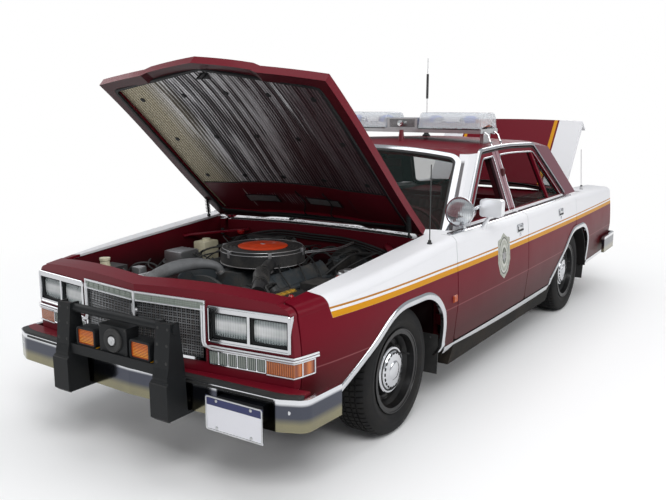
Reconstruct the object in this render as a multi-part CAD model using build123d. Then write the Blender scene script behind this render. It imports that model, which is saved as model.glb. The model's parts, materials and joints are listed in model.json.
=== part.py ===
from build123d import *
import math
import os

# Four-door patrol sedan, in mm. The front points to -Y, the car's left is +X and the ground is z = 0.
# Stations are measured rearwards from the front axle, or from the rear axle where a name says so.
PUSH_REACH = 125
FRONT_OVERHANG = 985
WHEELBASE = 2860
REAR_OVERHANG = 1380
BODY_WIDTH = 1884
TRACK = 1518
TYRE_RADIUS = 330
TYRE_WIDTH = 215
LENGTH = PUSH_REACH + FRONT_OVERHANG + WHEELBASE + REAR_OVERHANG
FRONT_AXLE_Y = PUSH_REACH + FRONT_OVERHANG - LENGTH / 2
REAR_AXLE_Y = FRONT_AXLE_Y + WHEELBASE
REAR_END_Y = REAR_AXLE_Y + REAR_OVERHANG

# Plan shape of the body side
WIDEST_STATION = 1650
SIDE_PLAN_RADIUS = 60000
NOSE_TAPER_STATION = -150
NOSE_TAPER_RADIUS = 3600

# Heights of the body side
SILL_BOTTOM_Z = 300
ROCKER_TOP_Z = 345
CREASE_Z = 558
BELT_Z = 945
NOSE_TOP_Z = 834
TAIL_TOP_Z = 902
SHOULDER_DROP = 52

# Walls and gaps
WALL = 12
DOOR_SKIN = 22
DOOR_DEPTH = 125
POST_X = (742, 800)
PANEL_GAP = 7
SEAL_GAP = 12
SIDE_GAP = 8
FRAME_TRAIL_GAP = 15
FRAME_DEPTH = 35
FRAME_RAIL = 38
B_RAIL = 46
DIVISION_AHEAD = 405
PANE_STRIP = 72
GLASS = 6
FIT = 0.3

# Stations of the main splits
NOSE_STATION = -830
FENDER_FRONT = -788
SUPPORT_STATION = -760
FIREWALL_STATION = 506
DOOR_START = 560
FRONT_DOOR_LENGTH = 1126
DOOR_SPLIT = DOOR_START + FRONT_DOOR_LENGTH
REAR_DOOR_START = DOOR_SPLIT + PANEL_GAP
TAIL_STATION = WHEELBASE + 1250
DOOR_BOTTOM_Z = 352
DOOR_LEAVES = ((430, 490), (770, 830))

# Wheel arch openings, as (y from the axle, z, radius at the corner)
ARCH_OUTLINE = (
    (405, 180, 0),
    (405, 672, 235),
    (-110, 672, 250),
    (-600, 352, 60),
    (-612, 180, 0),
)
ARCH_LIP = 38

# Greenhouse
GLASS_BELT_X = 815
TUMBLE = 0.36
ROOF_Z = 1420
ROOF_PEAK_STATION = 1950
ROOF_RADIUS = 9000
ROOF_EDGE_DROP = 48
ROOF_WALL = 28
PILLAR_DEPTH = 42

# Side opening of the greenhouse, as (station, z): it follows the drip rail
OPENING = (
    (DOOR_START + 282, BELT_Z - 30),
    (DOOR_START + 870, 1350),
    (ROOF_PEAK_STATION - 60, 1369),
    (WHEELBASE - 425, 1352),
    (WHEELBASE + 12, BELT_Z - 30),
)

# Windscreen and rear window: half widths and heights along the glass, at the base and at the top
SCREEN_BASE_STATION = 600
SCREEN_ANGLE = 36
SCREEN_PLAN_RADIUS = 3150
SCREEN_HALVES = (752, 603)
SCREEN_SPAN = (36, 700)
BACKLIGHT_BASE_STATION = WHEELBASE + 430
BACKLIGHT_ANGLE = 44
BACKLIGHT_PLAN_RADIUS = 3200
BACKLIGHT_HALVES = (700, 575)
BACKLIGHT_SPAN = (40, 545)

# Hood, cowl and deck surfaces, as (station, edge z, crown)
HOOD_SURFACE = (
    (-960, 824, 16),
    (-850, 843, 38),
    (-200, 896, 46),
    (560, 945, 40),
)
COWL_SURFACE = (
    (480, 905, 22),
    (640, 926, 26),
    (900, 950, 30),
)
DECK_SURFACE = (
    (WHEELBASE + 300, 946, 26),
    (WHEELBASE + 540, 938, 26),
    (WHEELBASE + 1260, 901, 26),
)
COWL_HALF = 830
RIDGE_HALF = 330
RIDGE_STEP = 42

# Hood
HOOD_HINGE_STATION = 560
HOOD_HINGE_Z = 925
HOOD_REAR_STATION = 500
HOOD_FRONT_STATION = -742
HOOD_POINT = 112
HOOD_HALF_WIDTH = 738
HOOD_OPEN = 44
HOOD_SKIN = 10
HOOD_FRAME_DEPTH = 36
HOOD_FRAME_WIDTH = 62
HOOD_FRONT_GAP = 12
BLANKET_INSET = 66
BLANKET_THICKNESS = 12
ARM_X = (690, 706)
HINGE_PIN = 6
PIN_PLAY = 0.05

# Trunk lid
LID_HINGE_STATION = WHEELBASE + 540
LID_HINGE_Z = 957
LID_FRONT_GAP = 6
DECK_GAP = 8
LID_PIN = 4
LID_KNUCKLE = 6
LID_KNUCKLE_X = ((92, 100), (101, 123), (124, 132))
LID_LENGTH = 700
LID_HALF_WIDTH = 655
LID_OPEN = 56
LID_FLANGE = 130
LID_FRAME_WIDTH = 60

# Front face
NOSE_SETBACK = 55
NOSE_SLOPE = 0.122
NOSE_HALF_WIDTH = 840
NOSE_BOTTOM_Z = 486
HEADER_WALL = 34
LAMP_ROW_Z = (540, 604)
LAMP_SPLIT_X = 692
SIDE_LAMP_STATION = -725
HEADLAMP_X = (404, 814)
HEADLAMP_Z = (642, 800)
HEADLAMP_RIM = 16
LENS_RADIUS = 418
GRILLE_X = (6, 392)
GRILLE_Z = (548, 822)
GRILLE_RIM = 13
GRILLE_BAND = 36
GRILLE_COLUMNS = 15
GRILLE_ROWS = 9

# Bumpers, push bumper and plates
BUMPER_Z = (345, 485)
BUMPER_DEPTH = 62
BUMPER_HALF = 942
BUMPER_MOUNT_Z = (362, 425)
PUSH_X = (275, 362)
PUSH_BOTTOM_Z = 330
PUSH_TOP_Z = 752
PUSH_TUBE_Z = 728
PUSH_TRAY_Z = 560
PLATE_SIZE = (305, 152)
PLATE_THICKNESS = 4
FRONT_PLATE_CORNER = (482, 300)
REAR_PLATE_Z = 560

# Front frame and engine bay
RAIL_X = (360, 440)
RAIL_Z = (340, 430)
RAIL_START = -815
APRON_X = 445
APRON_TOP_Z = 690
SUPPORT_TOP_Z = 798
RADIATOR_HALF = 330
RADIATOR_TOP_Z = 758
SHROUD_HALF = 270
SHROUD_BORE = 236
FAN_Z = 590
FAN_RADIUS = 215
ENGINE_STATION = -60
EXTENSION_END = 1180
DRIVELINE_Z = 352
AIR_CLEANER_X = 55
AIR_PAN_RADIUS = 228
AIR_PAN_HEIGHT = 68
CARB_TOP_Z = 818

# Floor, trunk and tail
FLOOR_Z = 232
FLOOR_PLATE = 14
TUNNEL_HALVES = (190, 150)
TUNNEL_TOP_Z = 470
SILL_X = (818, 912)
TRUNK_Z = 450
KICK_AHEAD = 430
WHEELHOUSE_RADIUS = 392
WHEELHOUSE_X = (622, 798)
TAIL_LAMP_INNER = 430
TAIL_LAMP_Z = (560, 745)
TAIL_EDGE = 40

# Wheels and axles
RIM_RADIUS = 200
KINGPIN_X = 705
HUB_FACE = 8
SPINDLE_END = 40
KNUCKLE_REACH = 128
ARM_THICKNESS = 18
BALL_GAP = 12
AXLE_TUBE_RADIUS = 38
DRUM_RADIUS = 135
SPRING_X = 560

# Exhaust and tank
PIPE_RADIUS = 25
PIPE_BEND = 90
MUFFLER = (220, 560, 104)
MUFFLER_CENTRE = (232, WHEELBASE - 1110, 150)
TANK_HALF = 350
TANK_STATIONS = (WHEELBASE + 480, WHEELBASE + 1080)
TANK_BOTTOM_Z = 262

# Cabin
SEAT_Z = 470
FRONT_BENCH = (1150, 1280, 900)
REAR_BENCH = (WHEELBASE - 790, 1200, 880)
STEERING_CENTRE = (370, 1120, 845)
STEERING_TILT = 64
STEERING_RADIUS = 188

# Roof and side fittings
LIGHT_BAR_STATION = 1750
LIGHT_BAR_HALF = 600
LIGHT_BAR_Z = (1460, 1490)
SIREN_HALF = 120
DOME_TOP_Z = 1600
MIRROR_X = (884, 1018)
MIRROR_STATIONS = (935, 988)
MIRROR_Z = (1007, 1110)
SPOTLIGHT = (850, 770, 1050)
MAST_RADIUS = 3
MAST_FOOT_RADIUS = 14

NODES = {}


def st(station):
    """Y of a station behind the front axle."""
    return FRONT_AXLE_Y + station


def face_of(points, radius):
    if radius:
        return make_face(FilletPolyline(*points, radius=radius, close=True))
    return make_face(Polyline(*points, close=True))


def along_x(points, low, high, radius=0):
    """Prism of a (y, z) outline between two x."""
    return extrude(Plane.YZ.offset(low) * face_of(points, radius), high - low)


def along_y(points, low, high, radius=0):
    """Prism of an (x, z) outline between two y."""
    return extrude(Plane.XZ.offset(-high) * face_of(points, radius), high - low)


def along_z(points, low, high, radius=0):
    """Prism of an (x, y) outline between two z."""
    return extrude(Plane.XY.offset(low) * face_of(points, radius), high - low)


def block(x, y, z):
    """Box between the low and high x, y and z."""
    middle = [(a + b) / 2 for a, b in (x, y, z)]
    size = [b - a for a, b in (x, y, z)]
    return Pos(*middle) * Box(*size)


def rod(start, end, radius):
    """Round bar from one point to another."""
    start, end = Vector(*start), Vector(*end)
    return Plane(start, z_dir=end - start) * extrude(Circle(radius), (end - start).length)


def bent_rod(points, bend, radius):
    """Round bar along straight runs joined by arcs."""
    path = FilletPolyline(*points, radius=bend)
    return sweep(Plane(path @ 0, z_dir=path % 0) * Circle(radius), path=path)


def wheel_solid(profile, x, y, z):
    """Solid of revolution about an X-parallel axle from an (x, radius) outline."""
    turned = revolve(Plane.XY * make_face(Polyline(*profile, close=True)), Axis.X)
    return Pos(x, y, z) * turned


def mirrored(shape):
    return mirror(shape, about=Plane.YZ)


def both(*shapes):
    """The left-hand shapes and their mirror images."""
    return [side for shape in shapes for side in (shape, mirrored(shape))]


def both_sides(shape):
    return shape + mirrored(shape)


def fuse(first, *others):
    for other in others:
        first = first + other
    return first


def carved(shape, *names):
    """A shape cut back where the named sub-parts are."""
    for name in names:
        for solid in NODES[name]:
            shape = shape - solid
    return shape


def save(name, *shapes):
    """Keeps the solids of one sub-part."""
    NODES[name] = [solid for shape in shapes for solid in shape.solids()]


def half_width(station):
    """Half of the body's width at its side crease."""
    width = BODY_WIDTH / 2 - (station - WIDEST_STATION) ** 2 / (2 * SIDE_PLAN_RADIUS)
    if station < NOSE_TAPER_STATION:
        width -= (NOSE_TAPER_STATION - station) ** 2 / (2 * NOSE_TAPER_RADIUS)
    return width


def belt_z(station):
    """Height of the body side's top edge."""
    if station < DOOR_START:
        share = (station - NOSE_STATION) / (DOOR_START - NOSE_STATION)
        return NOSE_TOP_Z + (BELT_Z - NOSE_TOP_Z) * share
    if station > WHEELBASE:
        share = (station - WHEELBASE) / (TAIL_STATION - WHEELBASE)
        return BELT_Z + (TAIL_TOP_Z - BELT_Z) * share
    return BELT_Z


def skin_edges(station):
    """Outer contour of the left body side, from the sill up to the shoulder."""
    y = st(station)
    w = half_width(station)
    top = belt_z(station)
    sill, rocker, crease = (w - 60, y, SILL_BOTTOM_Z), (w - 22, y, ROCKER_TOP_Z), (w, y, CREASE_Z)
    upper = (w - 7, y, (CREASE_Z + top) / 2)
    shoulder = (w - 20, y, top - SHOULDER_DROP)
    rounding = (w - 33, y, top - 14)
    edge = (w - 64, y, top)
    return [
        Line(sill, rocker),
        Line(rocker, crease),
        ThreePointArc(crease, upper, shoulder),
        ThreePointArc(shoulder, rounding, edge),
    ], edge, sill


def side_loft(stations, inner_points):
    """Lofts the body side, closed by the inner points that each station gives."""
    sections = []
    for station in stations:
        edges, edge, sill = skin_edges(station)
        points = [edge, *[(x, st(station), z) for x, z in inner_points(station)], sill]
        closing = [Line(a, b) for a, b in zip(points, points[1:])]
        sections.append(Face(Wire([*edges, *closing])))
    return loft(sections)


def flanged_inner(flange_x, wall):
    """Inner points of a wing: a top flange to flange_x and a wall of the given thickness."""

    def points(station):
        w, top = half_width(station), belt_z(station)
        return [
            (flange_x, top + 8),
            (flange_x, top + 8 - wall),
            (w - 64, top - wall),
            (w - 24 - wall, top - SHOULDER_DROP),
            (w - 2 - wall, CREASE_Z),
            (w - 24 - wall, ROCKER_TOP_Z + 4),
            (w - 62 - wall, SILL_BOTTOM_Z),
        ]

    return points


def skin_inner(station):
    """Inner points of a door skin."""
    w, top = half_width(station), belt_z(station)
    return [
        (w - 64, top - DOOR_SKIN),
        (w - 20 - DOOR_SKIN, top - SHOULDER_DROP - 4),
        (w - DOOR_SKIN, CREASE_Z),
        (w - 22 - DOOR_SKIN, ROCKER_TOP_Z),
        (w - 60 - DOOR_SKIN, SILL_BOTTOM_Z),
    ]


def arch_face(axle_y):
    points = [(axle_y + y, z) for y, z, _ in ARCH_OUTLINE]
    return make_face(FilletPolyline(*points, radius=[r for _, _, r in ARCH_OUTLINE], close=True))


def arch_prism(axle_y, grow=0):
    face = arch_face(axle_y)
    if grow:
        face = offset(face, grow)
    return extrude(Plane.YZ.offset(500) * face, 600)


def opening_face(grow=0, radius=60):
    points = [(st(s), z) for s, z in OPENING]
    face = make_face(FilletPolyline(*points, radius=[0, radius, 400, radius, 0], close=True))
    return offset(face, grow) if grow else face


def tumble_slab(outer, inner):
    """Slab along the left side glass, between two depths inboard of the glass plane."""
    low, high = BELT_Z - 60, ROOF_Z + 20

    def x_at(z, depth):
        return GLASS_BELT_X - TUMBLE * (z - BELT_Z) - depth

    points = [
        (x_at(low, outer), low), (x_at(high, outer), high), (x_at(high, inner), high), (x_at(low, inner), low),
    ]
    return along_y(points, st(DOOR_START - 100), st(WHEELBASE + 700))


def side_stations(start, end):
    """Stations of a loft between two ends, about 400 apart."""
    count = max(2, round((end - start) / 400))
    return [start + (end - start) * i / count for i in range(count + 1)]


def window_band(low, high):
    """Box that keeps what lies between two stations."""
    return block((400, 1100), (st(low), st(high)), (BELT_Z - 40, ROOF_Z + 50))


def door_shell(outline_face, start, end):
    """Lower door: the outer skin to the outline and the inner panel set back inside it."""
    stations = side_stations(start, end)
    skin = side_loft(stations, skin_inner)

    def core_section(station):
        w, top = half_width(station), belt_z(station)
        corners = [
            (w - DOOR_DEPTH, ROCKER_TOP_Z),
            (w - DOOR_SKIN - 12, ROCKER_TOP_Z),
            (w - DOOR_SKIN + 1, CREASE_Z),
            (w - DOOR_SKIN - 18, top - SHOULDER_DROP),
            (w - 64, top - DOOR_SKIN + 2),
            (w - 64, top),
            (w - DOOR_DEPTH, top),
        ]
        return Face(Wire.make_polygon([(x, st(station), z) for x, z in corners]))

    core = loft([core_section(s) for s in stations])
    outline = extrude(Plane.YZ.offset(600) * outline_face, 500)
    inset = extrude(Plane.YZ.offset(600) * offset(outline_face, -SEAL_GAP), 500)
    top_edge = block((600, 1100), (st(start + SEAL_GAP), st(end - SEAL_GAP)), (BELT_Z - 60, BELT_Z + 60))
    return (skin & outline) + (core & (inset + (top_edge & outline)))


def front_door_outline():
    points = [
        (st(DOOR_START + 4), DOOR_BOTTOM_Z),
        (st(DOOR_START + FRONT_DOOR_LENGTH), DOOR_BOTTOM_Z),
        (st(DOOR_START + FRONT_DOOR_LENGTH), BELT_Z + 30),
        (st(DOOR_START + 4), BELT_Z + 30),
    ]
    return make_face(FilletPolyline(*points, radius=[30, 30, 0, 0], close=True))


def rear_door_outline():
    points = [
        (st(REAR_DOOR_START), DOOR_BOTTOM_Z),
        (st(WHEELBASE - 3), DOOR_BOTTOM_Z),
        (st(WHEELBASE - 3), BELT_Z + 30),
        (st(REAR_DOOR_START), BELT_Z + 30),
    ]
    panel = make_face(FilletPolyline(*points, radius=[30, 0, 0, 0], close=True))
    return panel - offset(arch_face(REAR_AXLE_Y), ARCH_LIP + PANEL_GAP)


def frame_faces(low, high, lead, trail):
    """Outline of a door's window frame between two stations, and the window inside its rails."""
    shift = Pos(SIDE_GAP - FRAME_TRAIL_GAP, 0)
    outer = opening_face(-SIDE_GAP) & shift * opening_face(-SIDE_GAP)
    outer = outer & Pos(st((low + high) / 2), BELT_Z + 220) * Rectangle(high - low, 600)
    window = opening_face(-SIDE_GAP - FRAME_RAIL, 30) & shift * opening_face(-SIDE_GAP - FRAME_RAIL, 30)
    inner_low, inner_high = low + lead, high - trail
    between = Pos(st((inner_low + inner_high) / 2), BELT_Z + 256) * Rectangle(inner_high - inner_low, 500)
    return outer, window & between


def division_face():
    """Slanted bar between the rear door's lowered pane and its quarter pane."""
    foot, lean, width = st(WHEELBASE - DIVISION_AHEAD), 98, 30
    low, high = BELT_Z - 20, ROOF_Z - 80
    points = [(foot, low), (foot + width, low), (foot + width - lean, high), (foot - lean, high)]
    return make_face(Polyline(*points, close=True))


def framed(outer, window):
    return extrude(Plane.YZ.offset(500) * (outer - window), 500) & tumble_slab(0, FRAME_DEPTH)


def front_door():
    start, end = DOOR_START + 4, DOOR_START + FRONT_DOOR_LENGTH
    shell = door_shell(front_door_outline(), start, end)
    return shell + framed(*frame_faces(start, end - SIDE_GAP, 0, B_RAIL))


def rear_door():
    shell = door_shell(rear_door_outline(), REAR_DOOR_START, WHEELBASE - 3)
    outer, window = frame_faces(REAR_DOOR_START, WHEELBASE, B_RAIL, 0)
    return shell + framed(outer, window - division_face())


def rear_door_panes():
    """Fixed quarter pane behind the division bar, and the top strip of the lowered pane ahead of it."""
    slab = tumble_slab(FRAME_DEPTH / 2 - GLASS / 2, FRAME_DEPTH / 2 + GLASS / 2)
    window = frame_faces(REAR_DOOR_START, WHEELBASE, B_RAIL, 0)[1]
    lowered, quarter = [offset(face, -FIT) for face in (window - division_face()).faces().sort_by(Axis.X)]
    band = Pos(st(REAR_DOOR_START + 400), BELT_Z + PANE_STRIP / 2 - 40) * Rectangle(1200, PANE_STRIP + 80)
    strip = lowered & band
    return [extrude(Plane.YZ.offset(500) * shape, 500) & slab for shape in (strip, quarter)]


def make_doors():
    front, rear = front_door(), rear_door()
    panes = rear_door_panes()
    for side, turn in (("left", lambda shape: shape), ("right", mirrored)):
        save(f"door_front_{side}", turn(front))
        save(f"door_rear_{side}", turn(rear))
        save(f"rear_door_glass_{side}", *[turn(pane) for pane in panes])


def make_fenders():
    stations = [FENDER_FRONT, -490, NOSE_TAPER_STATION, 200, DOOR_START - 3]
    wall = side_loft(stations, flanged_inner(HOOD_HALF_WIDTH + SIDE_GAP, WALL))
    save("fenders", *both(wall - arch_prism(FRONT_AXLE_Y) - lamp_notch()))


def make_quarters():
    stations = [WHEELBASE - 560, WHEELBASE - 100, WHEELBASE + 420, WHEELBASE + 840, TAIL_STATION]
    wall = side_loft(stations, flanged_inner(LID_HALF_WIDTH + SIDE_GAP, WALL))
    door = extrude(Plane.YZ.offset(600) * offset(rear_door_outline(), PANEL_GAP), 500)
    pillar_y = (st(WHEELBASE - 600), st(BACKLIGHT_BASE_STATION + 40))
    pillar_foot = block((500, GLASS_BELT_X + 1), pillar_y, (BELT_Z - 40, BELT_Z + 40))
    sill = block((600, 1100), (st(WHEELBASE - 600), st(WHEELBASE - 560)), (200, 400))
    save("quarters", *both(wall - door - arch_prism(REAR_AXLE_Y) - pillar_foot - sill))


def screen_cylinder(base_station, angle, plan_radius, facing, depth):
    """Solid behind a curved screen: a cylinder whose axis leans with the glass."""
    lean = math.radians(angle)
    along = Vector(0, facing * math.cos(lean), math.sin(lean))
    normal = Vector(0, -facing * math.sin(lean), math.cos(lean))
    centre = Vector(0, st(base_station), BELT_Z + 10) - normal * plan_radius
    radius = plan_radius - depth
    plane = Plane(centre - along * LENGTH / 3, x_dir=(1, 0, 0), z_dir=along)
    return plane * extrude(Circle(radius), LENGTH)


def roof_cap(drop):
    """Crowned solid under the roof skin, lowered by a drop."""
    top = ROOF_Z - drop
    half = 900
    edge_half = GLASS_BELT_X - TUMBLE * (ROOF_Z - ROOF_EDGE_DROP - BELT_Z)
    shoulder_half = edge_half - 95
    shoulder_z = top - ROOF_EDGE_DROP * 0.42
    edge_z = top - ROOF_EDGE_DROP
    points = [
        (-half, edge_z - 60), (-edge_half, edge_z), (-shoulder_half, shoulder_z), (0, top + 2),
        (shoulder_half, shoulder_z), (edge_half, edge_z), (half, edge_z - 60), (half, top - 700),
        (-half, top - 700),
    ]
    outline = make_face(FilletPolyline(*points, radius=[0, 0, 160, 4000, 160, 0, 0, 0, 0], close=True))
    section = Plane.XZ.offset(-st(ROOF_PEAK_STATION)) * outline
    axis = Axis((0, st(ROOF_PEAK_STATION), ROOF_Z - ROOF_RADIUS), (1, 0, 0))
    half_turn = math.degrees(1500 / ROOF_RADIUS)
    return revolve(section.rotate(axis, half_turn), axis, -2 * half_turn)


def greenhouse_hull(depth, roof_depth):
    """Solid of the cabin above the belt, inset by the pillars' and the roof's thickness."""
    low, high = BELT_Z - 20, ROOF_Z + 60
    x_low = GLASS_BELT_X - TUMBLE * (low - BELT_Z) - depth
    x_high = GLASS_BELT_X - TUMBLE * (high - BELT_Z) - depth
    points = [(-x_low, low), (x_low, low), (x_high, high), (-x_high, high)]
    sides = along_y(points, st(300), st(WHEELBASE + 700))
    front = screen_cylinder(SCREEN_BASE_STATION, SCREEN_ANGLE, SCREEN_PLAN_RADIUS, 1, depth)
    back = screen_cylinder(BACKLIGHT_BASE_STATION, BACKLIGHT_ANGLE, BACKLIGHT_PLAN_RADIUS, -1, depth)
    return sides & roof_cap(roof_depth) & front & back


def screen_outline(base_station, angle, facing, base_half, top_half, low, high, radius):
    """Prism through a screen's opening, square to the glass."""
    lean = math.radians(angle)
    plane = Plane((0, st(base_station), BELT_Z + 10), x_dir=(1, 0, 0),
                  z_dir=(0, -facing * math.sin(lean), math.cos(lean)))
    sign = 1 if facing > 0 else -1
    low, high = sign * low, sign * high
    points = [(-base_half, low), (base_half, low), (top_half, high), (-top_half, high)]
    face = make_face(FilletPolyline(*points, radius=radius, close=True))
    return plane * extrude(face, 260, both=True)


def screen_opening(grow=0):
    halves = [half + grow for half in SCREEN_HALVES]
    span = (SCREEN_SPAN[0] - grow, SCREEN_SPAN[1] + grow)
    return screen_outline(SCREEN_BASE_STATION, SCREEN_ANGLE, 1, *halves, *span, 60)


def backlight_opening(grow=0):
    halves = [half + grow for half in BACKLIGHT_HALVES]
    span = (BACKLIGHT_SPAN[0] - grow, BACKLIGHT_SPAN[1] + grow)
    return screen_outline(BACKLIGHT_BASE_STATION, BACKLIGHT_ANGLE, -1, *halves, *span, 60)


def make_roof():
    shell = greenhouse_hull(0, 0) - greenhouse_hull(PILLAR_DEPTH, ROOF_WALL)
    shell = shell - screen_opening() - backlight_opening()
    opening = extrude(Plane.YZ.offset(400) * opening_face(), 600)
    shell = shell - opening - mirrored(opening)
    shell = shell - block((-1000, 1000), (st(0), st(WHEELBASE + 900)), (BELT_Z - 100, BELT_Z - 2))
    foot_y = (st(DOOR_START), st(WHEELBASE - 10))
    shell = shell - both_sides(block((GLASS_BELT_X - 12, 900), foot_y, (BELT_Z - 40, BELT_Z + 1)))
    rail_face = (opening_face(20) - opening_face(3)) & (Pos(st(1900), BELT_Z + 510) * Rectangle(3000, 1000))
    rail = extrude(Plane.YZ.offset(400) * rail_face, 600) & tumble_slab(-12, 6)
    post_depth = FRAME_DEPTH + 8
    post = tumble_slab(post_depth, post_depth + 34) & window_band(DOOR_SPLIT - 46, DOOR_SPLIT + 56)
    post = post & greenhouse_hull(2, ROOF_WALL - 6)
    save("roof", fuse(shell, *both(rail), *both(post)))


def make_fixed_glass():
    panes = []
    for station, angle, plan_radius, facing, opening in (
        (SCREEN_BASE_STATION, SCREEN_ANGLE, SCREEN_PLAN_RADIUS, 1, screen_opening(-FIT)),
        (BACKLIGHT_BASE_STATION, BACKLIGHT_ANGLE, BACKLIGHT_PLAN_RADIUS, -1, backlight_opening(-FIT)),
    ):
        outer = screen_cylinder(station, angle, plan_radius, facing, 8)
        inner = screen_cylinder(station, angle, plan_radius, facing, 8 + GLASS)
        panes.append((outer - inner) & opening)
    save("fixed_glass", *panes)


def crowned_section(station, half, base, crown, wall, ridge):
    """Cross-section of a lid: an arc, or two shoulders and a raised middle when it has a ridge."""
    y = st(station)

    def top(drop):
        z = base - drop
        if not ridge:
            return [ThreePointArc((-half, y, z), (0, y, z + crown), (half, y, z))]
        step = ridge + RIDGE_STEP
        low, high = z + crown * 0.3, z + crown * 0.62
        return [
            ThreePointArc((-half, y, z), (-(half + step) / 2, y, z + crown * 0.2), (-step, y, low)),
            Line((-step, y, low), (-ridge, y, high)),
            ThreePointArc((-ridge, y, high), (0, y, z + crown), (ridge, y, high)),
            Line((ridge, y, high), (step, y, low)),
            ThreePointArc((step, y, low), ((half + step) / 2, y, z + crown * 0.2), (half, y, z)),
        ]

    upper, lower = top(0), top(wall)
    sides = [Line(upper[-1] @ 1, lower[-1] @ 1), Line(lower[0] @ 0, upper[0] @ 0)]
    return Face(Wire([*upper, sides[0], *lower, sides[1]]))


def crowned_panel(sections, half, wall, drop=0, ridge=0):
    """Crowned panel through (station, edge z, crown) sections, lowered by a drop."""
    return loft([crowned_section(s, half, z - drop, crown, wall, ridge) for s, z, crown in sections])


def hood_outline(grow=0):
    front = HOOD_FRONT_STATION - grow
    half = HOOD_HALF_WIDTH + grow
    points = [
        (-half, st(HOOD_REAR_STATION)), (-half + 13, st(front)), (0, st(front - HOOD_POINT)),
        (half - 13, st(front)), (half, st(HOOD_REAR_STATION)),
    ]
    return points


def hood_closed():
    face = make_face(Polyline(*hood_outline(), close=True))
    inner = offset(face, -HOOD_FRAME_WIDTH)
    outline = extrude(Plane.XY.offset(700) * face, 400)
    ring = extrude(Plane.XY.offset(700) * (face - inner), 400)
    blanket_face = offset(face, -BLANKET_INSET)
    half = HOOD_HALF_WIDTH
    skin = crowned_panel(HOOD_SURFACE, half, HOOD_SKIN, ridge=RIDGE_HALF) & outline
    frame = crowned_panel(HOOD_SURFACE, half, HOOD_FRAME_DEPTH, drop=HOOD_SKIN - 2, ridge=RIDGE_HALF) & ring
    blanket = crowned_panel(HOOD_SURFACE, half, BLANKET_THICKNESS, drop=HOOD_SKIN + FIT, ridge=RIDGE_HALF)
    blanket = blanket & extrude(Plane.XY.offset(700) * blanket_face, 400)
    return skin + frame, blanket


def hood_axis():
    return Axis((0, st(HOOD_HINGE_STATION), HOOD_HINGE_Z), (1, 0, 0))


def lid_axis():
    return Axis((0, st(LID_HINGE_STATION), LID_HINGE_Z), (1, 0, 0))


def make_hood():
    panel, blanket = hood_closed()
    hinge_y, rear_y = st(HOOD_HINGE_STATION), st(HOOD_REAR_STATION)
    arm_points = [
        (hinge_y + 14, HOOD_HINGE_Z - 10), (hinge_y + 14, HOOD_HINGE_Z + 10),
        (rear_y - 12, HOOD_HINGE_Z - 8), (rear_y - 12, HOOD_HINGE_Z - 34),
    ]
    bore = hood_rod(ARM_X[0] - 1, ARM_X[1] + 1, HINGE_PIN + PIN_PLAY)
    arms = both(along_x(arm_points, *ARM_X) - bore)
    save("hood", fuse(panel, *arms).rotate(hood_axis(), -HOOD_OPEN))
    save("hood_blanket", blanket.rotate(hood_axis(), -HOOD_OPEN))


def hood_rod(low, high, radius):
    y = st(HOOD_HINGE_STATION)
    return rod((low, y, HOOD_HINGE_Z), (high, y, HOOD_HINGE_Z), radius)


def make_trunk_lid():
    low, high = LID_HINGE_STATION + LID_FRONT_GAP, LID_HINGE_STATION + LID_LENGTH
    outline = block((-LID_HALF_WIDTH, LID_HALF_WIDTH), (st(low), st(high)), (700, 1100))
    core_half = LID_HALF_WIDTH - LID_FRAME_WIDTH
    core_y = (st(low + LID_FRAME_WIDTH), st(high - LID_FRAME_WIDTH))
    core = block((-core_half, core_half), core_y, (700, 1100))
    skin = crowned_panel(DECK_SURFACE, LID_HALF_WIDTH + 10, HOOD_SKIN) & outline
    frame = crowned_panel(DECK_SURFACE, LID_HALF_WIDTH + 10, 34, drop=HOOD_SKIN - 2) & (outline - core)
    lip_z = (TAIL_TOP_Z - LID_FLANGE, TAIL_TOP_Z - 2)
    lip = block((-LID_HALF_WIDTH, LID_HALF_WIDTH), (st(high - 14), st(high)), lip_z)
    lid = fuse(skin, frame, lip)
    first, last = LID_KNUCKLE_X[0][0], LID_KNUCKLE_X[2][1]
    for slot in both(lid_rod(first - 2, last + 2, LID_KNUCKLE + 2)):
        lid = lid - slot
    knuckle = lid_knuckle(LID_KNUCKLE_X[1], 1) - lid_rod(first, last, LID_PIN + PIN_PLAY)
    save("trunk_lid", fuse(lid, *both(knuckle)).rotate(lid_axis(), LID_OPEN))


def lid_rod(low, high, radius):
    return rod((low, st(LID_HINGE_STATION), LID_HINGE_Z), (high, st(LID_HINGE_STATION), LID_HINGE_Z), radius)


def lid_knuckle(x, facing):
    """Hinge barrel with its leaf towards the lid (1) or the deck (-1)."""
    y = st(LID_HINGE_STATION)
    reach = sorted((y, y + facing * 16))
    return lid_rod(*x, LID_KNUCKLE) + block(x, reach, (LID_HINGE_Z - 5, LID_HINGE_Z + 4))


def nose_y(x):
    """Y of the V-shaped front face at a distance from the centreline."""
    return st(-FRONT_OVERHANG + NOSE_SETBACK) + NOSE_SLOPE * x


def nose_plane(x, z):
    """Plane on the left half of the front face: local x outwards, local y up."""
    turn = math.atan(NOSE_SLOPE)
    return Plane((x, nose_y(x), z), x_dir=(math.cos(turn), math.sin(turn), 0),
                 z_dir=(math.sin(turn), -math.cos(turn), 0))


def nose_rect(x, z, low, high, shrink=0):
    """Block on the front face over x and z ranges, between two heights out of the face."""
    middle_x, middle_z = sum(x) / 2, sum(z) / 2
    width, height = x[1] - x[0] - 2 * shrink, z[1] - z[0] - 2 * shrink
    return nose_plane(middle_x, middle_z) * (Pos(0, 0, (low + high) / 2) * Box(width, height, high - low))


def nose_v(front, back, half, low, high):
    """V-shaped wall between two depths behind the front face."""
    points = [
        (-half, nose_y(half) + front), (0, nose_y(0) + front), (half, nose_y(half) + front),
        (half, nose_y(half) + back), (0, nose_y(0) + back), (-half, nose_y(half) + back),
    ]
    return along_z(points, low, high)


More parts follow.
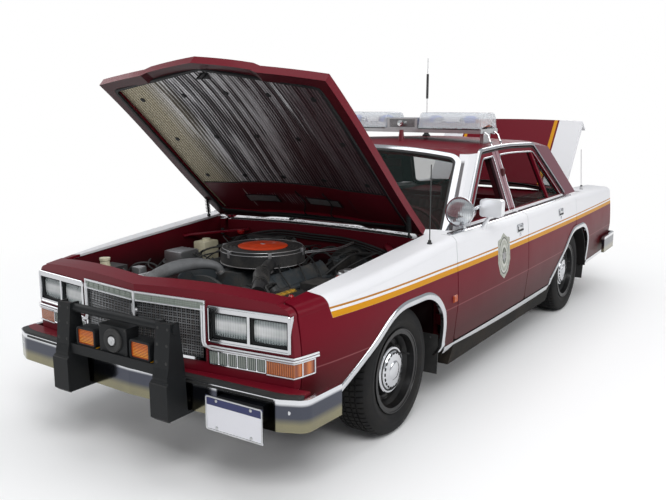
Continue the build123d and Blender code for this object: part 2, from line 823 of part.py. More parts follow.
def nose_hull():
    """Solid of the whole nose inside the body sides."""
    column_x = HOOD_HALF_WIDTH + 6

    def inner(station):
        return [(column_x, belt_z(station) + 8), (column_x, 1000), (-1, 1000), (-1, SILL_BOTTOM_Z)]

    half = side_loft([NOSE_STATION - 140, NOSE_STATION, NOSE_STATION + 160], inner)
    return half + mirrored(half)


def make_header():
    wall = nose_v(0, HEADER_WALL, NOSE_HALF_WIDTH, NOSE_BOTTOM_Z, 1000)
    half = HOOD_HALF_WIDTH + SIDE_GAP
    outside = both_sides(block((half - 1, 1000), (st(-1000), st(-600)), (400, 1000)))
    wall = wall & nose_hull() & (crowned_panel(HOOD_SURFACE, half, 400) + outside)
    for cut in (
        nose_rect(HEADLAMP_X, HEADLAMP_Z, -60, 40),
        nose_rect((-2, GRILLE_X[1]), GRILLE_Z, -60, 40),
        nose_rect((HEADLAMP_X[0], NOSE_HALF_WIDTH + 60), LAMP_ROW_Z, -60, 60),
    ):
        wall = wall - cut - mirrored(cut)
    cover = crowned_panel(HOOD_SURFACE, half, WALL)
    band = nose_v(0, 400, half, 700, 1000) - along_z(hood_outline(HOOD_FRONT_GAP), 600, 1100)
    behind = block((-900, 900), (st(HOOD_FRONT_STATION - 4), st(600)), (600, 1100))
    save("header_panel", carved(wall + ((cover & band) - behind), "fenders"))


def make_grille():
    outer = nose_rect(GRILLE_X, GRILLE_Z, -26, 7, FIT)
    inner = nose_rect(GRILLE_X, GRILLE_Z, -60, 60, GRILLE_RIM)
    frame = outer - inner
    low_x, high_x = GRILLE_X[0] + GRILLE_RIM, GRILLE_X[1] - GRILLE_RIM
    low_z, high_z = GRILLE_Z[0] + GRILLE_RIM, GRILLE_Z[1] - GRILLE_RIM
    bars = [nose_rect((low_x - 2, high_x + 2), (high_z - GRILLE_BAND, high_z + 2), -24, 3)]
    pitch = (high_x - low_x) / GRILLE_COLUMNS
    for i in range(1, GRILLE_COLUMNS):
        x = low_x + i * pitch
        bars.append(nose_rect((x - 2, x + 2), (low_z - 2, high_z - GRILLE_BAND + 2), -24, -2))
    pitch = (high_z - GRILLE_BAND - low_z) / GRILLE_ROWS
    for i in range(1, GRILLE_ROWS):
        z = low_z + i * pitch
        bars.append(nose_rect((low_x - 2, high_x + 2), (z - 2.5, z + 2.5), -24, -4))
    half = fuse(frame, *bars)
    seam = block((-8, 8), (nose_y(0) - 7, nose_y(0) + 26), (GRILLE_Z[0] + FIT, GRILLE_Z[1] - FIT))
    save("grille", fuse(half, mirrored(half), seam))


def make_headlamps():
    outer = nose_rect(HEADLAMP_X, HEADLAMP_Z, -30, 8, FIT)
    middle = sum(HEADLAMP_X) / 2
    cells = [(HEADLAMP_X[0] + HEADLAMP_RIM, middle - 6), (middle + 6, HEADLAMP_X[1] - HEADLAMP_RIM)]
    cell_z = (HEADLAMP_Z[0] + HEADLAMP_RIM, HEADLAMP_Z[1] - HEADLAMP_RIM - 8)
    bezel = outer
    lenses = []
    for cell in cells:
        bezel = bezel - nose_rect(cell, cell_z, -60, 60)
        pane = nose_rect(cell, cell_z, -26, -6, FIT)
        ball = Pos(0, 0, -LENS_RADIUS - 2) * Sphere(LENS_RADIUS)
        dome = nose_plane(sum(cell) / 2, sum(cell_z) / 2) * ball
        lenses.append(pane & dome)
    save("headlamp_bezels", *both(bezel))
    save("headlamps", *both(*lenses))


def make_marker_lamps():
    clear = nose_rect((HEADLAMP_X[0] + 4, LAMP_SPLIT_X - 2), LAMP_ROW_Z, -24, 2, FIT)
    inner_x = LAMP_SPLIT_X + 2
    corner_x = half_width(NOSE_STATION)
    rear_x = half_width(SIDE_LAMP_STATION)
    side_y = st(SIDE_LAMP_STATION)
    points = [
        (inner_x, nose_y(inner_x) - 2), (corner_x - 2, nose_y(corner_x) - 2), (rear_x - 1, side_y),
        (rear_x - 20, side_y), (corner_x - 24, nose_y(corner_x) + 26), (inner_x, nose_y(inner_x) + 24),
    ]
    amber = along_z(points, LAMP_ROW_Z[0] + FIT, LAMP_ROW_Z[1] - FIT)
    save("marker_lamps", *both(clear, amber))


def lamp_notch():
    return block((HOOD_HALF_WIDTH, 1000), (st(NOSE_STATION - 20), st(SIDE_LAMP_STATION + FIT)), LAMP_ROW_Z)


def bumper(end_y, wrap_y, facing):
    """Chrome bar with a shallow V and ends that wrap round the body."""

    def at(depth):
        return end_y + facing * depth

    half = BUMPER_HALF
    outer = [
        (-half, wrap_y), (-half + 12, at(92)), (-half + 120, at(42)), (0, at(0)),
        (half - 120, at(42)), (half - 12, at(92)), (half, wrap_y),
    ]
    inner = [
        (half - 24, wrap_y), (half - 36, at(104)), (half - 136, at(96)), (0, at(BUMPER_DEPTH)),
        (-half + 136, at(96)), (-half + 36, at(104)), (-half + 24, wrap_y),
    ]
    points = outer + inner
    radii = [0, 60, 90, 0, 90, 60, 0, 0, 30, 30, 0, 30, 30, 0]
    face = make_face(FilletPolyline(*points, radius=radii, close=True))
    return extrude(Plane.XY.offset(BUMPER_Z[0]) * face, BUMPER_Z[1] - BUMPER_Z[0])


def make_bumpers():
    mount_x = (RAIL_X[0] + 10, RAIL_X[1] - 10)
    front = bumper(st(-FRONT_OVERHANG), st(-650), 1)
    mounts = both(block(mount_x, (st(-FRONT_OVERHANG) + 70, st(RAIL_START) - FIT), BUMPER_MOUNT_Z))
    save("front_bumper", fuse(front, *mounts))
    rear = bumper(REAR_END_Y, st(WHEELBASE + 880), -1)
    mounts = both(block(mount_x, (st(TAIL_STATION) + FIT, REAR_END_Y - 70), BUMPER_MOUNT_Z))
    save("rear_bumper", fuse(rear, *mounts))


def make_push_bumper():
    front = st(-FRONT_OVERHANG - PUSH_REACH)
    inner_x, outer_x = PUSH_X
    low, high, tray_z = PUSH_BOTTOM_Z, PUSH_TOP_Z, PUSH_TRAY_Z

    def profile(points):
        return [(front + depth, z) for depth, z in points]

    side = profile([
        (14, low), (180, low), (180, low + 11), (134, low + 13), (128, low + 18), (116, tray_z),
        (92, high), (44, high), (24, tray_z), (14, 520),
    ])
    inner_plate = along_x(side, inner_x, inner_x + 10)
    outer_plate = along_x(side, outer_x - 10, outer_x)
    face = profile([
        (12, low), (12, 520), (22, tray_z), (42, high), (52, high), (32, tray_z), (24, 520), (24, low),
    ])
    web = along_x(face, inner_x, outer_x)
    pad = along_x(profile([(0, low + 12), (0, 492), (14, 506), (14, low)]), inner_x - 8, outer_x + 8)
    foot = block(PUSH_X, (front + 60, front + 180), (low, low + 11))
    upright = fuse(inner_plate, outer_plate, web, pad, foot)
    tube_y = front + 68
    tube = rod((-outer_x - 8, tube_y, PUSH_TUBE_Z), (outer_x + 8, tube_y, PUSH_TUBE_Z), 20)
    tray = block((-inner_x - 2, inner_x + 2), (front + 34, front + 112), (tray_z - 12, tray_z))
    lip = block((-inner_x - 2, inner_x + 2), (front + 30, front + 40), (tray_z - 40, tray_z + 6))
    speaker = block((-82, 96), (front + 40, front + 108), (tray_z - 2, tray_z + 130))
    horn = rod((10, front + 33, tray_z + 65), (10, front + 42, tray_z + 65), 24)
    brace = block((inner_x + 20, inner_x + 60), (front + 160, front + 178), (low + 10, BUMPER_Z[0] - FIT))
    save("push_bumper", fuse(upright, mirrored(upright), tube, tray, lip, speaker, horn, *both(brace)))
    lamp = block((118, 232), (front + 44, front + 100), (tray_z + FIT, tray_z + 86))
    save("push_bumper_lamps", *both(lamp))


def make_plates():
    width, height = PLATE_SIZE
    low_x, low_z = FRONT_PLATE_CORNER
    hanger_y = st(-FRONT_OVERHANG) - 10
    plate = block((low_x, low_x + width), (hanger_y - PLATE_THICKNESS, hanger_y), (low_z, low_z + height))
    hanger_x = (low_x + 38, low_x + width - 37)
    hanger = block(hanger_x, (hanger_y, hanger_y + 90), (low_z + 72, low_z + height - 12))
    tail_y = st(TAIL_STATION)
    rear_x, rear_z = (-width / 2, width / 2), (REAR_PLATE_Z, REAR_PLATE_Z + height)
    rear = block(rear_x, (tail_y + FIT, tail_y + PLATE_THICKNESS), rear_z)
    save("licence_plates", carved(plate + hanger, "front_bumper"), rear)


def make_front_frame():
    rail = block(RAIL_X, (st(RAIL_START), st(FIREWALL_STATION)), RAIL_Z)
    front, back = SUPPORT_STATION, FIREWALL_STATION
    edge_x = HOOD_HALF_WIDTH + 10
    apron = block((APRON_X - 12, APRON_X), (st(front), st(back)), (RAIL_Z[1] - 60, APRON_TOP_Z))
    shelf = block((APRON_X - 12, edge_x + 10), (st(front), st(back)), (APRON_TOP_Z - 10, APRON_TOP_Z))
    slope = [
        (st(front), APRON_TOP_Z - 5), (st(back), APRON_TOP_Z - 5),
        (st(back), belt_z(back) - 9), (st(front), belt_z(front) - 9),
    ]
    flange = along_x(slope, edge_x, edge_x + 10)
    wall = block((-edge_x - 10, edge_x + 10), (st(front) - 20, st(front)), (RAIL_Z[0] + 60, SUPPORT_TOP_Z))
    window_z = (RAIL_Z[1], RADIATOR_TOP_Z + 4)
    window = block((-RADIATOR_HALF - 4, RADIATOR_HALF + 4), (st(front) - 60, st(front) + 60), window_z)
    lower = block((-RAIL_X[1], RAIL_X[1]), (st(front) - 20, st(front) + 60), RAIL_Z)
    bracket_x, bracket_z = (640, 680), SUPPORT_TOP_Z + 17
    riser = block(bracket_x, (st(front) - 20, st(front) - 4), (SUPPORT_TOP_Z - 18, bracket_z))
    bracket = nose_rect(bracket_x, (bracket_z - 12, bracket_z), -86, -HEADER_WALL - FIT)
    save("front_frame", fuse(wall - window, lower, *both(rail, apron, shelf, flange, riser, bracket)))


def make_radiator():
    y = st(SUPPORT_STATION)
    core = block((-RADIATOR_HALF, RADIATOR_HALF), (y - 16, y + 48), (RAIL_Z[1] + FIT, RADIATOR_TOP_Z))
    shroud = block((-SHROUD_HALF, SHROUD_HALF), (y + 44, y + 130), (RAIL_Z[1] + 20, RADIATOR_TOP_Z - 18))
    bore = rod((0, y + 40, FAN_Z), (0, y + 140, FAN_Z), SHROUD_BORE)
    neck = rod((-150, y + 26, RADIATOR_TOP_Z - 2), (-150, y + 26, RADIATOR_TOP_Z + 24), 20)
    save("radiator", fuse(core, shroud - bore, neck))


def make_engine():
    y = st(ENGINE_STATION)
    block_points = [(-150, 330), (150, 330), (185, 560), (150, 640), (-150, 640), (-185, 560)]
    block_body = along_y(block_points, y - 300, y + 300)
    banks = []
    for side in (-1, 1):
        lean = Pos(side * 205, y, 660) * Rot(0, side * 45, 0)
        banks.append(lean * Box(150, 560, 190))
        banks.append(lean * Pos(0, 0, 118) * fillet(Box(120, 520, 60).edges(), 18))
    manifold = along_y([(-110, 620), (110, 620), (70, 790), (-70, 790)], y - 230, y + 230)
    sump = block((-130, 130), (y - 230, y + 230), (235, 335))
    crank = rod((0, y - 372, 455), (0, y - 298, 455), 85)
    pump = rod((0, y - 400, FAN_Z), (0, y - 298, FAN_Z), 70)
    fan = rod((0, y - 420, FAN_Z), (0, y - 400, FAN_Z), FAN_RADIUS)
    alternator = rod((235, y - 380, 700), (235, y - 250, 700), 68)
    gearbox = along_y([(-150, 300), (150, 300), (120, 560), (-120, 560)], y + 298, y + 560)
    extension = rod((0, y + 550, DRIVELINE_Z + 20), (0, st(EXTENSION_END), DRIVELINE_Z), 60)
    carb = block((AIR_CLEANER_X - 75, AIR_CLEANER_X + 75), (y - 80, y + 80), (780, CARB_TOP_Z))
    mounts = both(block((140, 290), (y + 20, y + 100), (RAIL_Z[0], RAIL_Z[0] + 50)))
    front_end = fuse(crank, pump, fan, alternator)
    save("engine", fuse(block_body, *banks, manifold, sump, front_end, gearbox, extension, carb, *mounts))
    centre = (AIR_CLEANER_X, st(ENGINE_STATION))
    top = CARB_TOP_Z + AIR_PAN_HEIGHT
    pan = Pos(*centre, top + FIT - AIR_PAN_HEIGHT / 2) * Cylinder(AIR_PAN_RADIUS, AIR_PAN_HEIGHT)
    lid = Pos(*centre, top + 6) * Cylinder(AIR_PAN_RADIUS - 12, 12)
    cap = Pos(*centre, top + 16) * Cylinder(96, 9)
    snorkel = rod((AIR_CLEANER_X + 150, y - 120, top - 38), (AIR_CLEANER_X + 235, y - 290, top - 48), 30)
    save("air_cleaner", fuse(pan, lid, cap, snorkel))


def make_bay_fittings():
    battery = block((490, 668), (st(-690), st(-430)), (APRON_TOP_Z + FIT, 800))
    washer = block((-668, -545), (st(-680), st(-480)), (APRON_TOP_Z + FIT, 800))
    coolant = block((545, 668), (st(-400), st(-250)), (APRON_TOP_Z + FIT, 825))
    back = st(FIREWALL_STATION) - FIT
    booster = rod((305, back, 725), (305, back - 120, 725), 118)
    master = block((272, 338), (back - 260, back - 118), (695, 785))
    heater = block((-425, -150), (back - 120, back), (640, 850))
    save("bay_fittings", battery, washer, coolant, booster + master, heater)


def tunnel_outline(grow=0):
    low, high = [half + grow for half in TUNNEL_HALVES]
    low_z, high_z = FLOOR_Z - FLOOR_PLATE, TUNNEL_TOP_Z + grow
    return [(-low, low_z), (low, low_z), (high, high_z), (-high, high_z)]


def make_firewall():
    face = st(FIREWALL_STATION)
    edge_x = HOOD_HALF_WIDTH + 6
    glass_x = GLASS_BELT_X - 9
    front_y = st(DOOR_START + 2)
    under = crowned_panel(COWL_SURFACE, COWL_HALF, 900)
    wall = block((-POST_X[1], POST_X[1]), (face, face + 18), (FLOOR_Z, 1000)) & under
    gearbox_door = along_y([(-172, 200), (172, 200), (140, 590), (-140, 590)], face - 50, face + 60)
    outline = [
        (-edge_x, face), (edge_x, face), (edge_x, front_y), (glass_x, front_y), (glass_x, st(850)),
        (-glass_x, st(850)), (-glass_x, front_y), (-edge_x, front_y),
    ]
    top = crowned_panel(COWL_SURFACE, COWL_HALF, WALL) & along_z(outline, 700, 1100)
    slots = both(block((ARM_X[0] - 8, ARM_X[1] + 8), (face - 20, st(HOOD_HINGE_STATION) + 40), (800, 1100)))
    post = block(POST_X, (st(530), st(DOOR_START + 140)), (FLOOR_Z + FIT, BELT_Z - 22))
    shell = fuse(wall, top, *both(post)) - gearbox_door
    for slot in slots:
        shell = shell - slot
    shell = shell - greenhouse_hull(-1, 0)
    hinge_y = st(HOOD_HINGE_STATION)
    for low, high in ((ARM_X[0] - 16, ARM_X[0] - 2), (ARM_X[1] + 2, ARM_X[1] + 16)):
        shell = fuse(shell, *both(block((low, high), (hinge_y - 14, hinge_y + 14), (880, HOOD_HINGE_Z + 14))))
    shell = fuse(shell, *both(hood_rod(ARM_X[0] - 10, ARM_X[1] + 10, HINGE_PIN)))
    leaf_end = DOOR_START + 4 + SEAL_GAP
    for low, high in DOOR_LEAVES:
        leaf = block((POST_X[1] - 2, POST_X[1] + 40), (st(leaf_end - 24), st(leaf_end) - FIT), (low, high))
        shell = fuse(shell, *both(leaf))
    save("firewall", shell)


def make_floor():
    start, end = FIREWALL_STATION + 18, WHEELBASE - KICK_AHEAD
    under = FLOOR_Z - FLOOR_PLATE
    low_half, high_half = [half - WALL for half in TUNNEL_HALVES]
    floor = block((-820, 820), (st(start), st(end)), (under, FLOOR_Z))
    tunnel = along_y(tunnel_outline(), st(start), st(end))
    hollow_points = [
        (-low_half, 100), (low_half, 100),
        (high_half + 1, TUNNEL_TOP_Z - WALL), (-high_half - 1, TUNNEL_TOP_Z - WALL),
    ]
    hollow = along_y(hollow_points, st(start) - 10, st(end) + 10)
    sill_points = [
        (SILL_X[0], 205), (880, 205), (906, SILL_BOTTOM_Z),
        (SILL_X[1], ROCKER_TOP_Z), (SILL_X[0], ROCKER_TOP_Z),
    ]
    sill = along_y(sill_points, st(DOOR_START), st(WHEELBASE - 566))
    member = block((560, 620), (st(start), st(end)), (FLOOR_Z - 60, under + 1))
    step = block((-POST_X[1], POST_X[1]), (st(end - 14), st(end)), (under, TRUNK_Z)) - hollow
    pillar_y = (st(DOOR_SPLIT - 46), st(DOOR_SPLIT + 56))
    pillar = block(POST_X, pillar_y, (FLOOR_Z - 10, BELT_Z - 40))
    neck = block((POST_X[0], POST_X[0] + 34), pillar_y, (BELT_Z - 42, BELT_Z - 20))
    leaf_y = (st(DOOR_SPLIT + 2), st(REAR_DOOR_START + SEAL_GAP) - FIT)
    leaves = [block((POST_X[1] - 2, POST_X[1] + 40), leaf_y, z) for z in DOOR_LEAVES]
    save("floor_pan", fuse((floor + tunnel) - hollow, step, *both(sill, member, pillar, neck, *leaves)))


def make_trunk_pan():
    start, end = WHEELBASE - KICK_AHEAD, TAIL_STATION - 20
    wall_x, side_x = WHEELHOUSE_X
    centre = (REAR_AXLE_Y, TYRE_RADIUS)
    floor_z = (TRUNK_Z - FLOOR_PLATE, TRUNK_Z)
    floor = block((-wall_x - 6, wall_x + 6), (st(start), st(end)), floor_z)
    side_floor = block((wall_x, 846), (st(WHEELBASE + 380), st(end)), floor_z)
    outer = rod((wall_x - 14, *centre), (side_x, *centre), WHEELHOUSE_RADIUS + 12)
    inner = rod((wall_x, *centre), (side_x + 20, *centre), WHEELHOUSE_RADIUS)
    low_wall = block((0, wall_x + 1), (st(WHEELBASE - 900), st(WHEELBASE + 900)), (-300, floor_z[0]))
    low_arc = block((0, 1000), (st(WHEELBASE - 900), st(WHEELBASE + 900)), (-300, TYRE_RADIUS - 20))
    house = outer - inner - low_wall - low_arc
    extension = rod((side_x - 1, *centre), (905, *centre), WHEELHOUSE_RADIUS + 12)
    extension = extension - rod((side_x - 2, *centre), (906, *centre), WHEELHOUSE_RADIUS)
    house_y = (REAR_AXLE_Y + 12, REAR_AXLE_Y + 600)
    house = house + (extension & block((0, 1000), house_y, (TYRE_RADIUS - 20, 900)))
    side = LID_HALF_WIDTH + 100
    shelf_y = (st(WHEELBASE - 60), st(BACKLIGHT_BASE_STATION - 40))
    shelf = block((-side, side), shelf_y, (BELT_Z - 48, BELT_Z - 34))
    seat_wall = block((-side, side), (st(WHEELBASE - 74), st(WHEELBASE - 60)), (TRUNK_Z - 4, BELT_Z - 34))
    seat_wall = seat_wall - both_sides(rod((wall_x - 1, *centre), (side_x + 20, *centre), WHEELHOUSE_RADIUS))
    rear_rail = block(RAIL_X, (st(start), st(end)), (TRUNK_Z - 70, TRUNK_Z - 13))
    deck = crowned_panel(DECK_SURFACE, LID_HALF_WIDTH + 6, WALL)
    deck = deck & block((-900, 900), (st(WHEELBASE + 310), st(LID_HINGE_STATION - DECK_GAP)), (700, 1100))
    gutter_y = (st(BACKLIGHT_BASE_STATION - 54), st(BACKLIGHT_BASE_STATION - 26))
    gutter = block((-LID_HALF_WIDTH - 6, LID_HALF_WIDTH + 6), gutter_y, (BELT_Z - 48, BELT_Z + 10))
    gutter = gutter & crowned_panel(DECK_SURFACE, LID_HALF_WIDTH + 6, 200)
    body = fuse(floor, *both(side_floor, house, rear_rail), shelf, seat_wall, gutter, deck)
    body = carved(body - greenhouse_hull(-1, 0), "quarters")
    for x in (LID_KNUCKLE_X[0], LID_KNUCKLE_X[2]):
        body = fuse(body, *both(lid_knuckle(x, -1)))
    save("trunk_pan", fuse(body, *both(lid_rod(LID_KNUCKLE_X[0][0] + 1, LID_KNUCKLE_X[2][1] - 1, LID_PIN))))


def make_tail():
    low, high = st(TAIL_STATION) - 20, st(TAIL_STATION)
    half = half_width(TAIL_STATION) - TAIL_EDGE
    lamp_x = (TAIL_LAMP_INNER, half - 6)
    panel = block((-half, half), (low, high), (400, TAIL_TOP_Z - LID_FLANGE - PANEL_GAP - 1))
    corner = block((LID_HALF_WIDTH + SIDE_GAP, half), (low, high), (700, TAIL_TOP_Z - 10))
    cut = block(lamp_x, (low - 10, high + 10), TAIL_LAMP_Z)
    panel = fuse(panel, *both(corner)) - cut - mirrored(cut)
    save("tail_panel", carved(panel, "quarters"))
    lamp_z = (TAIL_LAMP_Z[0] + FIT, TAIL_LAMP_Z[1] - FIT)
    lamp = block((lamp_x[0] + FIT, lamp_x[1] - FIT), (low - 24, high + 10), lamp_z)
    save("tail_lamps", *both(lamp))


def make_wheels():
    tread, bead = TYRE_WIDTH / 2, 88
    tyre_profile = [
        (-bead, RIM_RADIUS), (-bead, RIM_RADIUS + 16), (-tread, RIM_RADIUS + 52), (-tread + 1, RIM_RADIUS + 84),
        (-tread + 18, TYRE_RADIUS - 9), (-tread + 36, TYRE_RADIUS), (tread - 36, TYRE_RADIUS),
        (tread - 18, TYRE_RADIUS - 9), (tread - 1, RIM_RADIUS + 84), (tread, RIM_RADIUS + 52),
        (bead, RIM_RADIUS + 16), (bead, RIM_RADIUS),
    ]
    r = RIM_RADIUS - FIT
    rim_profile = [
        (-bead, r), (bead, r), (bead + 1, r + 14), (bead + 9, r + 14), (bead + 8, r - 10), (60, r - 18),
        (44, 168), (30, 160), (26, 140), (40, 128), (62, 118), (76, 84), (82, 44), (82, 0),
        (SPINDLE_END, 0), (SPINDLE_END, 56), (HUB_FACE, 70), (HUB_FACE, 150), (20, 170), (34, r - 12),
        (-bead + 2, r - 12), (-bead - 8, r - 10), (-bead - 9, r + 14), (-bead - 1, r + 14),
    ]
    x = TRACK / 2
    for end, y in (("f", FRONT_AXLE_Y), ("r", REAR_AXLE_Y)):
        tyre = wheel_solid(tyre_profile, x, y, TYRE_RADIUS)
        rim = wheel_solid(rim_profile, x, y, TYRE_RADIUS)
        for side, turn in (("l", lambda shape: shape), ("r", mirrored)):
            save(f"tyre_{end}{side}", turn(tyre))
            save(f"rim_{end}{side}", turn(rim))


def make_knuckles():
    y, z, x = FRONT_AXLE_Y, TYRE_RADIUS, TRACK / 2
    spindle = rod((KINGPIN_X - 20, y, z), (x + SPINDLE_END - FIT, y, z), 34)
    upright_z = (z - KNUCKLE_REACH, z + KNUCKLE_REACH)
    upright = block((KINGPIN_X - 17, KINGPIN_X + 17), (y - 38, y + 38), upright_z)
    disc = rod((KINGPIN_X + 17, y, z), (KINGPIN_X + 37, y, z), 130)
    caliper = block((KINGPIN_X - 30, KINGPIN_X + 50), (y + 76, y + 146), (z - 60, z + 70))
    arm = block((KINGPIN_X - 30, KINGPIN_X - 8), (y - 150, y + 80), (z - 70, z - 50))
    knuckle = fuse(spindle, upright, disc, caliper, arm)
    save("knuckle_left", knuckle)
    save("knuckle_right", mirrored(knuckle))


def wishbone(inner_x, half_root, low):
    """Suspension arm that narrows to its ball joint."""
    y, tip = FRONT_AXLE_Y, 24
    points = [
        (inner_x, y - half_root), (inner_x, y + half_root), (KINGPIN_X - 50, y + tip),
        (KINGPIN_X + 14, y + tip), (KINGPIN_X + 14, y - tip), (KINGPIN_X - 50, y - tip),
    ]
    return along_z(points, low, low + ARM_THICKNESS)


def make_front_suspension():
    y, z = FRONT_AXLE_Y, TYRE_RADIUS
    top = RAIL_Z[0] - FIT
    cross = along_y([(-RAIL_X[1], top), (-300, 210), (300, 210), (RAIL_X[1], top)], y - 70, y + 150)
    cross = cross - block((-170, 170), (y - 100, y + 200), (226, 400))
    low = z - KNUCKLE_REACH - BALL_GAP - ARM_THICKNESS
    high = z + KNUCKLE_REACH + BALL_GAP
    lower = wishbone(300, 70, low)
    lower_ball = rod((KINGPIN_X, y, low + 5), (KINGPIN_X, y, z - KNUCKLE_REACH - FIT), 12)
    link = block((300, 340), (y - 70, y + 70), (low, 240))
    upper = wishbone(APRON_X + FIT, 70, high)
    upper_ball = rod((KINGPIN_X, y, z + KNUCKLE_REACH + FIT), (KINGPIN_X, y, high + 5), 12)
    bar_z = RAIL_Z[0] - 13 - FIT
    bar = rod((-RAIL_X[1], st(-420), bar_z), (RAIL_X[1], st(-420), bar_z), 13)
    save("front_suspension", fuse(cross, *both(lower, link, lower_ball)), *both(upper + upper_ball), bar)


def make_rear_axle():
    y, z, x = REAR_AXLE_Y, TYRE_RADIUS, TRACK / 2
    tube = rod((-x, y, z), (x, y, z), AXLE_TUBE_RADIUS)
    case = Pos(0, y, z) * fillet(Cylinder(98, 190, rotation=(90, 0, 0)).edges(), 30)
    nose = rod((0, y - 250, z), (0, y - 60, z), 58)
    drums = both(rod((x - 75, y, z), (x + HUB_FACE - FIT, y, z), DRUM_RADIUS))
    eye_y, shackle_y = st(WHEELBASE - KICK_AHEAD + 50), st(WHEELBASE + 640)
    under = TRUNK_Z - FLOOR_PLATE - FIT
    route = [
        (SPRING_X, eye_y, 310), (SPRING_X, y - 180, 262), (SPRING_X, y + 180, 262), (SPRING_X, shackle_y, 350),
    ]
    spring = bent_rod(route, 500, 16)
    eye_x = (SPRING_X - 18, SPRING_X + 18)
    eye = block(eye_x, (eye_y - 20, eye_y + 20), (294, under))
    shackle = block(eye_x, (shackle_y - 20, shackle_y + 20), (334, under))
    seat = block((SPRING_X - 30, SPRING_X + 30), (y - 60, y + 60), (262, z))
    shaft = rod((0, st(EXTENSION_END) + 3, DRIVELINE_Z), (0, y - 248, z), AXLE_TUBE_RADIUS)
    save("rear_axle", fuse(tube, case, nose, *drums, *both(spring, seat, eye, shackle), shaft))


def make_underside():
    under_floor = FLOOR_Z - FLOOR_PLATE - FIT
    route = [
        (215, st(330), 290), (215, st(480), 168), (240, st(WHEELBASE - 710), 168),
        (490, st(WHEELBASE - 420), 184), (490, st(WHEELBASE - 160), 234), (490, st(WHEELBASE + 980), 236),
        (500, st(WHEELBASE + 1290), 226),
    ]
    pipe = bent_rod(route, PIPE_BEND, PIPE_RADIUS)
    x, station, z = MUFFLER_CENTRE
    muffler = Pos(x, st(station), z) * fillet(Box(*MUFFLER).edges().filter_by(Axis.Y), 44)
    hanger = block((x - 7, x + 13), (st(station - 250), st(station - 230)), (z + 40, under_floor))
    save("exhaust", fuse(pipe, muffler, hanger))
    tank_y = (st(TANK_STATIONS[0]), st(TANK_STATIONS[1]))
    tank = block((-TANK_HALF, TANK_HALF), tank_y, (TANK_BOTTOM_Z, TRUNK_Z - FLOOR_PLATE - FIT))
    save("fuel_tank", fillet(tank.edges().filter_by(Axis.Z), 60))


def bench(station, width, back_top):
    """Bench seat on the floor: a cushion on its base with a leaning back."""
    y, half, floor_z = st(station), width / 2, FLOOR_Z + FIT
    cushion = block((-half, half), (y, y + 520), (floor_z, SEAT_Z))
    back = [(y + 430, SEAT_Z - 10), (y + 560, SEAT_Z - 10), (y + 700, back_top), (y + 600, back_top)]
    return cushion + along_x(back, -half, half)


def make_interior():
    clear = tunnel_outline(2)
    front = bench(*FRONT_BENCH) - along_y(clear, st(1100), st(2000))
    rear = bench(*REAR_BENCH) - along_y(clear, st(2000), st(3000))
    kick = WHEELBASE - KICK_AHEAD
    rear = rear - block((-900, 900), (st(kick - 14) - FIT, st(WHEELBASE)), (200, TRUNK_Z + FIT))
    rear = rear & block((-900, 900), (st(1000), st(WHEELBASE - 74) - FIT), (0, 2000))
    save("seats", front, rear)
    dash_points = [(st(700), 880), (st(960), 860), (st(985), 780), (st(930), 640), (st(700), 600)]
    dash = along_x(dash_points, -POST_X[0] + FIT, POST_X[0] - FIT)
    save("dashboard", dash)
    x, station, z = STEERING_CENTRE
    centre = Vector(x, st(station), z)
    tilt = math.radians(STEERING_TILT)
    wheel_plane = Plane(centre, x_dir=(1, 0, 0), z_dir=(0, math.sin(tilt), math.cos(tilt)))
    ring = wheel_plane * Torus(STEERING_RADIUS, 13)
    hub = wheel_plane * Pos(0, 0, -18) * Cylinder(62, 36)
    spoke = wheel_plane * Pos(0, 0, -14) * Box(2 * STEERING_RADIUS - 4, 40, 14)
    column = rod(tuple(centre - wheel_plane.z_dir * 190), tuple(centre - wheel_plane.z_dir * 30), 30)
    save("steering_wheel", carved(fuse(ring, hub, spoke, column), "dashboard"))


def make_light_bar():
    y = st(LIGHT_BAR_STATION)
    tray_low, tray_high = LIGHT_BAR_Z
    tray = block((-LIGHT_BAR_HALF, LIGHT_BAR_HALF), (y - 150, y + 150), LIGHT_BAR_Z)
    feet = both(block((560, 584), (y - 60, y + 60), (ROOF_Z - ROOF_WALL, tray_low + 2)))
    siren = block((-SIREN_HALF, SIREN_HALF), (y - 140, y + 140), (tray_high - 2, tray_high + 70))
    save("light_bar", fuse(tray, siren, *feet) - greenhouse_hull(-FIT, -FIT))
    dome = block((SIREN_HALF + 8, LIGHT_BAR_HALF - 4), (y - 140, y + 140), (tray_high + FIT, DOME_TOP_Z))
    dome = fillet(dome.edges().filter_by(Axis.X).group_by(Axis.Z)[-1], 55)
    save("light_bar_domes", *both(dome))


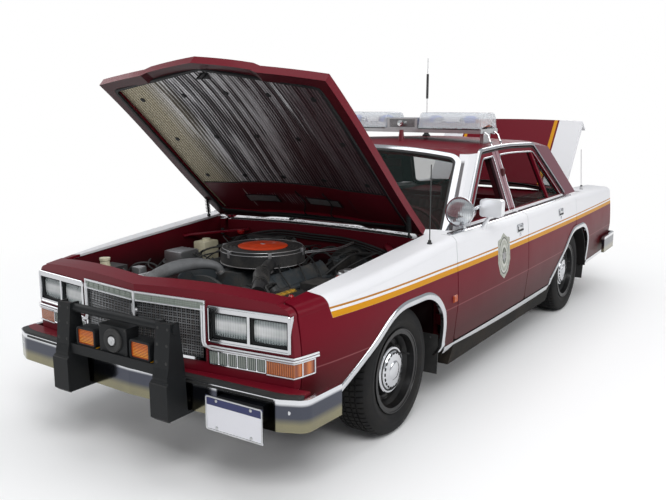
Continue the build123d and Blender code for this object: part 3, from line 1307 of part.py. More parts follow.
def make_outside_fittings():
    x, station, z = SPOTLIGHT
    base = rod((x - 4, st(station + 30), z - 125), (x - 4, st(station + 30), z - 40), 14)
    aim = Plane((x, st(station), z), x_dir=(1, 0, 0), z_dir=(0, -1, 0.1))
    bowl = aim * Pos(0, 0, -30) * Cone(40, 84, 150)
    save("spotlight", carved(fuse(base, bowl), "roof", "firewall", "door_front_left"))
    mirror_head = block(MIRROR_X, (st(MIRROR_STATIONS[0]), st(MIRROR_STATIONS[1])), MIRROR_Z)
    mirror_head = fillet(mirror_head.edges().filter_by(Axis.Y), 18)
    stem = rod((890, st(960), 912), (938, st(962), 1012), 11)
    for side, turn in (("left", lambda shape: shape), ("right", mirrored)):
        save(f"mirror_{side}", carved(turn(fuse(mirror_head, stem)), f"door_front_{side}"))
    whip_y = st(2000)
    whip = rod((0, whip_y, 1405), (0, whip_y, 1990), MAST_RADIUS)
    foot = rod((0, whip_y, 1400), (0, whip_y, 1440), 18)
    coil = rod((0, whip_y, 1697), (0, whip_y, 1875), 9)
    fender_mast = rod((850, st(350), 905), (815, st(420), 1340), MAST_RADIUS)
    fender_foot = rod((850, st(350), 890), (850, st(350), 935), MAST_FOOT_RADIUS)
    post = Pos(60, st(1490), 1435) * Cone(24, 14, 90)
    rear_y = st(WHEELBASE + 678)
    rear_mast = rod((760, rear_y, 930), (760, st(WHEELBASE + 604), 1275), MAST_RADIUS)
    rear_foot = rod((760, rear_y, 915), (760, rear_y, 950), MAST_FOOT_RADIUS)
    save("antennas", carved(fuse(whip, foot, coil), "roof"), carved(fender_mast + fender_foot, "fenders"),
         carved(rear_mast + rear_foot, "quarters"), carved(post, "roof"))


def main():
    make_doors()
    make_fenders()
    make_quarters()
    make_roof()
    make_fixed_glass()
    make_hood()
    make_trunk_lid()
    make_header()
    make_grille()
    make_headlamps()
    make_marker_lamps()
    make_bumpers()
    make_push_bumper()
    make_plates()
    make_front_frame()
    make_radiator()
    make_engine()
    make_bay_fittings()
    make_firewall()
    make_floor()
    make_trunk_pan()
    make_tail()
    make_wheels()
    make_knuckles()
    make_front_suspension()
    make_rear_axle()
    make_underside()
    make_interior()
    make_light_bar()
    make_outside_fittings()
    os.makedirs("parts", exist_ok=True)
    for name, solids in NODES.items():
        export_step(Compound(solids), f"parts/{name}.step")
        print(name, len(solids))


main()
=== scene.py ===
"""Patrol sedan: paint, trim, glass, cabin and engine bay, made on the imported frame."""
import json
from itertools import product
from math import atan, atan2, cos, exp, hypot, log, pi, radians, sin, sqrt, tan

import bmesh
import bpy
from bpy.props import FloatProperty, FloatVectorProperty, IntProperty, PointerProperty
from bpy.types import Operator, Panel, PropertyGroup
from mathutils import Matrix, Vector
from mathutils.bvhtree import BVHTree

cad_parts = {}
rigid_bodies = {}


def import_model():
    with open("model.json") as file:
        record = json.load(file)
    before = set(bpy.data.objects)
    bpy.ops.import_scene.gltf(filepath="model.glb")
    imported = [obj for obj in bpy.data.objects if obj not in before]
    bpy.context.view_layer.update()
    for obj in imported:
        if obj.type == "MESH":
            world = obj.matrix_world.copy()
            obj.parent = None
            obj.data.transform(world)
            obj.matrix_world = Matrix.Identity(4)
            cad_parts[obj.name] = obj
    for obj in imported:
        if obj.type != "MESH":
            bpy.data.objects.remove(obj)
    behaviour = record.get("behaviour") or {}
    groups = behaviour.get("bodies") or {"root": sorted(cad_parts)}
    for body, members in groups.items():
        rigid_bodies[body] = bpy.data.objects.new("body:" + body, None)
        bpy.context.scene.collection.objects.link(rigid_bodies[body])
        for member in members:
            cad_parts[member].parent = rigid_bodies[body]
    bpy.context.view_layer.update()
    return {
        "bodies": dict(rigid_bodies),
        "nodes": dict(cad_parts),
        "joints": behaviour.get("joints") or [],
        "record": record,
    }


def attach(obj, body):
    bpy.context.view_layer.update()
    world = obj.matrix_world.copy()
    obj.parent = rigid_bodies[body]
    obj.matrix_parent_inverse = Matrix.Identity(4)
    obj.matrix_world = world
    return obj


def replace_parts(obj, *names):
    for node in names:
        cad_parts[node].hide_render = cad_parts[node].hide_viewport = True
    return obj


bl_info = {
    "name": "Patrol Sedan Dresser",
    "version": (1, 0, 0),
    "blender": (4, 5, 0),
    "location": "View3D > Sidebar > Patrol Sedan",
    "description": "Dresses the packed patrol sedan with paint, trim, glass, cabin and engine bay detail",
    "category": "Object",
}

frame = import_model()
SIDES = ((1, "left"), (-1, "right"))
BOTH = (1, -1)
FRONT_AXLE_Y = -1.565
REAR_AXLE_Y = 1.295
WHEELBASE = 2.86
AXLE_Z = 0.33
WHEEL_X = 0.759
SEAT_X = 0.36
LIGHT_BAR_STATION = 1.75
BELT_TOP = 0.945
GLASS_LEAN = 0.36
NOSE_RISE = 0.122
CREST_PLACE = (1.238, 0.728)


# Body shape

def st(station):
    """Y of a place measured rearwards from the front axle."""
    return FRONT_AXLE_Y + station


def half_width(station):
    """Half of the body's greatest width at a station."""
    width = 0.942 - (station - 1.65) ** 2 / 120
    if station < -0.15:
        width -= (-0.15 - station) ** 2 / 7.2
    return width


def belt_z(station):
    """Height of the top of the body side at a station."""
    if station < 0.56:
        return 0.834 + 0.111 * (station + 0.83) / 1.39
    if station > WHEELBASE:
        return BELT_TOP - 0.043 * (station - WHEELBASE) / 1.25
    return BELT_TOP


def circle_x(z, a, b, c):
    """X on the outer side of the circle through three (x, z) points."""
    d = 2 * (a[0] * (b[1] - c[1]) + b[0] * (c[1] - a[1]) + c[0] * (a[1] - b[1]))
    sums = [p[0] ** 2 + p[1] ** 2 for p in (a, b, c)]
    x = (sums[0] * (b[1] - c[1]) + sums[1] * (c[1] - a[1]) + sums[2] * (a[1] - b[1])) / d
    h = (sums[0] * (c[0] - b[0]) + sums[1] * (a[0] - c[0]) + sums[2] * (b[0] - a[0])) / d
    r = hypot(a[0] - x, a[1] - h)
    return x + sqrt(max(r * r - (z - h) ** 2, 0))


def skin_x(station, z):
    """Outer surface of the left body side."""
    w, top = half_width(station), belt_z(station)
    if z <= 0.345:
        return w - 0.06 + 0.038 * max(z - 0.3, 0) / 0.045
    if z <= 0.558:
        return w - 0.022 + 0.022 * (z - 0.345) / 0.213
    shoulder = (w - 0.02, top - 0.052)
    if z <= shoulder[1]:
        return circle_x(z, (w, 0.558), (w - 0.007, (0.558 + top) / 2), shoulder)
    return circle_x(min(z, top), shoulder, (w - 0.033, top - 0.014), (w - 0.064, top))


def glass_x(z):
    """Outer face of the left side windows at a height."""
    return 0.815 - GLASS_LEAN * (z - BELT_TOP)


def nose_y(x):
    """Y of the V-shaped nose at a distance from the centreline."""
    return st(-0.93) + NOSE_RISE * abs(x)


def rounded(points, radii, steps=6, closed=True):
    """Corners of an outline, each replaced by an arc."""
    out, count = [], len(points)
    for i, (corner, radius) in enumerate(zip(points, radii)):
        here = Vector(corner)
        if radius <= 0 or (not closed and i in (0, count - 1)):
            out.append(here)
            continue
        a = (Vector(points[i - 1]) - here).normalized()
        b = (Vector(points[(i + 1) % count]) - here).normalized()
        half = a.angle(b) / 2
        reach = radius / tan(half)
        centre = here + (a + b).normalized() * (radius / sin(half))
        start, end = here + a * reach - centre, here + b * reach - centre
        turn = start.angle(end)
        for k in range(steps + 1):
            t = k / steps
            out.append(centre + (start * sin((1 - t) * turn) + end * sin(t * turn)) / sin(turn))
    return out


def grown(points, by, closed=True):
    """A 2-D outline moved sideways: to its left for positive values."""
    out, count = [], len(points)
    for i, p in enumerate(points):
        before = points[i - 1] if closed or i > 0 else p
        after = points[(i + 1) % count] if closed or i < count - 1 else p
        d1 = (p - before).normalized() if (p - before).length > 1e-9 else (after - p).normalized()
        d2 = (after - p).normalized() if (after - p).length > 1e-9 else d1
        normal = Vector((-d1.y - d2.y, d1.x + d2.x)).normalized()
        out.append(p + normal * by / max(normal.dot(Vector((-d1.y, d1.x))), 0.4))
    return out


# Finishes

class Signal:
    """A shader value; Python operators on it add the nodes that work it out."""

    def __init__(self, finish, socket):
        self.finish = finish
        self.socket = socket

    def math(self, operation, *values, **settings):
        return self.finish.add("ShaderNodeMath", {"operation": operation, **settings}, dict(enumerate(values)))

    def __add__(self, other):
        return self.math("ADD", self, other)

    def __sub__(self, other):
        return self.math("SUBTRACT", self, other)

    def __rsub__(self, other):
        return self.math("SUBTRACT", other, self)

    def __mul__(self, other):
        return self.math("MULTIPLY", self, other)

    def __truediv__(self, other):
        return self.math("DIVIDE", self, other)

    def __pow__(self, other):
        return self.math("POWER", self, other)

    def __abs__(self):
        return self.math("ABSOLUTE", self)

    def __lt__(self, other):
        return self.math("LESS_THAN", self, other)

    __radd__ = __add__
    __rmul__ = __mul__

    def clamp(self):
        return self.math("ADD", self, 0, use_clamp=True)

    def above(self, level, soft=0.0008):
        """1 above the level and 0 below it, with a soft edge."""
        return self.math("ADD", (self - level) / soft, 0.5, use_clamp=True)

    def between(self, low, high, soft=0.0008):
        """1 between the two levels and 0 outside them."""
        return self.above(low, soft) * (1 - self.above(high, soft))

    def sine(self, period):
        """Wave from 0 to 1 with this period in metres."""
        return self.math("SINE", self * (2 * pi / period)) * 0.5 + 0.5


FINISHES = {}
SOCKETS = {"normal": "Normal", "alpha": "Alpha", "shine": "Specular IOR Level", "coat": "Coat Weight",
           "coat_roughness": "Coat Roughness"}


class Finish:
    """A named material or world built from nodes, in the car's own coordinates."""

    def __init__(self, key, name, kind="materials"):
        self.made = getattr(bpy.data, kind).new(name)
        self.made.use_nodes = True
        self.tree = self.made.node_tree
        self.tree.nodes.clear()
        if kind == "materials":
            FINISHES[key] = self.made
            self.place = self.add("ShaderNodeTexCoord", output="Object")

    def add(self, kind, settings=None, inputs=None, output=0):
        """A node of this type, with its settings made first and then its sockets."""
        node = self.tree.nodes.new(kind)
        for name, value in (settings or {}).items():
            setattr(node, name, value)
        for name, value in (inputs or {}).items():
            if isinstance(value, Signal):
                self.tree.links.new(value.socket, node.inputs[name])
            else:
                node.inputs[name].default_value = value
        return Signal(self, node.outputs[output]) if node.outputs else None

    def xyz(self):
        split = self.add("ShaderNodeSeparateXYZ", inputs={0: self.place})
        return [Signal(self, socket) for socket in split.socket.node.outputs]

    def up(self):
        """How far the surface faces up, from -1 to 1."""
        normal = self.add("ShaderNodeNewGeometry", output="Normal")
        return self.add("ShaderNodeSeparateXYZ", inputs={0: normal}, output=2)

    def noise(self, scale, detail=3, rough=0.55, stretch=None):
        vector = self.place
        if stretch:
            vector = self.add("ShaderNodeVectorMath", {"operation": "MULTIPLY"}, {0: self.place, 1: stretch})
        inputs = {"Vector": vector, "Scale": scale, "Detail": detail, "Roughness": rough}
        return self.add("ShaderNodeTexNoise", inputs=inputs)

    def cells(self, scale):
        """Distance to the nearest of scattered points."""
        return self.add("ShaderNodeTexVoronoi", inputs={"Vector": self.place, "Scale": scale})

    def mix(self, share, first, second):
        """Colour between two colours."""
        first, second = [c if isinstance(c, Signal) else (*c[:3], 1) for c in (first, second)]
        return self.add("ShaderNodeMix", {"data_type": "RGBA"}, {0: share, 6: first, 7: second}, output=2)

    def bump(self, height, distance=0.001, strength=1):
        return self.add("ShaderNodeBump", inputs={"Height": height, "Distance": distance, "Strength": strength})

    def grain(self, scale, detail, distance, strength, rough=0.55):
        """Bump from noise, or from cells where there is no detail."""
        height = self.noise(scale, detail, rough) if detail else self.cells(scale)
        return self.bump(height, distance, strength)

    def shade(self, colour, roughness=0.5, metallic=0, **more):
        """Ends the material in one principled surface."""
        values = {"Base Color": colour if isinstance(colour, Signal) else (*colour, 1),
                  "Roughness": roughness, "Metallic": metallic}
        values.update({SOCKETS[name]: value for name, value in more.items()})
        self.add("ShaderNodeOutputMaterial", inputs={"Surface": self.add("ShaderNodeBsdfPrincipled", inputs=values)})


def times(colour, by):
    """A colour made darker or lighter."""
    return [c * by for c in colour]


def paint_maroon(made, colours):
    """Body colour with flakes, fading and dust low down."""
    _, _, z = made.xyz()
    tone = made.mix((made.noise(900, 1) - 0.35).clamp() * 0.35, colours.maroon, times(colours.maroon, 1.35))
    tone = made.mix(made.noise(2.2, 4) * 0.16, tone, times(colours.maroon, 0.6))
    dust = (1 - z.above(0.42, 0.35)) * (made.noise(9, 4) * 0.5 + 0.1)
    return made.mix(dust * 0.55, tone, colours.dust)


def paint(made, tone, roughness=0.3, shine=0.1):
    """Lacquered paint with a fine orange-peel surface."""
    made.shade(tone, roughness + made.noise(4) * 0.12, normal=made.grain(160, 1, 0.0002, 0.25),
               coat=shine * 0.4, coat_roughness=0.05, shine=shine)


# Near black, used for the underseal and, on the rocker below the sill, as painted shade.
DARK = (0.012, 0.011, 0.011)


def make_paints(colours):
    """Body paints with the stripes, the bay and pan paints, the grille and the mast."""
    made = Finish("bay", "engine_bay_paint")
    _, y, z = made.xyz()
    # Painted shade: low in the bay and ahead of the firewall the paint darkens to near black, broken up by noise.
    painted_bay_shade = (1 - z.above(0.8, 0.22)) * (1 - y.above(st(0.53), 0.01))
    bay_shade_blotched = (painted_bay_shade + made.noise(7, 4) * 0.3).clamp() * 0.93
    tone = made.mix(bay_shade_blotched, paint_maroon(made, colours), (0.012, 0.006, 0.006))
    cowl_top = z.above(0.893, 0.003) * y.above(st(0.5), 0.01) * made.up().above(0.5, 0.2)
    paint(made, made.mix(cowl_top, tone, colours.white), 0.45)

    made = Finish("pan", "trunk_pan_paint")
    x, _, _ = made.xyz()
    paint(made, made.mix(abs(x).above(0.615, 0.004), paint_maroon(made, colours), DARK), 0.5)
    made = Finish("maroon", "maroon_paint")
    paint(made, paint_maroon(made, colours), 0.3, 0.16)
    made = Finish("hood", "hood_paint")
    # Painted shade: faces of the hood that point down are darkened almost to black.
    underside_shade = 1 - made.up().above(-0.35, 0.3)
    paint(made, made.mix(underside_shade * 0.8, paint_maroon(made, colours), (0.016, 0.003, 0.005)), 0.3, 0.16)
    made = Finish("inner", "shaded_inner_paint")
    paint(made, made.mix(0.5, paint_maroon(made, colours), (0.02, 0.003, 0.005)), 0.4, 0.2)

    made = Finish("roof", "roof_paint")
    x, y, z = made.xyz()
    # Painted reflection: a pale mauve sheen on the rear roof sides and the rear pillars.
    pillar_reflection = (y.above(st(2.35), 0.5) * abs(x).above(0.52, 0.2)) * 0.75
    tone = made.mix(pillar_reflection, paint_maroon(made, colours), (0.17, 0.085, 0.105))
    ahead = 1 - (y - st(0.842) - (z - 0.915) * 1.352).above(0.004, 0.002)
    leaning = abs(x) + (z - BELT_TOP) * GLASS_LEAN
    pillar = ahead * leaning.above(0.758, 0.003) * (1 - z.above(1.345, 0.004))
    tone = made.mix(pillar, tone, (0.74, 0.74, 0.76))
    # Painted shade: below z 1.3 the cabin side of the pillars is darkened almost to black.
    inside = (1 - leaning.above(0.795, 0.003)) * (1 - z.above(1.3, 0.02)) * 0.85
    paint(made, made.mix(inside, tone, (0.012, 0.004, 0.005)), 0.4, 0.16)

    made = Finish("two_tone", "two_tone_paint")
    x, y, z = made.xyz()
    maroon = paint_maroon(made, colours)
    # Painted highlight: a thin lighter line along the crease at z 0.56.
    maroon = made.mix(z.between(0.556, 0.5615, 0.002) * 0.5, maroon, (0.45, 0.16, 0.17))
    # Painted shade: the body side darkens towards the bottom.
    maroon = made.mix((1 - z.above(0.56, 0.3)) * 0.8, maroon, (0.035, 0.006, 0.006))
    white = made.mix(made.noise(5, 5) * 0.22, colours.white, times(colours.white, 0.86))
    behind_facet = ((y - st(-0.6)) + (z - 0.76) * 0.28).above(0, 0.003)
    tone = made.mix(z.above(colours.stripe_low) * behind_facet, maroon, white)
    tone = made.mix(z.between(colours.stripe_low, colours.stripe_high) * behind_facet, tone, colours.gold)
    tone = made.mix(z.between(colours.line_low, colours.line_low + 0.009) * behind_facet, tone, colours.line)
    # Painted shade: above the belt, the cabin side of the door frames is darkened almost to black.
    inner = 1 - (abs(x) + (z - BELT_TOP) * GLASS_LEAN).above(0.796, 0.003)
    post = y.between(st(1.63), st(1.742), 0.002) * z.above(0.97, 0.01)
    maroon = made.mix(post * 0.7, maroon, (0.36, 0.25, 0.28))
    tone = made.mix(z.above(0.958, 0.002), tone, made.mix(inner * 0.9, maroon, (0.012, 0.003, 0.004)))
    s = y - st(0)
    taper = (s * -1 - 0.15).clamp()
    width = 0.942 - (s - 1.65) * (s - 1.65) / 120 - taper * taper / 7.2
    hidden = (1 - (abs(x) - width).above(-0.078, 0.004)) * (1 - z.above(0.76, 0.004))
    # The hidden inner faces low down take the dark underseal. The rocker below z 0.342 is painted dark as painted
    # shade under the sill.
    paint(made, made.mix((hidden + (1 - z.above(0.342, 0.002))).clamp(), tone, DARK), 0.3, 0.07)

    made = Finish("lid", "trunk_lid_paint")
    x, _, _ = made.xyz()
    tone = made.mix(abs(x).between(0.405, 0.435), paint_maroon(made, colours), colours.gold)
    paint(made, made.mix(abs(x).above(0.45), tone, times(colours.white, 0.95)))

    made = Finish("grille", "grille_bright_with_painted_shade")
    x, y, _ = made.xyz()
    depth = y - (nose_y(0) + abs(x) * NOSE_RISE)
    # Painted shade: the bars turn grey, then near black, the further they lie behind the nose's face. Only the front
    # edges stay bright.
    tone = made.mix(depth.above(0.0005, 0.001), (0.7, 0.71, 0.73), (0.3, 0.31, 0.32))
    tone = made.mix(depth.above(0.007, 0.006), tone, (0.03, 0.03, 0.032))
    made.shade(tone, 0.12 + depth.above(0, 0.002) * 0.3, 1 - depth.above(0.006, 0.006) * 0.9)

    made = Finish("mast", "mast_steel_and_paint")
    x, _, z = made.xyz()
    post = x.between(0.02, 0.1, 0.002) * z.above(1.2, 0.01)
    foot = (1 - z.above(1.441, 0.002)) * (1 - abs(x).above(0.02, 0.001))
    dark = z.between(1.695, 1.877, 0.002) + foot + x.above(0.79, 0.002)
    tone = made.mix(dark.clamp(), (0.62, 0.62, 0.63), (0.02, 0.02, 0.02))
    made.shade(made.mix(post, tone, paint_maroon(made, colours)), 0.3, (1 - post) * (1 - dark.clamp()) * 0.9,
               normal=made.bump(z.sine(0.004) * dark, 0.001, 0.4))


def make_worn(key, name, colour, dirt, amount, scale, roughness, metallic, grain, more):
    """A finish with soft dirt in broad patches and a fine mottle."""
    made = Finish(key, name)
    broad, fine = made.noise(scale, 5, 0.6), made.noise(scale * 14, 2, 0.5)
    share = ((broad - 0.45) * 2.2 + (fine - 0.5) * 0.6).clamp() * amount
    made.shade(made.mix(share, colour, dirt), roughness[0] + share * roughness[1] if roughness[1] else roughness[0],
               metallic - share * 0.5 if key == "steel" else metallic, normal=made.grain(*grain), **more)


def worn_finishes(vinyl):
    """Rows of key, name, colour, dirt, its share and patch scale, roughness, metallic, grain and other sockets."""
    return (
        ("black", "black_satin_enamel", (0.008, 0.009, 0.01), (0.04, 0.038, 0.034), 0.4, 4, (0.5, 0.3), 0,
         (240, 2, 0.0003, 0.4), {"shine": 0.22}),
        ("bay_black", "bay_black_enamel", (0.018, 0.018, 0.019), (0.11, 0.1, 0.085), 0.8, 7, (0.5, 0.35), 0,
         (140, 3, 0.0006, 0.5), {}),
        ("steel", "bare_grey_steel", (0.36, 0.36, 0.37), (0.16, 0.1, 0.06), 0.7, 8, (0.42, 0.3), 0.85,
         (200, 2, 0.0004, 0.4), {}),
        ("cast", "cast_engine_metal", (0.045, 0.055, 0.062), (0.13, 0.11, 0.09), 0.9, 9, (0.55, 0.25), 0.25,
         (180, 4, 0.0012, 0.7, 0.7), {}),
        ("aluminium", "raw_aluminium", (0.58, 0.59, 0.6), (0.3, 0.29, 0.27), 0.5, 9, (0.34, 0.2), 0.9,
         (300, 2, 0.0003, 0.3), {}),
        ("grey", "grey_coolant_rubber", (0.14, 0.145, 0.15), (0.05, 0.045, 0.04), 0.8, 16, (0.5, 0.3), 0,
         (220, 3, 0.0006, 0.5), {}),
        ("underside", "underside_black", (0.012, 0.011, 0.01), (0.05, 0.036, 0.025), 0.8, 3, (0.85, 0), 0,
         (90, 4, 0.002, 0.6), {"shine": 0.2}),
        ("wheel_black", "black_wheel_enamel", (0.005, 0.005, 0.0055), (0.03, 0.025, 0.02), 0.4, 9, (0.3, 0.3), 0,
         (90, 1, 0.0003, 0.3), {"coat": 0.12, "coat_roughness": 0.08, "shine": 0.25}),
        ("tyre", "tyre_rubber", (0.006, 0.006, 0.0065), (0.03, 0.027, 0.022), 0.7, 6, (0.72, 0.15), 0,
         (420, 3, 0.0005, 0.4), {"shine": 0.25}),
        ("rubber", "black_rubber", (0.014, 0.014, 0.014), (0.05, 0.048, 0.045), 0.6, 12, (0.62, 0.2), 0,
         (500, 2, 0.0003, 0.4), {}),
        ("vinyl", "maroon_vinyl", vinyl, times(vinyl, 0.45), 0.6, 6, (0.5, 0.2), 0,
         (420, 0, 0.0002, 0.1), {"shine": 0.2}),
        ("plastic", "maroon_trim_plastic", times(vinyl, 0.6), (0.02, 0.012, 0.013), 0.5, 8, (0.6, 0), 0,
         (650, 0, 0.0002, 0.1), {"shine": 0.2}),
        ("orange", "orange_lid_paint", (0.62, 0.055, 0.012), (0.2, 0.04, 0.02), 0.5, 14, (0.32, 0.3), 0,
         (150, 2, 0.0003, 0.3), {"coat": 0.3}),
        ("pale", "yellowed_plastic", (0.66, 0.62, 0.45), (0.3, 0.25, 0.12), 0.6, 11, (0.4, 0), 0,
         (120, 2, 0.0004, 0.3), {}),
    )


def make_metals():
    """Chrome, bright trim, the bumpers with painted reflection bands, the crest and the gold."""
    made = Finish("chrome", "bright_chrome")
    smear = made.noise(11, 4)
    made.shade(made.mix(smear * 0.5, (0.66, 0.67, 0.69), (0.42, 0.43, 0.46)), 0.07 + smear * 0.1, 1,
               normal=made.grain(35, 2, 0.0002, 0.15))
    made = Finish("bright", "bright_trim_line")
    smear = made.noise(14, 3)
    made.shade(made.mix(smear * 0.4, (0.82, 0.83, 0.85), (0.6, 0.61, 0.63)), 0.24 + smear * 0.1, 0.45,
               normal=made.grain(40, 2, 0.0002, 0.15))
    made = Finish("bumper", "bumper_chrome_painted_reflections")
    _, _, z = made.xyz()
    smear = made.noise(7, 4)
    tone = made.mix(smear * 0.5, (0.75, 0.76, 0.78), (0.55, 0.56, 0.6))
    # Painted reflections: a dark blue-grey band below z 0.462 and an olive-beige band low on the face, over the
    # smeared chrome.
    tone = made.mix(1 - z.above(0.462, 0.012), tone, (0.075, 0.08, 0.1))
    tone = made.mix((1 - z.above(0.392, 0.03)) * (0.6 + smear * 0.5).clamp(), tone, (0.26, 0.24, 0.15))
    made.shade(tone, 0.09 + smear * 0.1, 1, normal=made.grain(30, 2, 0.0003, 0.2))

    made = Finish("crest", "crest_silver")
    _, y, z = made.xyz()
    across, up = (y - st(CREST_PLACE[0])) / 0.1, (z - CREST_PLACE[1]) / 0.145
    away = (across * across + up * up) ** 0.5
    leaf = made.noise(45, 4, 0.7)
    tone = made.mix(((leaf - 0.45) * 4).clamp(), (0.45, 0.46, 0.4), (0.13, 0.14, 0.1))
    tone = made.mix(1 - away.above(0.42, 0.03), tone, (0.07, 0.085, 0.05))
    rings = away.between(0.36, 0.48, 0.02) + away.between(0.66, 0.74, 0.02)
    tone = made.mix(rings, tone, (0.62, 0.62, 0.58))
    tone = made.mix(away.between(0.74, 0.8, 0.02), tone, (0.03, 0.03, 0.03))
    made.shade(made.mix(0.25, tone, (0.16, 0.17, 0.14)), 0.4, 0.2, normal=made.bump(leaf, 0.0008, 0.5))
    made = Finish("gold", "badge_gold")
    tone = made.mix(made.noise(60, 3), (0.78, 0.52, 0.1), (0.5, 0.3, 0.05))
    made.shade(tone, 0.3, 0.6, normal=made.grain(200, 2, 0.0003, 0.3))


def make_soft_finishes(vinyl):
    """Carpet, mat, foil with painted light and shade, plate enamel and the dial."""
    made = Finish("carpet", "maroon_carpet")
    tuft = made.noise(700, 3, 0.8)
    made.shade(made.mix(tuft, times(vinyl, 0.25), times(vinyl, 0.8)), 0.95, normal=made.bump(tuft, 0.002, 0.9))
    made = Finish("mat", "boot_mat")
    tuft = made.noise(500, 3, 0.8)
    made.shade(made.mix(tuft, (0.05, 0.05, 0.052), (0.14, 0.14, 0.14)), 0.95, normal=made.bump(tuft, 0.002, 0.8))

    made = Finish("foil", "ribbed_foil")
    x, y, _ = made.xyz()
    rib = x.sine(0.0189)
    crumple = made.noise(16, 5, 0.65, (1, 0.25, 0.25))
    # Painted light on the foil: a broad painted shade across it in dark maroon, a painted highlight streak, and
    # painted highlights along ribs, creases and bands.
    shade_share = (x + (y + 1.7) * 0.55 + (crumple - 0.5) * 0.5).above(0.02, 0.75)
    highlight_streak = (x - y * 0.1).between(0.53, 0.59, 0.04) * (crumple + 0.1).clamp() * (1 - (y + 1.7).above(0, 0.5))
    highlight_bands = made.noise(1, 3, 0.6, (26, 1.6, 1.6))
    lit = (rib * 0.9 + crumple * 0.7 + (highlight_bands - 0.52) * 5 - 0.2).clamp()
    tone = made.mix(lit, (0.05, 0.048, 0.05), (0.84, 0.84, 0.86))
    # Beyond x -0.4 the foil is yellow-brown, lighter and darker along each rib as painted light.
    tone = made.mix(x.above(-0.4, 0.2), made.mix(rib, (0.3, 0.26, 0.17), (0.6, 0.56, 0.44)), tone)
    shaded = made.mix(rib, (0.014, 0.005, 0.007), (0.06, 0.022, 0.028))
    tone = made.mix((shade_share - highlight_streak).clamp() * 0.95, tone, shaded)
    made.shade(tone, 0.5, 0.15, normal=made.bump(crumple, 0.003, 0.8), shine=0.3)

    made = Finish("plate", "plate_enamel")
    _, y, z = made.xyz()
    ahead = 1 - y.above(0, 0.01)
    tone = made.mix(z.above(0.412, 0.001) * ahead, (0.72, 0.72, 0.76), (0.014, 0.02, 0.1))
    tone = made.mix(z.above(0.672, 0.001) * (1 - ahead), tone, (0.014, 0.02, 0.1))
    tone = made.mix(y.above(st(-0.9975), 0.0006) * ahead, tone, (0.012, 0.012, 0.013))
    made.shade(tone, 0.4, normal=made.grain(60, 2, 0.0008, 0.3))
    made = Finish("dial", "dial_face")
    tone = made.mix(made.cells(300) < 0.12, (0.012, 0.012, 0.013), (0.75, 0.75, 0.7))
    made.shade(tone, 0.4, normal=made.grain(80, 3, 0.0002, 0.2))


FACET = 0.009


def make_glass():
    """Window glass, lamp lenses, light bar domes and reflectors."""
    made = Finish("glass", "window_glass")
    made.shade((0.03, 0.045, 0.042), 0.02, alpha=0.2, shine=0)
    made = Finish("lens", "lamp_lens_glass")
    x, _, z = made.xyz()
    flutes = x.sine(0.0125) * 0.6 + z.sine(0.034) * 0.4
    # Painted reflection: a near-white band across the lenses.
    reflection_band = z.between(0.694, 0.742, 0.02) * (made.noise(9, 2) + 0.4).clamp()
    tone = made.mix(reflection_band, made.mix(flutes, (0.2, 0.24, 0.25), (0.45, 0.5, 0.5)), (0.97, 0.98, 0.98))
    made.shade(tone, 0.08, alpha=0.55, normal=made.bump(flutes, 0.004, 0.8), coat=0.6)
    made = Finish("marker", "lamp_row_lens")
    x, _, _ = made.xyz()
    flutes = abs(x).sine(0.0105)
    tone = made.mix(flutes, (0.07, 0.085, 0.075), (0.27, 0.3, 0.27))
    amber = made.mix(flutes, (0.2, 0.035, 0.003), (0.52, 0.14, 0.02))
    made.shade(made.mix(abs(x).above(0.692, 0.002), tone, amber), 0.14, normal=made.bump(flutes, 0.003, 0.7),
               coat=0.3, coat_roughness=0.04)

    made = Finish("orange_painted_highlight", "orange_lens_painted_highlight")
    x, _, z = made.xyz()
    facets = (x.sine(FACET) + z.sine(FACET)) * 0.5
    # Painted highlight: the upper part of the unlit lens is a brighter orange.
    tone = made.mix(z.above(0.598, 0.05), (0.95, 0.46, 0.012), (0.72, 0.19, 0.004))
    made.shade(made.mix(facets * 0.25, tone, (0.5, 0.1, 0.005)), 0.25, normal=made.bump(facets, 0.002, 0.3))
    for name, colour in (("amber", (0.42, 0.06, 0.004)), ("red", (0.42, 0.008, 0.01)), ("smoke", (0.3, 0.34, 0.3))):
        made = Finish(name, f"{name}_lens")
        x, _, z = made.xyz()
        facets = (x.sine(FACET) + z.sine(FACET)) * 0.5
        made.shade(made.mix(facets, times(colour, 0.6), colour), 0.16, normal=made.bump(facets, 0.002, 0.5),
                   coat=0.1, coat_roughness=0.05, shine=0.3)

    made = Finish("dome", "light_bar_dome")
    x, _, _ = made.xyz()
    flutes = x.sine(0.014)
    made.shade(made.mix(flutes * 0.3, (0.74, 0.78, 0.82), (0.95, 0.96, 0.97)), 0.06, alpha=0.36,
               normal=made.bump(flutes, 0.002, 0.4))
    made = Finish("blue", "blue_lens")
    facets = made.cells(160)
    made.shade(made.mix(facets, (0.02, 0.08, 0.5), (0.05, 0.2, 0.85)), 0.12, normal=made.bump(facets, 0.002, 0.6),
               coat=0.9)
    made = Finish("reflector", "silver_reflector")
    facets = made.cells(70)
    made.shade(made.mix(facets, (0.7, 0.73, 0.74), (0.9, 0.92, 0.92)), 0.1, 1, normal=made.bump(facets, 0.003, 0.4))
    made = Finish("spot", "spotlight_glass")
    x, _, z = made.xyz()
    flutes = x.sine(0.011) * 0.5 + z.sine(0.03) * 0.5
    made.shade(made.mix(flutes, (0.5, 0.53, 0.55), (0.7, 0.73, 0.75)), 0.12, 0.85,
               normal=made.bump(flutes, 0.001, 0.3))


# Mesh maker


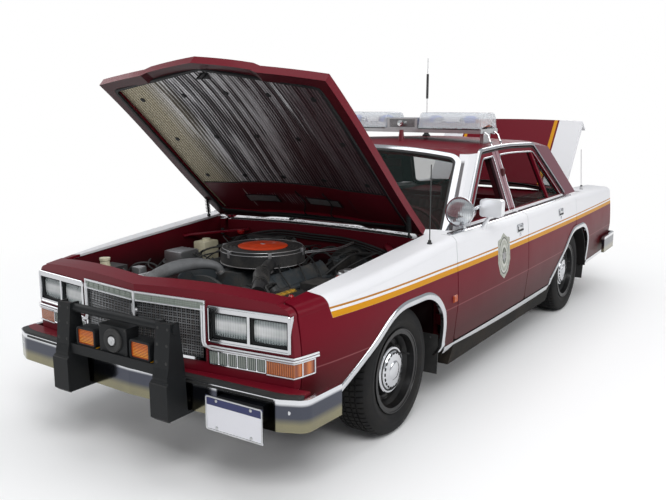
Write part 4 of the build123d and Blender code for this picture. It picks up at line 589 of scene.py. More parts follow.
class Maker:
    """A mesh in the making, in metres in the car's own frame."""

    def __init__(self):
        self.mesh = bmesh.new()
        self.tone = 0

    def verts(self, points):
        return [self.mesh.verts.new(p) for p in points]

    def faces(self, loops):
        for loop in loops:
            if len(set(loop)) > 2:
                face = self.mesh.faces.new(loop)
                face.material_index = self.tone
                face.smooth = True

    def skin(self, rings, closed=True, caps=True):
        """Quads between rings of points, with the end rings filled."""
        made = [self.verts(ring) for ring in rings]
        count = len(made[0])
        last = count if closed else count - 1
        for a, b in zip(made, made[1:]):
            self.faces([(a[i], a[(i + 1) % count], b[(i + 1) % count], b[i]) for i in range(last)])
        if caps and closed:
            self.faces([tuple(reversed(made[0])), tuple(made[-1])])
        return made

    def box(self, low, high, soft=0, place=None):
        """Block between two corners, with bevelled edges where soft is above 0."""
        x, y, z = [sorted(pair) for pair in zip(low, high)]
        corners = [(x[i], y[j], z[k]) for i in (0, 1) for j in (0, 1) for k in (0, 1)]
        v = self.verts([place @ Vector(c) if place else c for c in corners])
        loops = [(0, 1, 3, 2), (4, 6, 7, 5), (0, 4, 5, 1), (2, 3, 7, 6), (0, 2, 6, 4), (1, 5, 7, 3)]
        before = set(self.mesh.faces)
        self.faces([tuple(v[i] for i in loop) for loop in loops])
        if soft > 0:
            edges = [e for f in self.mesh.faces if f not in before for e in f.edges]
            made = bmesh.ops.bevel(self.mesh, geom=list(dict.fromkeys(edges)), offset=soft, segments=2,
                affect="EDGES", profile=0.6)
            for face in made["faces"]:
                face.material_index = self.tone
                face.smooth = True

    def tube(self, points, radius, sides=10, smooth=4):
        """Round bar along points, which a smooth curve passes through."""
        path = [Vector(p) for p in points]
        if smooth and len(path) > 2:
            path = smooth_path(path, smooth)
        rings, side = [], None
        for i, p in enumerate(path):
            ahead = (path[min(i + 1, len(path) - 1)] - path[max(i - 1, 0)]).normalized()
            if side is None:
                side = ahead.orthogonal().normalized()
            side = (side - ahead * side.dot(ahead)).normalized()
            other = ahead.cross(side)
            r = radius(i / (len(path) - 1)) if callable(radius) else radius
            rings.append([p + (side * cos(a) + other * sin(a)) * r for a in turns(sides)])
        self.skin(rings)

    def lathe(self, outline, centre, sides=48, axis=(0, 0, 1), hollow=False):
        """Turned shape from (distance along the axis, radius) points."""
        axis = Vector(axis).normalized()
        side = axis.orthogonal().normalized()
        other = axis.cross(side)
        round_about = [side * cos(a) + other * sin(a) for a in turns(sides)]
        rings = [[Vector(centre) + axis * d + out * max(r, 1e-5) for out in round_about] for d, r in outline]
        self.skin(rings, caps=not hollow)

    def sweep(self, path, outwards, outline):
        """A cross-section of (outwards, sideways) points carried along a path."""
        path = [Vector(p) for p in path]
        rings = []
        for before, p, after in zip(path[:1] + path, path, path[1:] + path[-1:]):
            ahead = (after - before).normalized()
            out = (outwards - ahead * outwards.dot(ahead)).normalized()
            side = ahead.cross(out)
            rings.append([p + out * o + side * s for o, s in outline])
        self.skin(rings)

    def plate(self, outline, place, thick):
        """Flat plate of a 2-D outline on a plane given by a matrix, as thick as asked."""
        self.skin([[place @ Vector((x, y, z)) for x, y in outline] for z in (0, thick)])

    def rim(self, line, profile, place):
        """Frame that follows a 2-D outline, from (distance inwards, distance out) pairs."""
        self.skin([[place(p, out) for p in grown(line, inset)] for inset, out in profile], caps=False)

    def make(self, name, tones, body="car_body", slot=None, sharp=38):
        """Ends the mesh as a piece that rides on a body, and starts the next mesh."""
        tones = [tones] if isinstance(tones, str) else tones
        bmesh.ops.remove_doubles(self.mesh, verts=self.mesh.verts, dist=1e-6)
        bmesh.ops.recalc_face_normals(self.mesh, faces=self.mesh.faces)
        data = bpy.data.meshes.new(name)
        self.mesh.to_mesh(data)
        self.mesh.free()
        data.set_sharp_from_angle(angle=radians(sharp))
        for tone in tones:
            data.materials.append(FINISHES[tone])
        piece = bpy.data.objects.new(name, data)
        bpy.context.scene.collection.objects.link(piece)
        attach(piece, body)
        self.__init__()
        return piece


def turns(count):
    """Evenly spaced angles round one turn."""
    return [2 * pi * k / count for k in range(count)]


def smooth_path(points, steps):
    """Points of a smooth curve through the given ones."""
    out = []
    ends = [points[0] * 2 - points[1], *points, points[-1] * 2 - points[-2]]
    for a, b, c, d in zip(ends, ends[1:], ends[2:], ends[3:]):
        for k in range(steps):
            t = k / steps
            out.append(0.5 * (2 * b + (c - a) * t + (2 * a - 5 * b + 4 * c - d) * t * t
                + (3 * b - a - 3 * c + d) * t ** 3))
    return [*out, points[-1]]


def flip(side, x, y, z):
    """Place on the car's left for side 1, or its mirror place for side -1."""
    return Vector((side * x, y, z))


def at(side, x, station, z):
    """The same as flip, at a station in place of a y."""
    return Vector((side * x, st(station), z))


def round_box(xs, zs, radius, steps=5):
    """Rounded rectangle between two x values and two heights."""
    corners = [(xs[0], zs[0]), (xs[1], zs[0]), (xs[1], zs[1]), (xs[0], zs[1])]
    return [p.to_2d() for p in rounded(corners, [radius] * 4, steps)]


def turned(place, angle, axis):
    """Matrix of a place, turned about one axis."""
    return Matrix.Translation(place) @ Matrix.Rotation(angle, 4, axis)


def own_z(place):
    """Direction of a matrix's own z."""
    return place.to_3x3() @ Vector((0, 0, 1))


# Sizes and colours

def length(name, description, default):
    return FloatProperty(name=name, description=description, default=default, unit="LENGTH")


def colour(name, description, default):
    return FloatVectorProperty(name=name, description=description, default=default, subtype="COLOR", size=3)


class SedanSizes(PropertyGroup):
    """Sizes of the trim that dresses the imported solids."""

    arch_width: length("Arch moulding width", "Width of the bright band round a wheel arch", 0.036)
    belt_height: length("Belt moulding height", "Height of the bright strip under the windows", 0.006)
    surround_width: length("Screen moulding width", "Width of the bright band round the windscreen", 0.04)
    handle_length: length("Door handle length", "Length of a door handle's pull", 0.118)
    handle_height: length("Door handle height", "Height of the door handles above the ground", 0.866)
    tread_depth: length("Tread depth", "Depth of the tyre grooves", 0.007)
    tread_pitches: IntProperty(name="Tread blocks", description="Blocks round one tyre", default=66, min=20, max=120)
    cap_radius: length("Hub cap radius", "Radius of the bright hub cap", 0.119)
    badge_radius: length("Badge radius", "Radius of the star on the front doors' crest", 0.045)


class SedanColours(PropertyGroup):
    """Colours of the paint and trim, and the heights where they change."""

    maroon: colour("Body paint", "Main body colour", (0.135, 0.0035, 0.012))
    white: colour("Upper paint", "Colour above the stripe", (0.74, 0.74, 0.76))
    gold: colour("Stripe", "Colour of the wide stripe", (0.56, 0.25, 0.008))
    line: colour("Fine line", "Colour of the thin line over the stripe", (0.4, 0.17, 0.02))
    dust: colour("Road dust", "Colour of the dust low on the body", (0.09, 0.03, 0.028))
    vinyl: colour("Cabin vinyl", "Colour of the seats and door cards", (0.12, 0.02, 0.024))
    stripe_low: length("Stripe bottom", "Height of the wide stripe's lower edge", 0.75)
    stripe_high: length("Stripe top", "Height of the wide stripe's upper edge", 0.778)
    line_low: length("Fine line bottom", "Height of the thin line's lower edge", 0.79)


def sizes():
    return bpy.context.scene.sedan_sizes


CAD_FINISHES = {
    "two_tone": ("door_front_left", "door_front_right", "door_rear_left", "door_rear_right", "fenders", "quarters"),
    "roof": ("roof",),
    "maroon": ("header_panel", "tail_panel"),
    "hood": ("hood",),
    "bay": ("front_frame", "firewall"),
    "pan": ("trunk_pan",),
    "lid": ("trunk_lid",),
    "glass": ("fixed_glass", "rear_door_glass_left", "rear_door_glass_right"),
    "grille": ("grille",),
    "chrome": ("headlamp_bezels", "spotlight"),
    "bright": ("mirror_left", "mirror_right"),
    "bumper": ("front_bumper", "rear_bumper"),
    "lens": ("headlamps",),
    "marker": ("marker_lamps",),
    "orange_painted_highlight": ("push_bumper_lamps",),
    "black": ("push_bumper",),
    "plate": ("licence_plates",),
    "bay_black": ("radiator", "bay_fittings", "air_cleaner"),
    "cast": ("engine", "knuckle_left", "knuckle_right"),
    "underside": ("floor_pan", "front_suspension", "rear_axle"),
    "steel": ("exhaust", "fuel_tank"),
    "red": ("tail_lamps",),
    "tyre": ("tyre_fl", "tyre_fr", "tyre_rl", "tyre_rr"),
    "wheel_black": ("rim_fl", "rim_fr", "rim_rl", "rim_rr"),
    "plastic": ("dashboard", "steering_wheel"),
    "aluminium": ("light_bar",),
    "mast": ("antennas",),
}


class SEDAN_OT_finishes(Operator):
    """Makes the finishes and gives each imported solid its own"""

    bl_idname = "sedan.finishes"
    bl_label = "Paint the packed solids"

    def execute(self, context):
        colours = bpy.context.scene.sedan_colours
        make_paints(colours)
        for row in worn_finishes(colours.vinyl):
            make_worn(*row)
        make_metals()
        make_soft_finishes(colours.vinyl)
        make_glass()
        for name, nodes in CAD_FINISHES.items():
            for node in nodes:
                mesh = frame["nodes"][node].data
                mesh.materials.clear()
                mesh.materials.append(FINISHES[name])
        return {"FINISHED"}


# Outside trim

ARCH = ((0.405, 0.322), (0.405, 0.672), (-0.11, 0.672), (-0.6, 0.352), (-0.602, 0.322))
ARCH_CURVE = (0, 0.245, 0.4, 0.06, 0)
OPENING = ((0.842, 0.915), (1.43, 1.35), (1.89, 1.369), (2.435, 1.352), (2.872, 0.915))
FRONT_DOOR = (0.564, 1.686)
REAR_DOOR = (1.693, 2.857)


def side_point(side, station, z, proud=0):
    """Place on the body side, or proud of it."""
    return at(side, skin_x(station, z) + proud, station, z)


def spread(low, high, step=0.1):
    """Evenly spaced values from low to high, about a step apart."""
    count = max(1, round((high - low) / step))
    return [low + (high - low) * i / count for i in range(count + 1)]


def fine_line(line, step):
    """A line's points with more between them where they lie far apart."""
    out = []
    for a, b in zip(line, line[1:]):
        count = max(1, round((b - a).length / step))
        out += [a.lerp(b, k / count) for k in range(count)]
    return [*out, line[-1]]


def opening_top(station, inset):
    """Height of the side opening's edge at a station, moved in by the inset."""
    level = []
    for (s0, z0), (s1, z1) in zip(OPENING, OPENING[1:]):
        slope = (z1 - z0) / (s1 - s0)
        level.append(z0 + slope * (station - s0) - inset * hypot(1, slope))
    soft = 0.007
    low = min(level)
    return low - soft * log(sum(exp((low - v) / soft) for v in level))


def opening_line(inset, low_z, start=0, end=9, step=0.02):
    """Points of the opening's edge from one foot to the other, between two stations."""
    stations = spread(OPENING[0][0] - 0.1, OPENING[-1][0] + 0.1, step)
    line = [Vector((s, opening_top(s, inset))) for s in stations if start <= s <= end]
    return [p for p in line if p.y >= low_z]


def bar_on_glass(m, side, line, width, height, sink, out=0):
    """Moulding that follows (station, z) points on the plane of the side glass."""
    profile = ((-0.5, -sink), (-0.5, height * 0.6), (-0.28, height), (0.28, height), (0.5, height * 0.6),
        (0.5, -sink))
    lines = [grown(line, share * width, closed=False) for share, _ in profile]
    m.skin([[at(side, glass_x(p.y) + out + h, p.x, p.y) for p, (_, h) in zip(ring, profile)] for ring in zip(*lines)])


class SEDAN_OT_arch_mouldings(Operator):
    """Bright bands round the four wheel arches, with rolled lips"""

    bl_idname = "sedan.arch_mouldings"
    bl_label = "Wheel arch mouldings"

    def execute(self, context):
        width = sizes().arch_width
        profile = ((0, -0.016), (-0.0005, 0.003), (0.005, 0.0065), (0.5 * width, 0.0075), (0.85 * width, 0.006),
            (width, 0.002), (width, -0.002))
        m = Maker()
        for end, axle in (("front", 0), ("rear", WHEELBASE)):
            corners = [(axle + y, z) for y, z in ARCH]
            line = fine_line([p.to_2d() for p in rounded(corners, ARCH_CURVE, 16, closed=False)], 0.03)
            lines = [grown(line, -out, closed=False) for out, _ in profile]
            for side in BOTH:
                m.skin([[side_point(side, *p, h) for p, (_, h) in zip(ring, profile)] for ring in zip(*lines)])
            m.make(f"arch_mouldings_{end}", "chrome")
        return {"FINISHED"}


class SEDAN_OT_sill_mouldings(Operator):
    """Bright strips along the sills and behind the rear wheels, and black mud flaps"""

    bl_idname = "sedan.sill_mouldings"
    bl_label = "Sill mouldings and mud flaps"

    def execute(self, context):
        m = Maker()
        loop = ((-0.0355, 0.302), (-0.03, 0.312), (-0.0195, 0.334), (-0.0185, 0.344), (-0.0225, 0.345),
            (-0.025, 0.335), (-0.036, 0.312), (-0.039, 0.302))
        for side, (low, high) in product(BOTH, ((0.447, 2.215), (WHEELBASE + 0.447, 4))):
            m.skin([[at(side, half_width(s) + x, s, z) for x, z in loop] for s in spread(low, high)])
        m.make("sill_mouldings", "chrome")
        for side, station in product(BOTH, (0.408, WHEELBASE + 0.408)):
            low = [(0.652, 0.19), (0.878, 0.19), (0.888, 0.33), (0.888, 0.42), (0.652, 0.42)]
            front = [flip(side, x, st(station) - 0.004 + (0.42 - z) * 0.06, z) for x, z in low]
            m.skin([front, [p + Vector((0, 0.006, 0)) for p in front]])
            for x in (0.7, 0.77, 0.84):
                m.lathe([(-0.002, 0.008), (0.003, 0.008), (0.006, 0.004)], flip(side, x, st(station) - 0.004, 0.4),
                    10, (0, -1, 0))
        m.make("mud_flaps", "rubber")
        return {"FINISHED"}


class SEDAN_OT_window_mouldings(Operator):
    """Bright drip rails, belt strips, door frame edges and dark weather seals"""

    bl_idname = "sedan.window_mouldings"
    bl_label = "Window mouldings"

    def execute(self, context):
        m = Maker()
        line = opening_line(-0.0125, 0.958)
        for side in BOTH:
            bar_on_glass(m, side, line, 0.019, 0.0045, 0.012, 0.012)
        m.make("drip_rails", "chrome")
        belt = sizes().belt_height
        loop = ((-0.088, 0.9435), (-0.088, BELT_TOP + belt * 0.7), (-0.082, BELT_TOP + belt),
            (-0.066, BELT_TOP + belt), (-0.0585, 0.9455), (-0.0605, 0.9405), (-0.064, 0.9435))
        for (name, (low, high), ends), (side, word) in product((("front", FRONT_DOOR, (0, 1.632)),
                ("rear", REAR_DOOR, (1.739, 9))), SIDES):
            m = Maker()
            start = low + (0.018 if name == "front" else 0.004)
            m.skin([[at(side, half_width(s) + x, s, z) for x, z in loop] for s in spread(start, high - 0.004)])
            edge = opening_line(0.0435, 0.952, ends[0], ends[1], 0.012)
            upright = ends[1] if name == "front" else ends[0]
            run = spread(0.955, opening_top(upright, 0.0435), 0.03)
            if name == "front":
                edge = edge + [Vector((upright, z)) for z in reversed(run[:-1])]
            else:
                edge = [Vector((upright, z)) for z in run[:-1]] + edge
            bar_on_glass(m, side, edge, 0.009, 0.003, 0.003)
            m.make(f"window_edges_{name}_{word}", "chrome", body=f"door_{name}_{word}")
            bar_on_glass(m, side, opening_line(0.011, 0.95, low, high, 0.015), 0.009, 0.002, 0.002)
            seal = [(-0.1, 0.9445), (-0.1, 0.951), (-0.0885, 0.951), (-0.0885, 0.9445)]
            m.skin([[at(side, half_width(s) + x, s, z) for x, z in seal] for s in spread(start + 0.02, high - 0.03)])
            m.make(f"window_seals_{name}_{word}", "rubber", body=f"door_{name}_{word}")
        return {"FINISHED"}


def screen_point(facing, u, v, out):
    """Point on the windscreen (facing 1) or the rear glass (-1): across, up the glass, and out of it."""
    base, angle, radius = (0.6, radians(36), 3.15) if facing > 0 else (WHEELBASE + 0.43, radians(44), 3.2)
    normal = Vector((0, -facing * sin(angle), cos(angle)))
    up = Vector((0, facing * cos(angle), sin(angle)))
    sag = radius - sqrt(radius * radius - u * u)
    return Vector((u, st(base), 0.955)) + up * v + normal * (out - sag)


def screen_line(facing, out=0):
    """Rounded outline of the windscreen, or of the rear window for facing -1."""
    halves, span = ((0.752, 0.603), (0.036, 0.7)) if facing > 0 else ((0.7, 0.575), (0.04, 0.545))
    corners = [(-halves[0], span[0]), (halves[0], span[0]), (halves[1], span[1]), (-halves[1], span[1])]
    corners = [p.to_2d() for p in rounded(corners, [0.06] * 4, 8)]
    return grown(fine_line(corners + corners[:1], 0.08)[:-1], out)


class SEDAN_OT_screen_mouldings(Operator):
    """Bright bands and black gaskets round the windscreen and the rear glass"""

    bl_idname = "sedan.screen_mouldings"
    bl_label = "Screen mouldings"

    def execute(self, context):
        width = sizes().surround_width
        highlight_bands = (
            ("screen_mouldings", "chrome", ((0.004, -0.004), (0.004, 0.003), (0.012, 0.0055), (width * 0.8, 0.0055),
                (width, 0.002), (width, -0.006))),
            ("screen_gaskets", "rubber", ((-0.014, -0.009), (-0.012, -0.0025), (-0.002, 0.0025), (0.005, 0.0025),
                (0.005, -0.009))),
        )
        for name, tone, profile in highlight_bands:
            m = Maker()
            for facing in (1, -1):
                lines = [screen_line(facing, -o) for o, _ in profile]
                rings = [[screen_point(facing, *p, h) for p, (_, h) in zip(ring, profile)] for ring in zip(*lines)]
                m.skin(rings + rings[:1], caps=False)
            m.make(name, tone)
        m = Maker()
        for pivot, ends in ((0.36, (0.66, 0.12)), (-0.22, (0.04, -0.52))):
            blade = [screen_point(1, ends[0] + (ends[1] - ends[0]) * t, 0.075 + 0.02 * sin(pi * t), 0.008)
                for t in (0, 0.25, 0.5, 0.75, 1)]
            m.tube(blade, 0.0045, 8)
            m.tube([p + Vector((0, -0.004, 0.009)) for p in blade[1:4]], 0.003, 8)
            foot = screen_point(1, pivot, -0.03, 0.006)
            m.tube([foot, screen_point(1, pivot * 0.95 + 0.03, 0.02, 0.022), blade[2] + Vector((0, -0.006, 0.013))],
                lambda t: 0.007 - 0.0035 * t, 8)
            m.lathe([(-0.02, 0.014), (0.012, 0.014), (0.018, 0.009)], foot, 16, (0, -0.4, 1))
        m.make("wipers", "black")
        return {"FINISHED"}


class SEDAN_OT_door_fittings(Operator):
    """Flush door pulls in pockets painted black as painted shadow, and locks"""

    bl_idname = "sedan.door_fittings"
    bl_label = "Door handles"

    def execute(self, context):
        size = sizes()
        z, half = size.handle_height, size.handle_length / 2
        for (name, centre), (side, word) in product((("front", 1.531), ("rear", 2.43)), SIDES):
            m = Maker()
            pocket = round_box((centre - half, centre + half), (z - 0.03, z + 0.024), 0.012)
            m.rim(pocket, ((0, -0.004), (0, 0.004), (0.006, 0.0055), (0.006, -0.004)), lambda p,
                h: side_point(side, *p, h))
            # Painted shadow: the pocket inside the rim is black.
            m.tone = 1
            m.skin([[side_point(side, *p, h) for p in grown(pocket, 0.006)] for h in (-0.004, 0.0012)])
            m.tone = 0
            pull = round_box((centre - half + 0.012, centre + half - 0.012), (z - 0.01, z + 0.019), 0.006, 4)
            m.skin([[side_point(side, *p, h) for p in grown(pull, inset)]
                for inset, h in ((0, 0.001), (0, 0.008), (0.003, 0.0105))])
            lock = side_point(side, centre, z - 0.045)
            m.lathe([(-0.004, 0.011), (0.003, 0.011), (0.005, 0.007), (0.0035, 0.006), (0.0035, 0)], lock, 20,
                (side, 0, 0))
            m.make(f"door_pull_{name}_{word}", ["chrome", "black"], body=f"door_{name}_{word}")
        return {"FINISHED"}


# Front and rear ends

def nose_point(x, z, out=0):
    """Point on the V-shaped nose, a distance ahead of its face."""
    turn = atan(NOSE_RISE)
    sign = 1 if x >= 0 else -1
    return Vector((x, nose_y(x), z)) + Vector((sign * sin(turn), -cos(turn), 0)) * out


def nose_frame(m, side, x, z, width, outs, radius=0.012):
    """Raised frame on the nose round an x and z range, that reaches inwards by its width."""
    low, middle, high = outs
    profile = ((0, low), (0, middle), (width * 0.2, high), (width * 0.8, high), (width, middle), (width, low))
    m.rim(round_box(x, z, radius), profile, lambda p, out: nose_point(side * p.x, p.y, out))


def wrap_line(side, start_x, z, out, end_station):
    """Path along the nose, round its corner and back along the fender."""
    path = [nose_point(side * x, z, out) for x in (start_x, 0.74, 0.815)]
    corner = half_width(-0.826) + 0.6 * out - 0.0025
    path.append(flip(side, corner - 0.004, st(-0.832) - 0.6 * out, z))
    path.append(at(side, corner, -0.824, z))
    return path + [side_point(side, s, z, out * 0.6) for s in spread(-0.805, end_station, 0.05)]


class SEDAN_OT_grille_trim(Operator):
    """Double bright line down each side of the grille and the raised bars of its top band"""

    bl_idname = "sedan.grille_trim"
    bl_label = "Grille trim"

    def execute(self, context):
        m = Maker()
        for side in BOTH:
            for inset in (0, 0.012):
                path = [(x - inset, z) for x, z in ((0.385, 0.8), (0.385, 0.7), (0.385, 0.66), (0.387, 0.635),
                    (0.399, 0.618))]
                path += [(0.42, 0.611 + inset), (0.47, 0.6105 + inset)]
                line = smooth_path([nose_point(side * x, z, 0.0085) for x, z in path], 4)
                m.tube([*line, *wrap_line(side, 0.6, 0.6105 + inset, 0.0085, -0.7)], 0.0046, 8, smooth=0)
            for z in (0.5375, 0.601):
                m.tube(wrap_line(side, 0.6945, z, 0.006, -0.72), 0.0028, 8, smooth=0)
            for station in (-0.72, -0.79):
                place = side_point(side, station, 0.5375, 0.004)
                m.tube([place, place + Vector((0, 0, 0.0635))], 0.0028, 8)
            for z in (0.817, 0.779):
                m.tube([nose_point(side * x, z, 0.008) for x in (0.012, 0.2, 0.386)], 0.0036, 8, smooth=0)
        m.tube([nose_point(0, z, 0.008) for z in (0.552, 0.82)], 0.0048, 10)
        m.make("grille_bright_lines", "bright")
        for side in BOTH:
            m.skin([[nose_point(side * x, z, out) for x, z in ((0.006, 0.784), (0.382, 0.784), (0.382, 0.812),
                (0.006, 0.812))] for out in (-0.002, 0.0078)])
            for k in range(9):
                x = 0.02 + 0.042 * k
                m.tube([nose_point(side * x, z, 0.0088) for z in (0.786, 0.81)], 0.0022, 6)
        m.make("grille_band_infill", "smoke")
        for side in BOTH:
            for k in range(1, 30):
                x = 0.019 + k * (0.36 / 30)
                m.tube([nose_point(side * x, z, -0.004) for z in (0.563, 0.768)], 0.0013, 4)
            for k in range(1, 18):
                z = 0.561 + k * (0.212 / 18)
                m.tube([nose_point(side * x, z, -0.005) for x in (0.019, 0.379)], 0.0014, 4)
        m.make("grille_fine_mesh", "steel")
        # Painted shade: a black sheet behind the grille's mesh.
        for side in BOTH:
            m.skin([[nose_point(side * x, z, -0.03 - k * 0.004) for x,
                z in ((0.012, 0.55), (0.392, 0.55), (0.392, 0.82), (0.012, 0.82))] for k in (0, 1)])
        m.make("grille_painted_shade_sheet", "bay_black")
        return {"FINISHED"}


HEADLAMP_CELLS = ((0.42, 0.603), (0.615, 0.798))
HEADLAMP_CELL_Z = (0.658, 0.776)


class SEDAN_OT_headlamp_parts(Operator):
    """Reflectors, lens frames and fluted lens ribs of the four headlamps"""

    bl_idname = "sedan.headlamp_parts"
    bl_label = "Headlamp parts"

    def execute(self, context):
        frames, bowls, ribs = Maker(), Maker(), Maker()
        for side, x in product(BOTH, HEADLAMP_CELLS):
            nose_frame(frames, side, x, HEADLAMP_CELL_Z, 0.011, (-0.03, -0.006, -0.0015), 0.008)
            low, high = HEADLAMP_CELL_Z
            line = round_box((x[0] + 0.004, x[1] - 0.004), (low + 0.004, high - 0.004), 0.02, 6)
            middle = Vector(((x[0] + x[1]) / 2, (low + high) / 2))
            rings = []
            for t in (1, 0.9, 0.75, 0.55, 0.35, 0.16, 0.02):
                ring = [middle.lerp(q, t) for q in line]
                rings.append([nose_point(side * p.x, p.y, -0.028 - 0.05 * (1 - t * t)) for p in ring])
            bowls.skin(rings, caps=False)
            for k in range(1, 15):
                u = x[0] + 0.012 + k * (x[1] - x[0] - 0.024) / 15
                ribs.tube([nose_point(side * u, z, -0.0115) for z in (low + 0.014, high - 0.014)], 0.0016, 5)
            for z in (low + 0.036, high - 0.036):
                ribs.tube([nose_point(side * u, z, -0.0112) for u in (x[0] + 0.016, x[1] - 0.016)], 0.0013, 5)
        frames.make("headlamp_frames", "black")
        bowls.make("headlamp_reflectors", "reflector")
        ribs.make("headlamp_flutes", "lens")
        m = Maker()
        for side in BOTH:
            nose_frame(m, side, (0.4, 0.812), (0.638, 0.804), 0.009, (0.002, 0.0085, 0.0105), 0.016)
            nose_frame(m, side, (0.402, 0.694), (0.5385, 0.6055), 0.007, (-0.004, 0.003, 0.0065), 0.008)
            for k in range(1, 6):
                x = 0.404 + k * 0.286 / 6
                m.tube([nose_point(side * x, z, 0.0025) for z in (0.544, 0.6)], 0.0028, 6)
        m.make("lamp_frames", "chrome")
        return {"FINISHED"}


def bumper_y(x, front=True):
    """Outer face of a bumper at a distance from the centreline."""
    rise = 0.042 * min(abs(x) / 0.822, 1) + 0.05 * max(abs(x) - 0.822, 0) / 0.108
    return st(-0.985) + rise if front else st(WHEELBASE + 1.38) - rise


class SEDAN_OT_bumper_trim(Operator):
    """Dark filler and maroon cover over the front bumper, rub strips and bolts"""

    bl_idname = "sedan.bumper_trim"
    bl_label = "Bumper trim"

    def execute(self, context):
        m = Maker()
        for front, facing, z, profile in (
                (True, -1, 0.475, ((-0.002, -0.006), (0, -0.006), (0, 0.006), (-0.002, 0.006))),
                (False, 1, 0.395, ((-0.003, -0.017), (-0.0004, -0.0136), (-0.0004, 0.0136), (-0.003, 0.017)))):
            path = [Vector((x, bumper_y(x, front), z)) for x in spread(-0.8, 0.8, 0.08)]
            m.skin([[p + Vector((0, facing * (o + 0.0004), s)) for o, s in profile] for p in path])
        rings, cover = [], []
        for x in spread(-0.9, 0.9, 0.06):
            y = bumper_y(x) + 0.006
            back = max(nose_y(x) - 0.004, y + 0.02)
            edge = min(y + 0.034, back - 0.004)
            rings.append([(x, y, 0.4845), (x, y + 0.002, 0.493), (x, edge, 0.495), (x, edge, 0.486)])
            cover.append([(x, edge + 0.002, 0.4845), (x, edge + 0.002, 0.4945), (x, back, 0.497), (x, back, 0.486)])
        m.skin(rings)
        m.make("bumper_strips", "rubber")
        m.skin(cover)
        m.make("bumper_cover", "maroon")
        for side, (x, front) in product(BOTH, ((0.31, False), (0.86, True), (0.86, False))):
            place = (side * x, bumper_y(x, front), 0.43)
            m.lathe([(-0.006, 0.011), (-0.0015, 0.0105), (0, 0.006), (0, 0)], place, 14, (0, -1 if front else 1, 0))
        m.make("bumper_bolts", "chrome")
        return {"FINISHED"}


PUSH_FRONT = -2.675


class SEDAN_OT_push_bumper_parts(Operator):
    """Ribbed pads, lamp housings and rims, speaker rings and bolts of the push bumper"""

    bl_idname = "sedan.push_bumper_parts"
    bl_label = "Push bumper parts"

    def execute(self, context):
        m = Maker()
        for side in BOTH:
            for k in range(9):
                z = 0.352 + k * 0.0168
                m.box((side * 0.3185 - 0.05, PUSH_FRONT + 0.0005, z),
                    (side * 0.3185 + 0.05, PUSH_FRONT + 0.006, z + 0.0095), 0.002)
            for z, x in product((0.585, 0.66, 0.73), (0.29, 0.347)):
                m.lathe([(-0.012, 0.009), (-0.004, 0.009), (-0.002, 0.006), (-0.002, 0)],
                    (side * x, PUSH_FRONT + 0.014 + (z - 0.52) * 0.11, z), 6, (0, -1, 0.1))
        m.make("push_bumper_pads", "rubber")
        for side in BOTH:
            profile = ((0, 0.103), (0, 0.039), (0.003, 0.036), (0.008, 0.036), (0.011, 0.039), (0.011, 0.048))
            line = round_box((0.112, 0.238), (0.5615, 0.652), 0.016)
            m.rim(line, profile, lambda p, d: (side * p.x, PUSH_FRONT + d, p.y))
        m.make("grille_lamp_housings", "black")
        for side in BOTH:
            for k in range(10):
                z = 0.578 + k * 0.0068
                m.tube([(side * x, PUSH_FRONT + 0.0442, z) for x in (0.128, 0.222)], 0.0018, 6)
            line = round_box((0.1245, 0.2255), (0.573, 0.641), 0.01)
            m.tube([(side * p.x, PUSH_FRONT + 0.0435, p.y) for p in line + line[:1]], 0.0026, 6, smooth=0)
        m.make("grille_lamp_ribs", "amber")
        face = PUSH_FRONT + 0.033
        m.lathe([(0, 0), (0.0055, 0.012), (0.006, 0.02), (0.001, 0.0225), (-0.01, 0.0225)],
            (0.01, face - 0.001, 0.625), 32, (0, -1, 0))
        m.make("speaker_disc", "aluminium")
        m.lathe([(0.001, 0.026), (0.004, 0.03), (0.0045, 0.05), (0.001, 0.054), (-0.007, 0.056), (-0.012, 0.054)],
            (0.01, face - 0.001, 0.625), 40, (0, -1, 0), hollow=True)
        for a in turns(16):
            m.tube([(0.01 + cos(a) * r, face - 0.0035, 0.625 + sin(a) * r) for r in (0.024, 0.047)], 0.0014, 5)
        for x, z in product((-0.072, 0.086), (0.568, 0.68)):
            m.lathe([(-0.004, 0.006), (0.002, 0.006), (0.0035, 0.003), (0.0035, 0)], (x, PUSH_FRONT + 0.041, z), 8,
                (0, -1, 0))
        for side in BOTH:
            m.tube([(side * 0.175, PUSH_FRONT + 0.1, 0.6), (side * 0.18, PUSH_FRONT + 0.125, 0.59),
                (side * 0.17, PUSH_FRONT + 0.14, 0.56), (side * 0.2, PUSH_FRONT + 0.155, 0.52),
                (side * 0.22, PUSH_FRONT + 0.19, 0.497)], 0.004, 7)
        m.tube([(0.01, PUSH_FRONT + 0.105, 0.6), (0.03, PUSH_FRONT + 0.13, 0.57), (0.02, PUSH_FRONT + 0.15, 0.53),
            (0.05, PUSH_FRONT + 0.19, 0.497)], 0.0045, 7)
        m.make("push_bumper_leads_and_screws", "rubber")
        return {"FINISHED"}


class SEDAN_OT_plate_parts(Operator):
    """Raised rims and bolts of the blank plates, and their lamps"""

    bl_idname = "sedan.plate_parts"
    bl_label = "Plate parts"

    def execute(self, context):
        m = Maker()
        tail = st(4.11) + 0.0045
        for low_x, high_x, low_z, high_z, y, facing in ((0.482, 0.787, 0.3, 0.452, st(-0.985) - 0.0142, -1),
                (-0.152, 0.152, 0.56, 0.712, tail, 1)):
            profile = ((0, -0.003), (0, 0.0022), (0.003, 0.003), (0.006, 0.0022), (0.007, -0.001))
            line = round_box((low_x, high_x), (low_z, high_z), 0.012)
            m.rim(line, profile, lambda p, d: (p.x, y + facing * d, p.y))
            for x, z in product((low_x + 0.06, high_x - 0.06), (low_z + 0.016, high_z - 0.016)):
                m.lathe([(0, 0.007), (0.002, 0.007), (0.004, 0.004), (0.004, 0)], (x, y, z), 12, (0, facing, 0))
        m.box((-0.1, tail - 0.001, 0.722), (0.1, tail + 0.028, 0.74), 0.004)
        m.make("plate_rims_and_bolts", "aluminium")
        return {"FINISHED"}


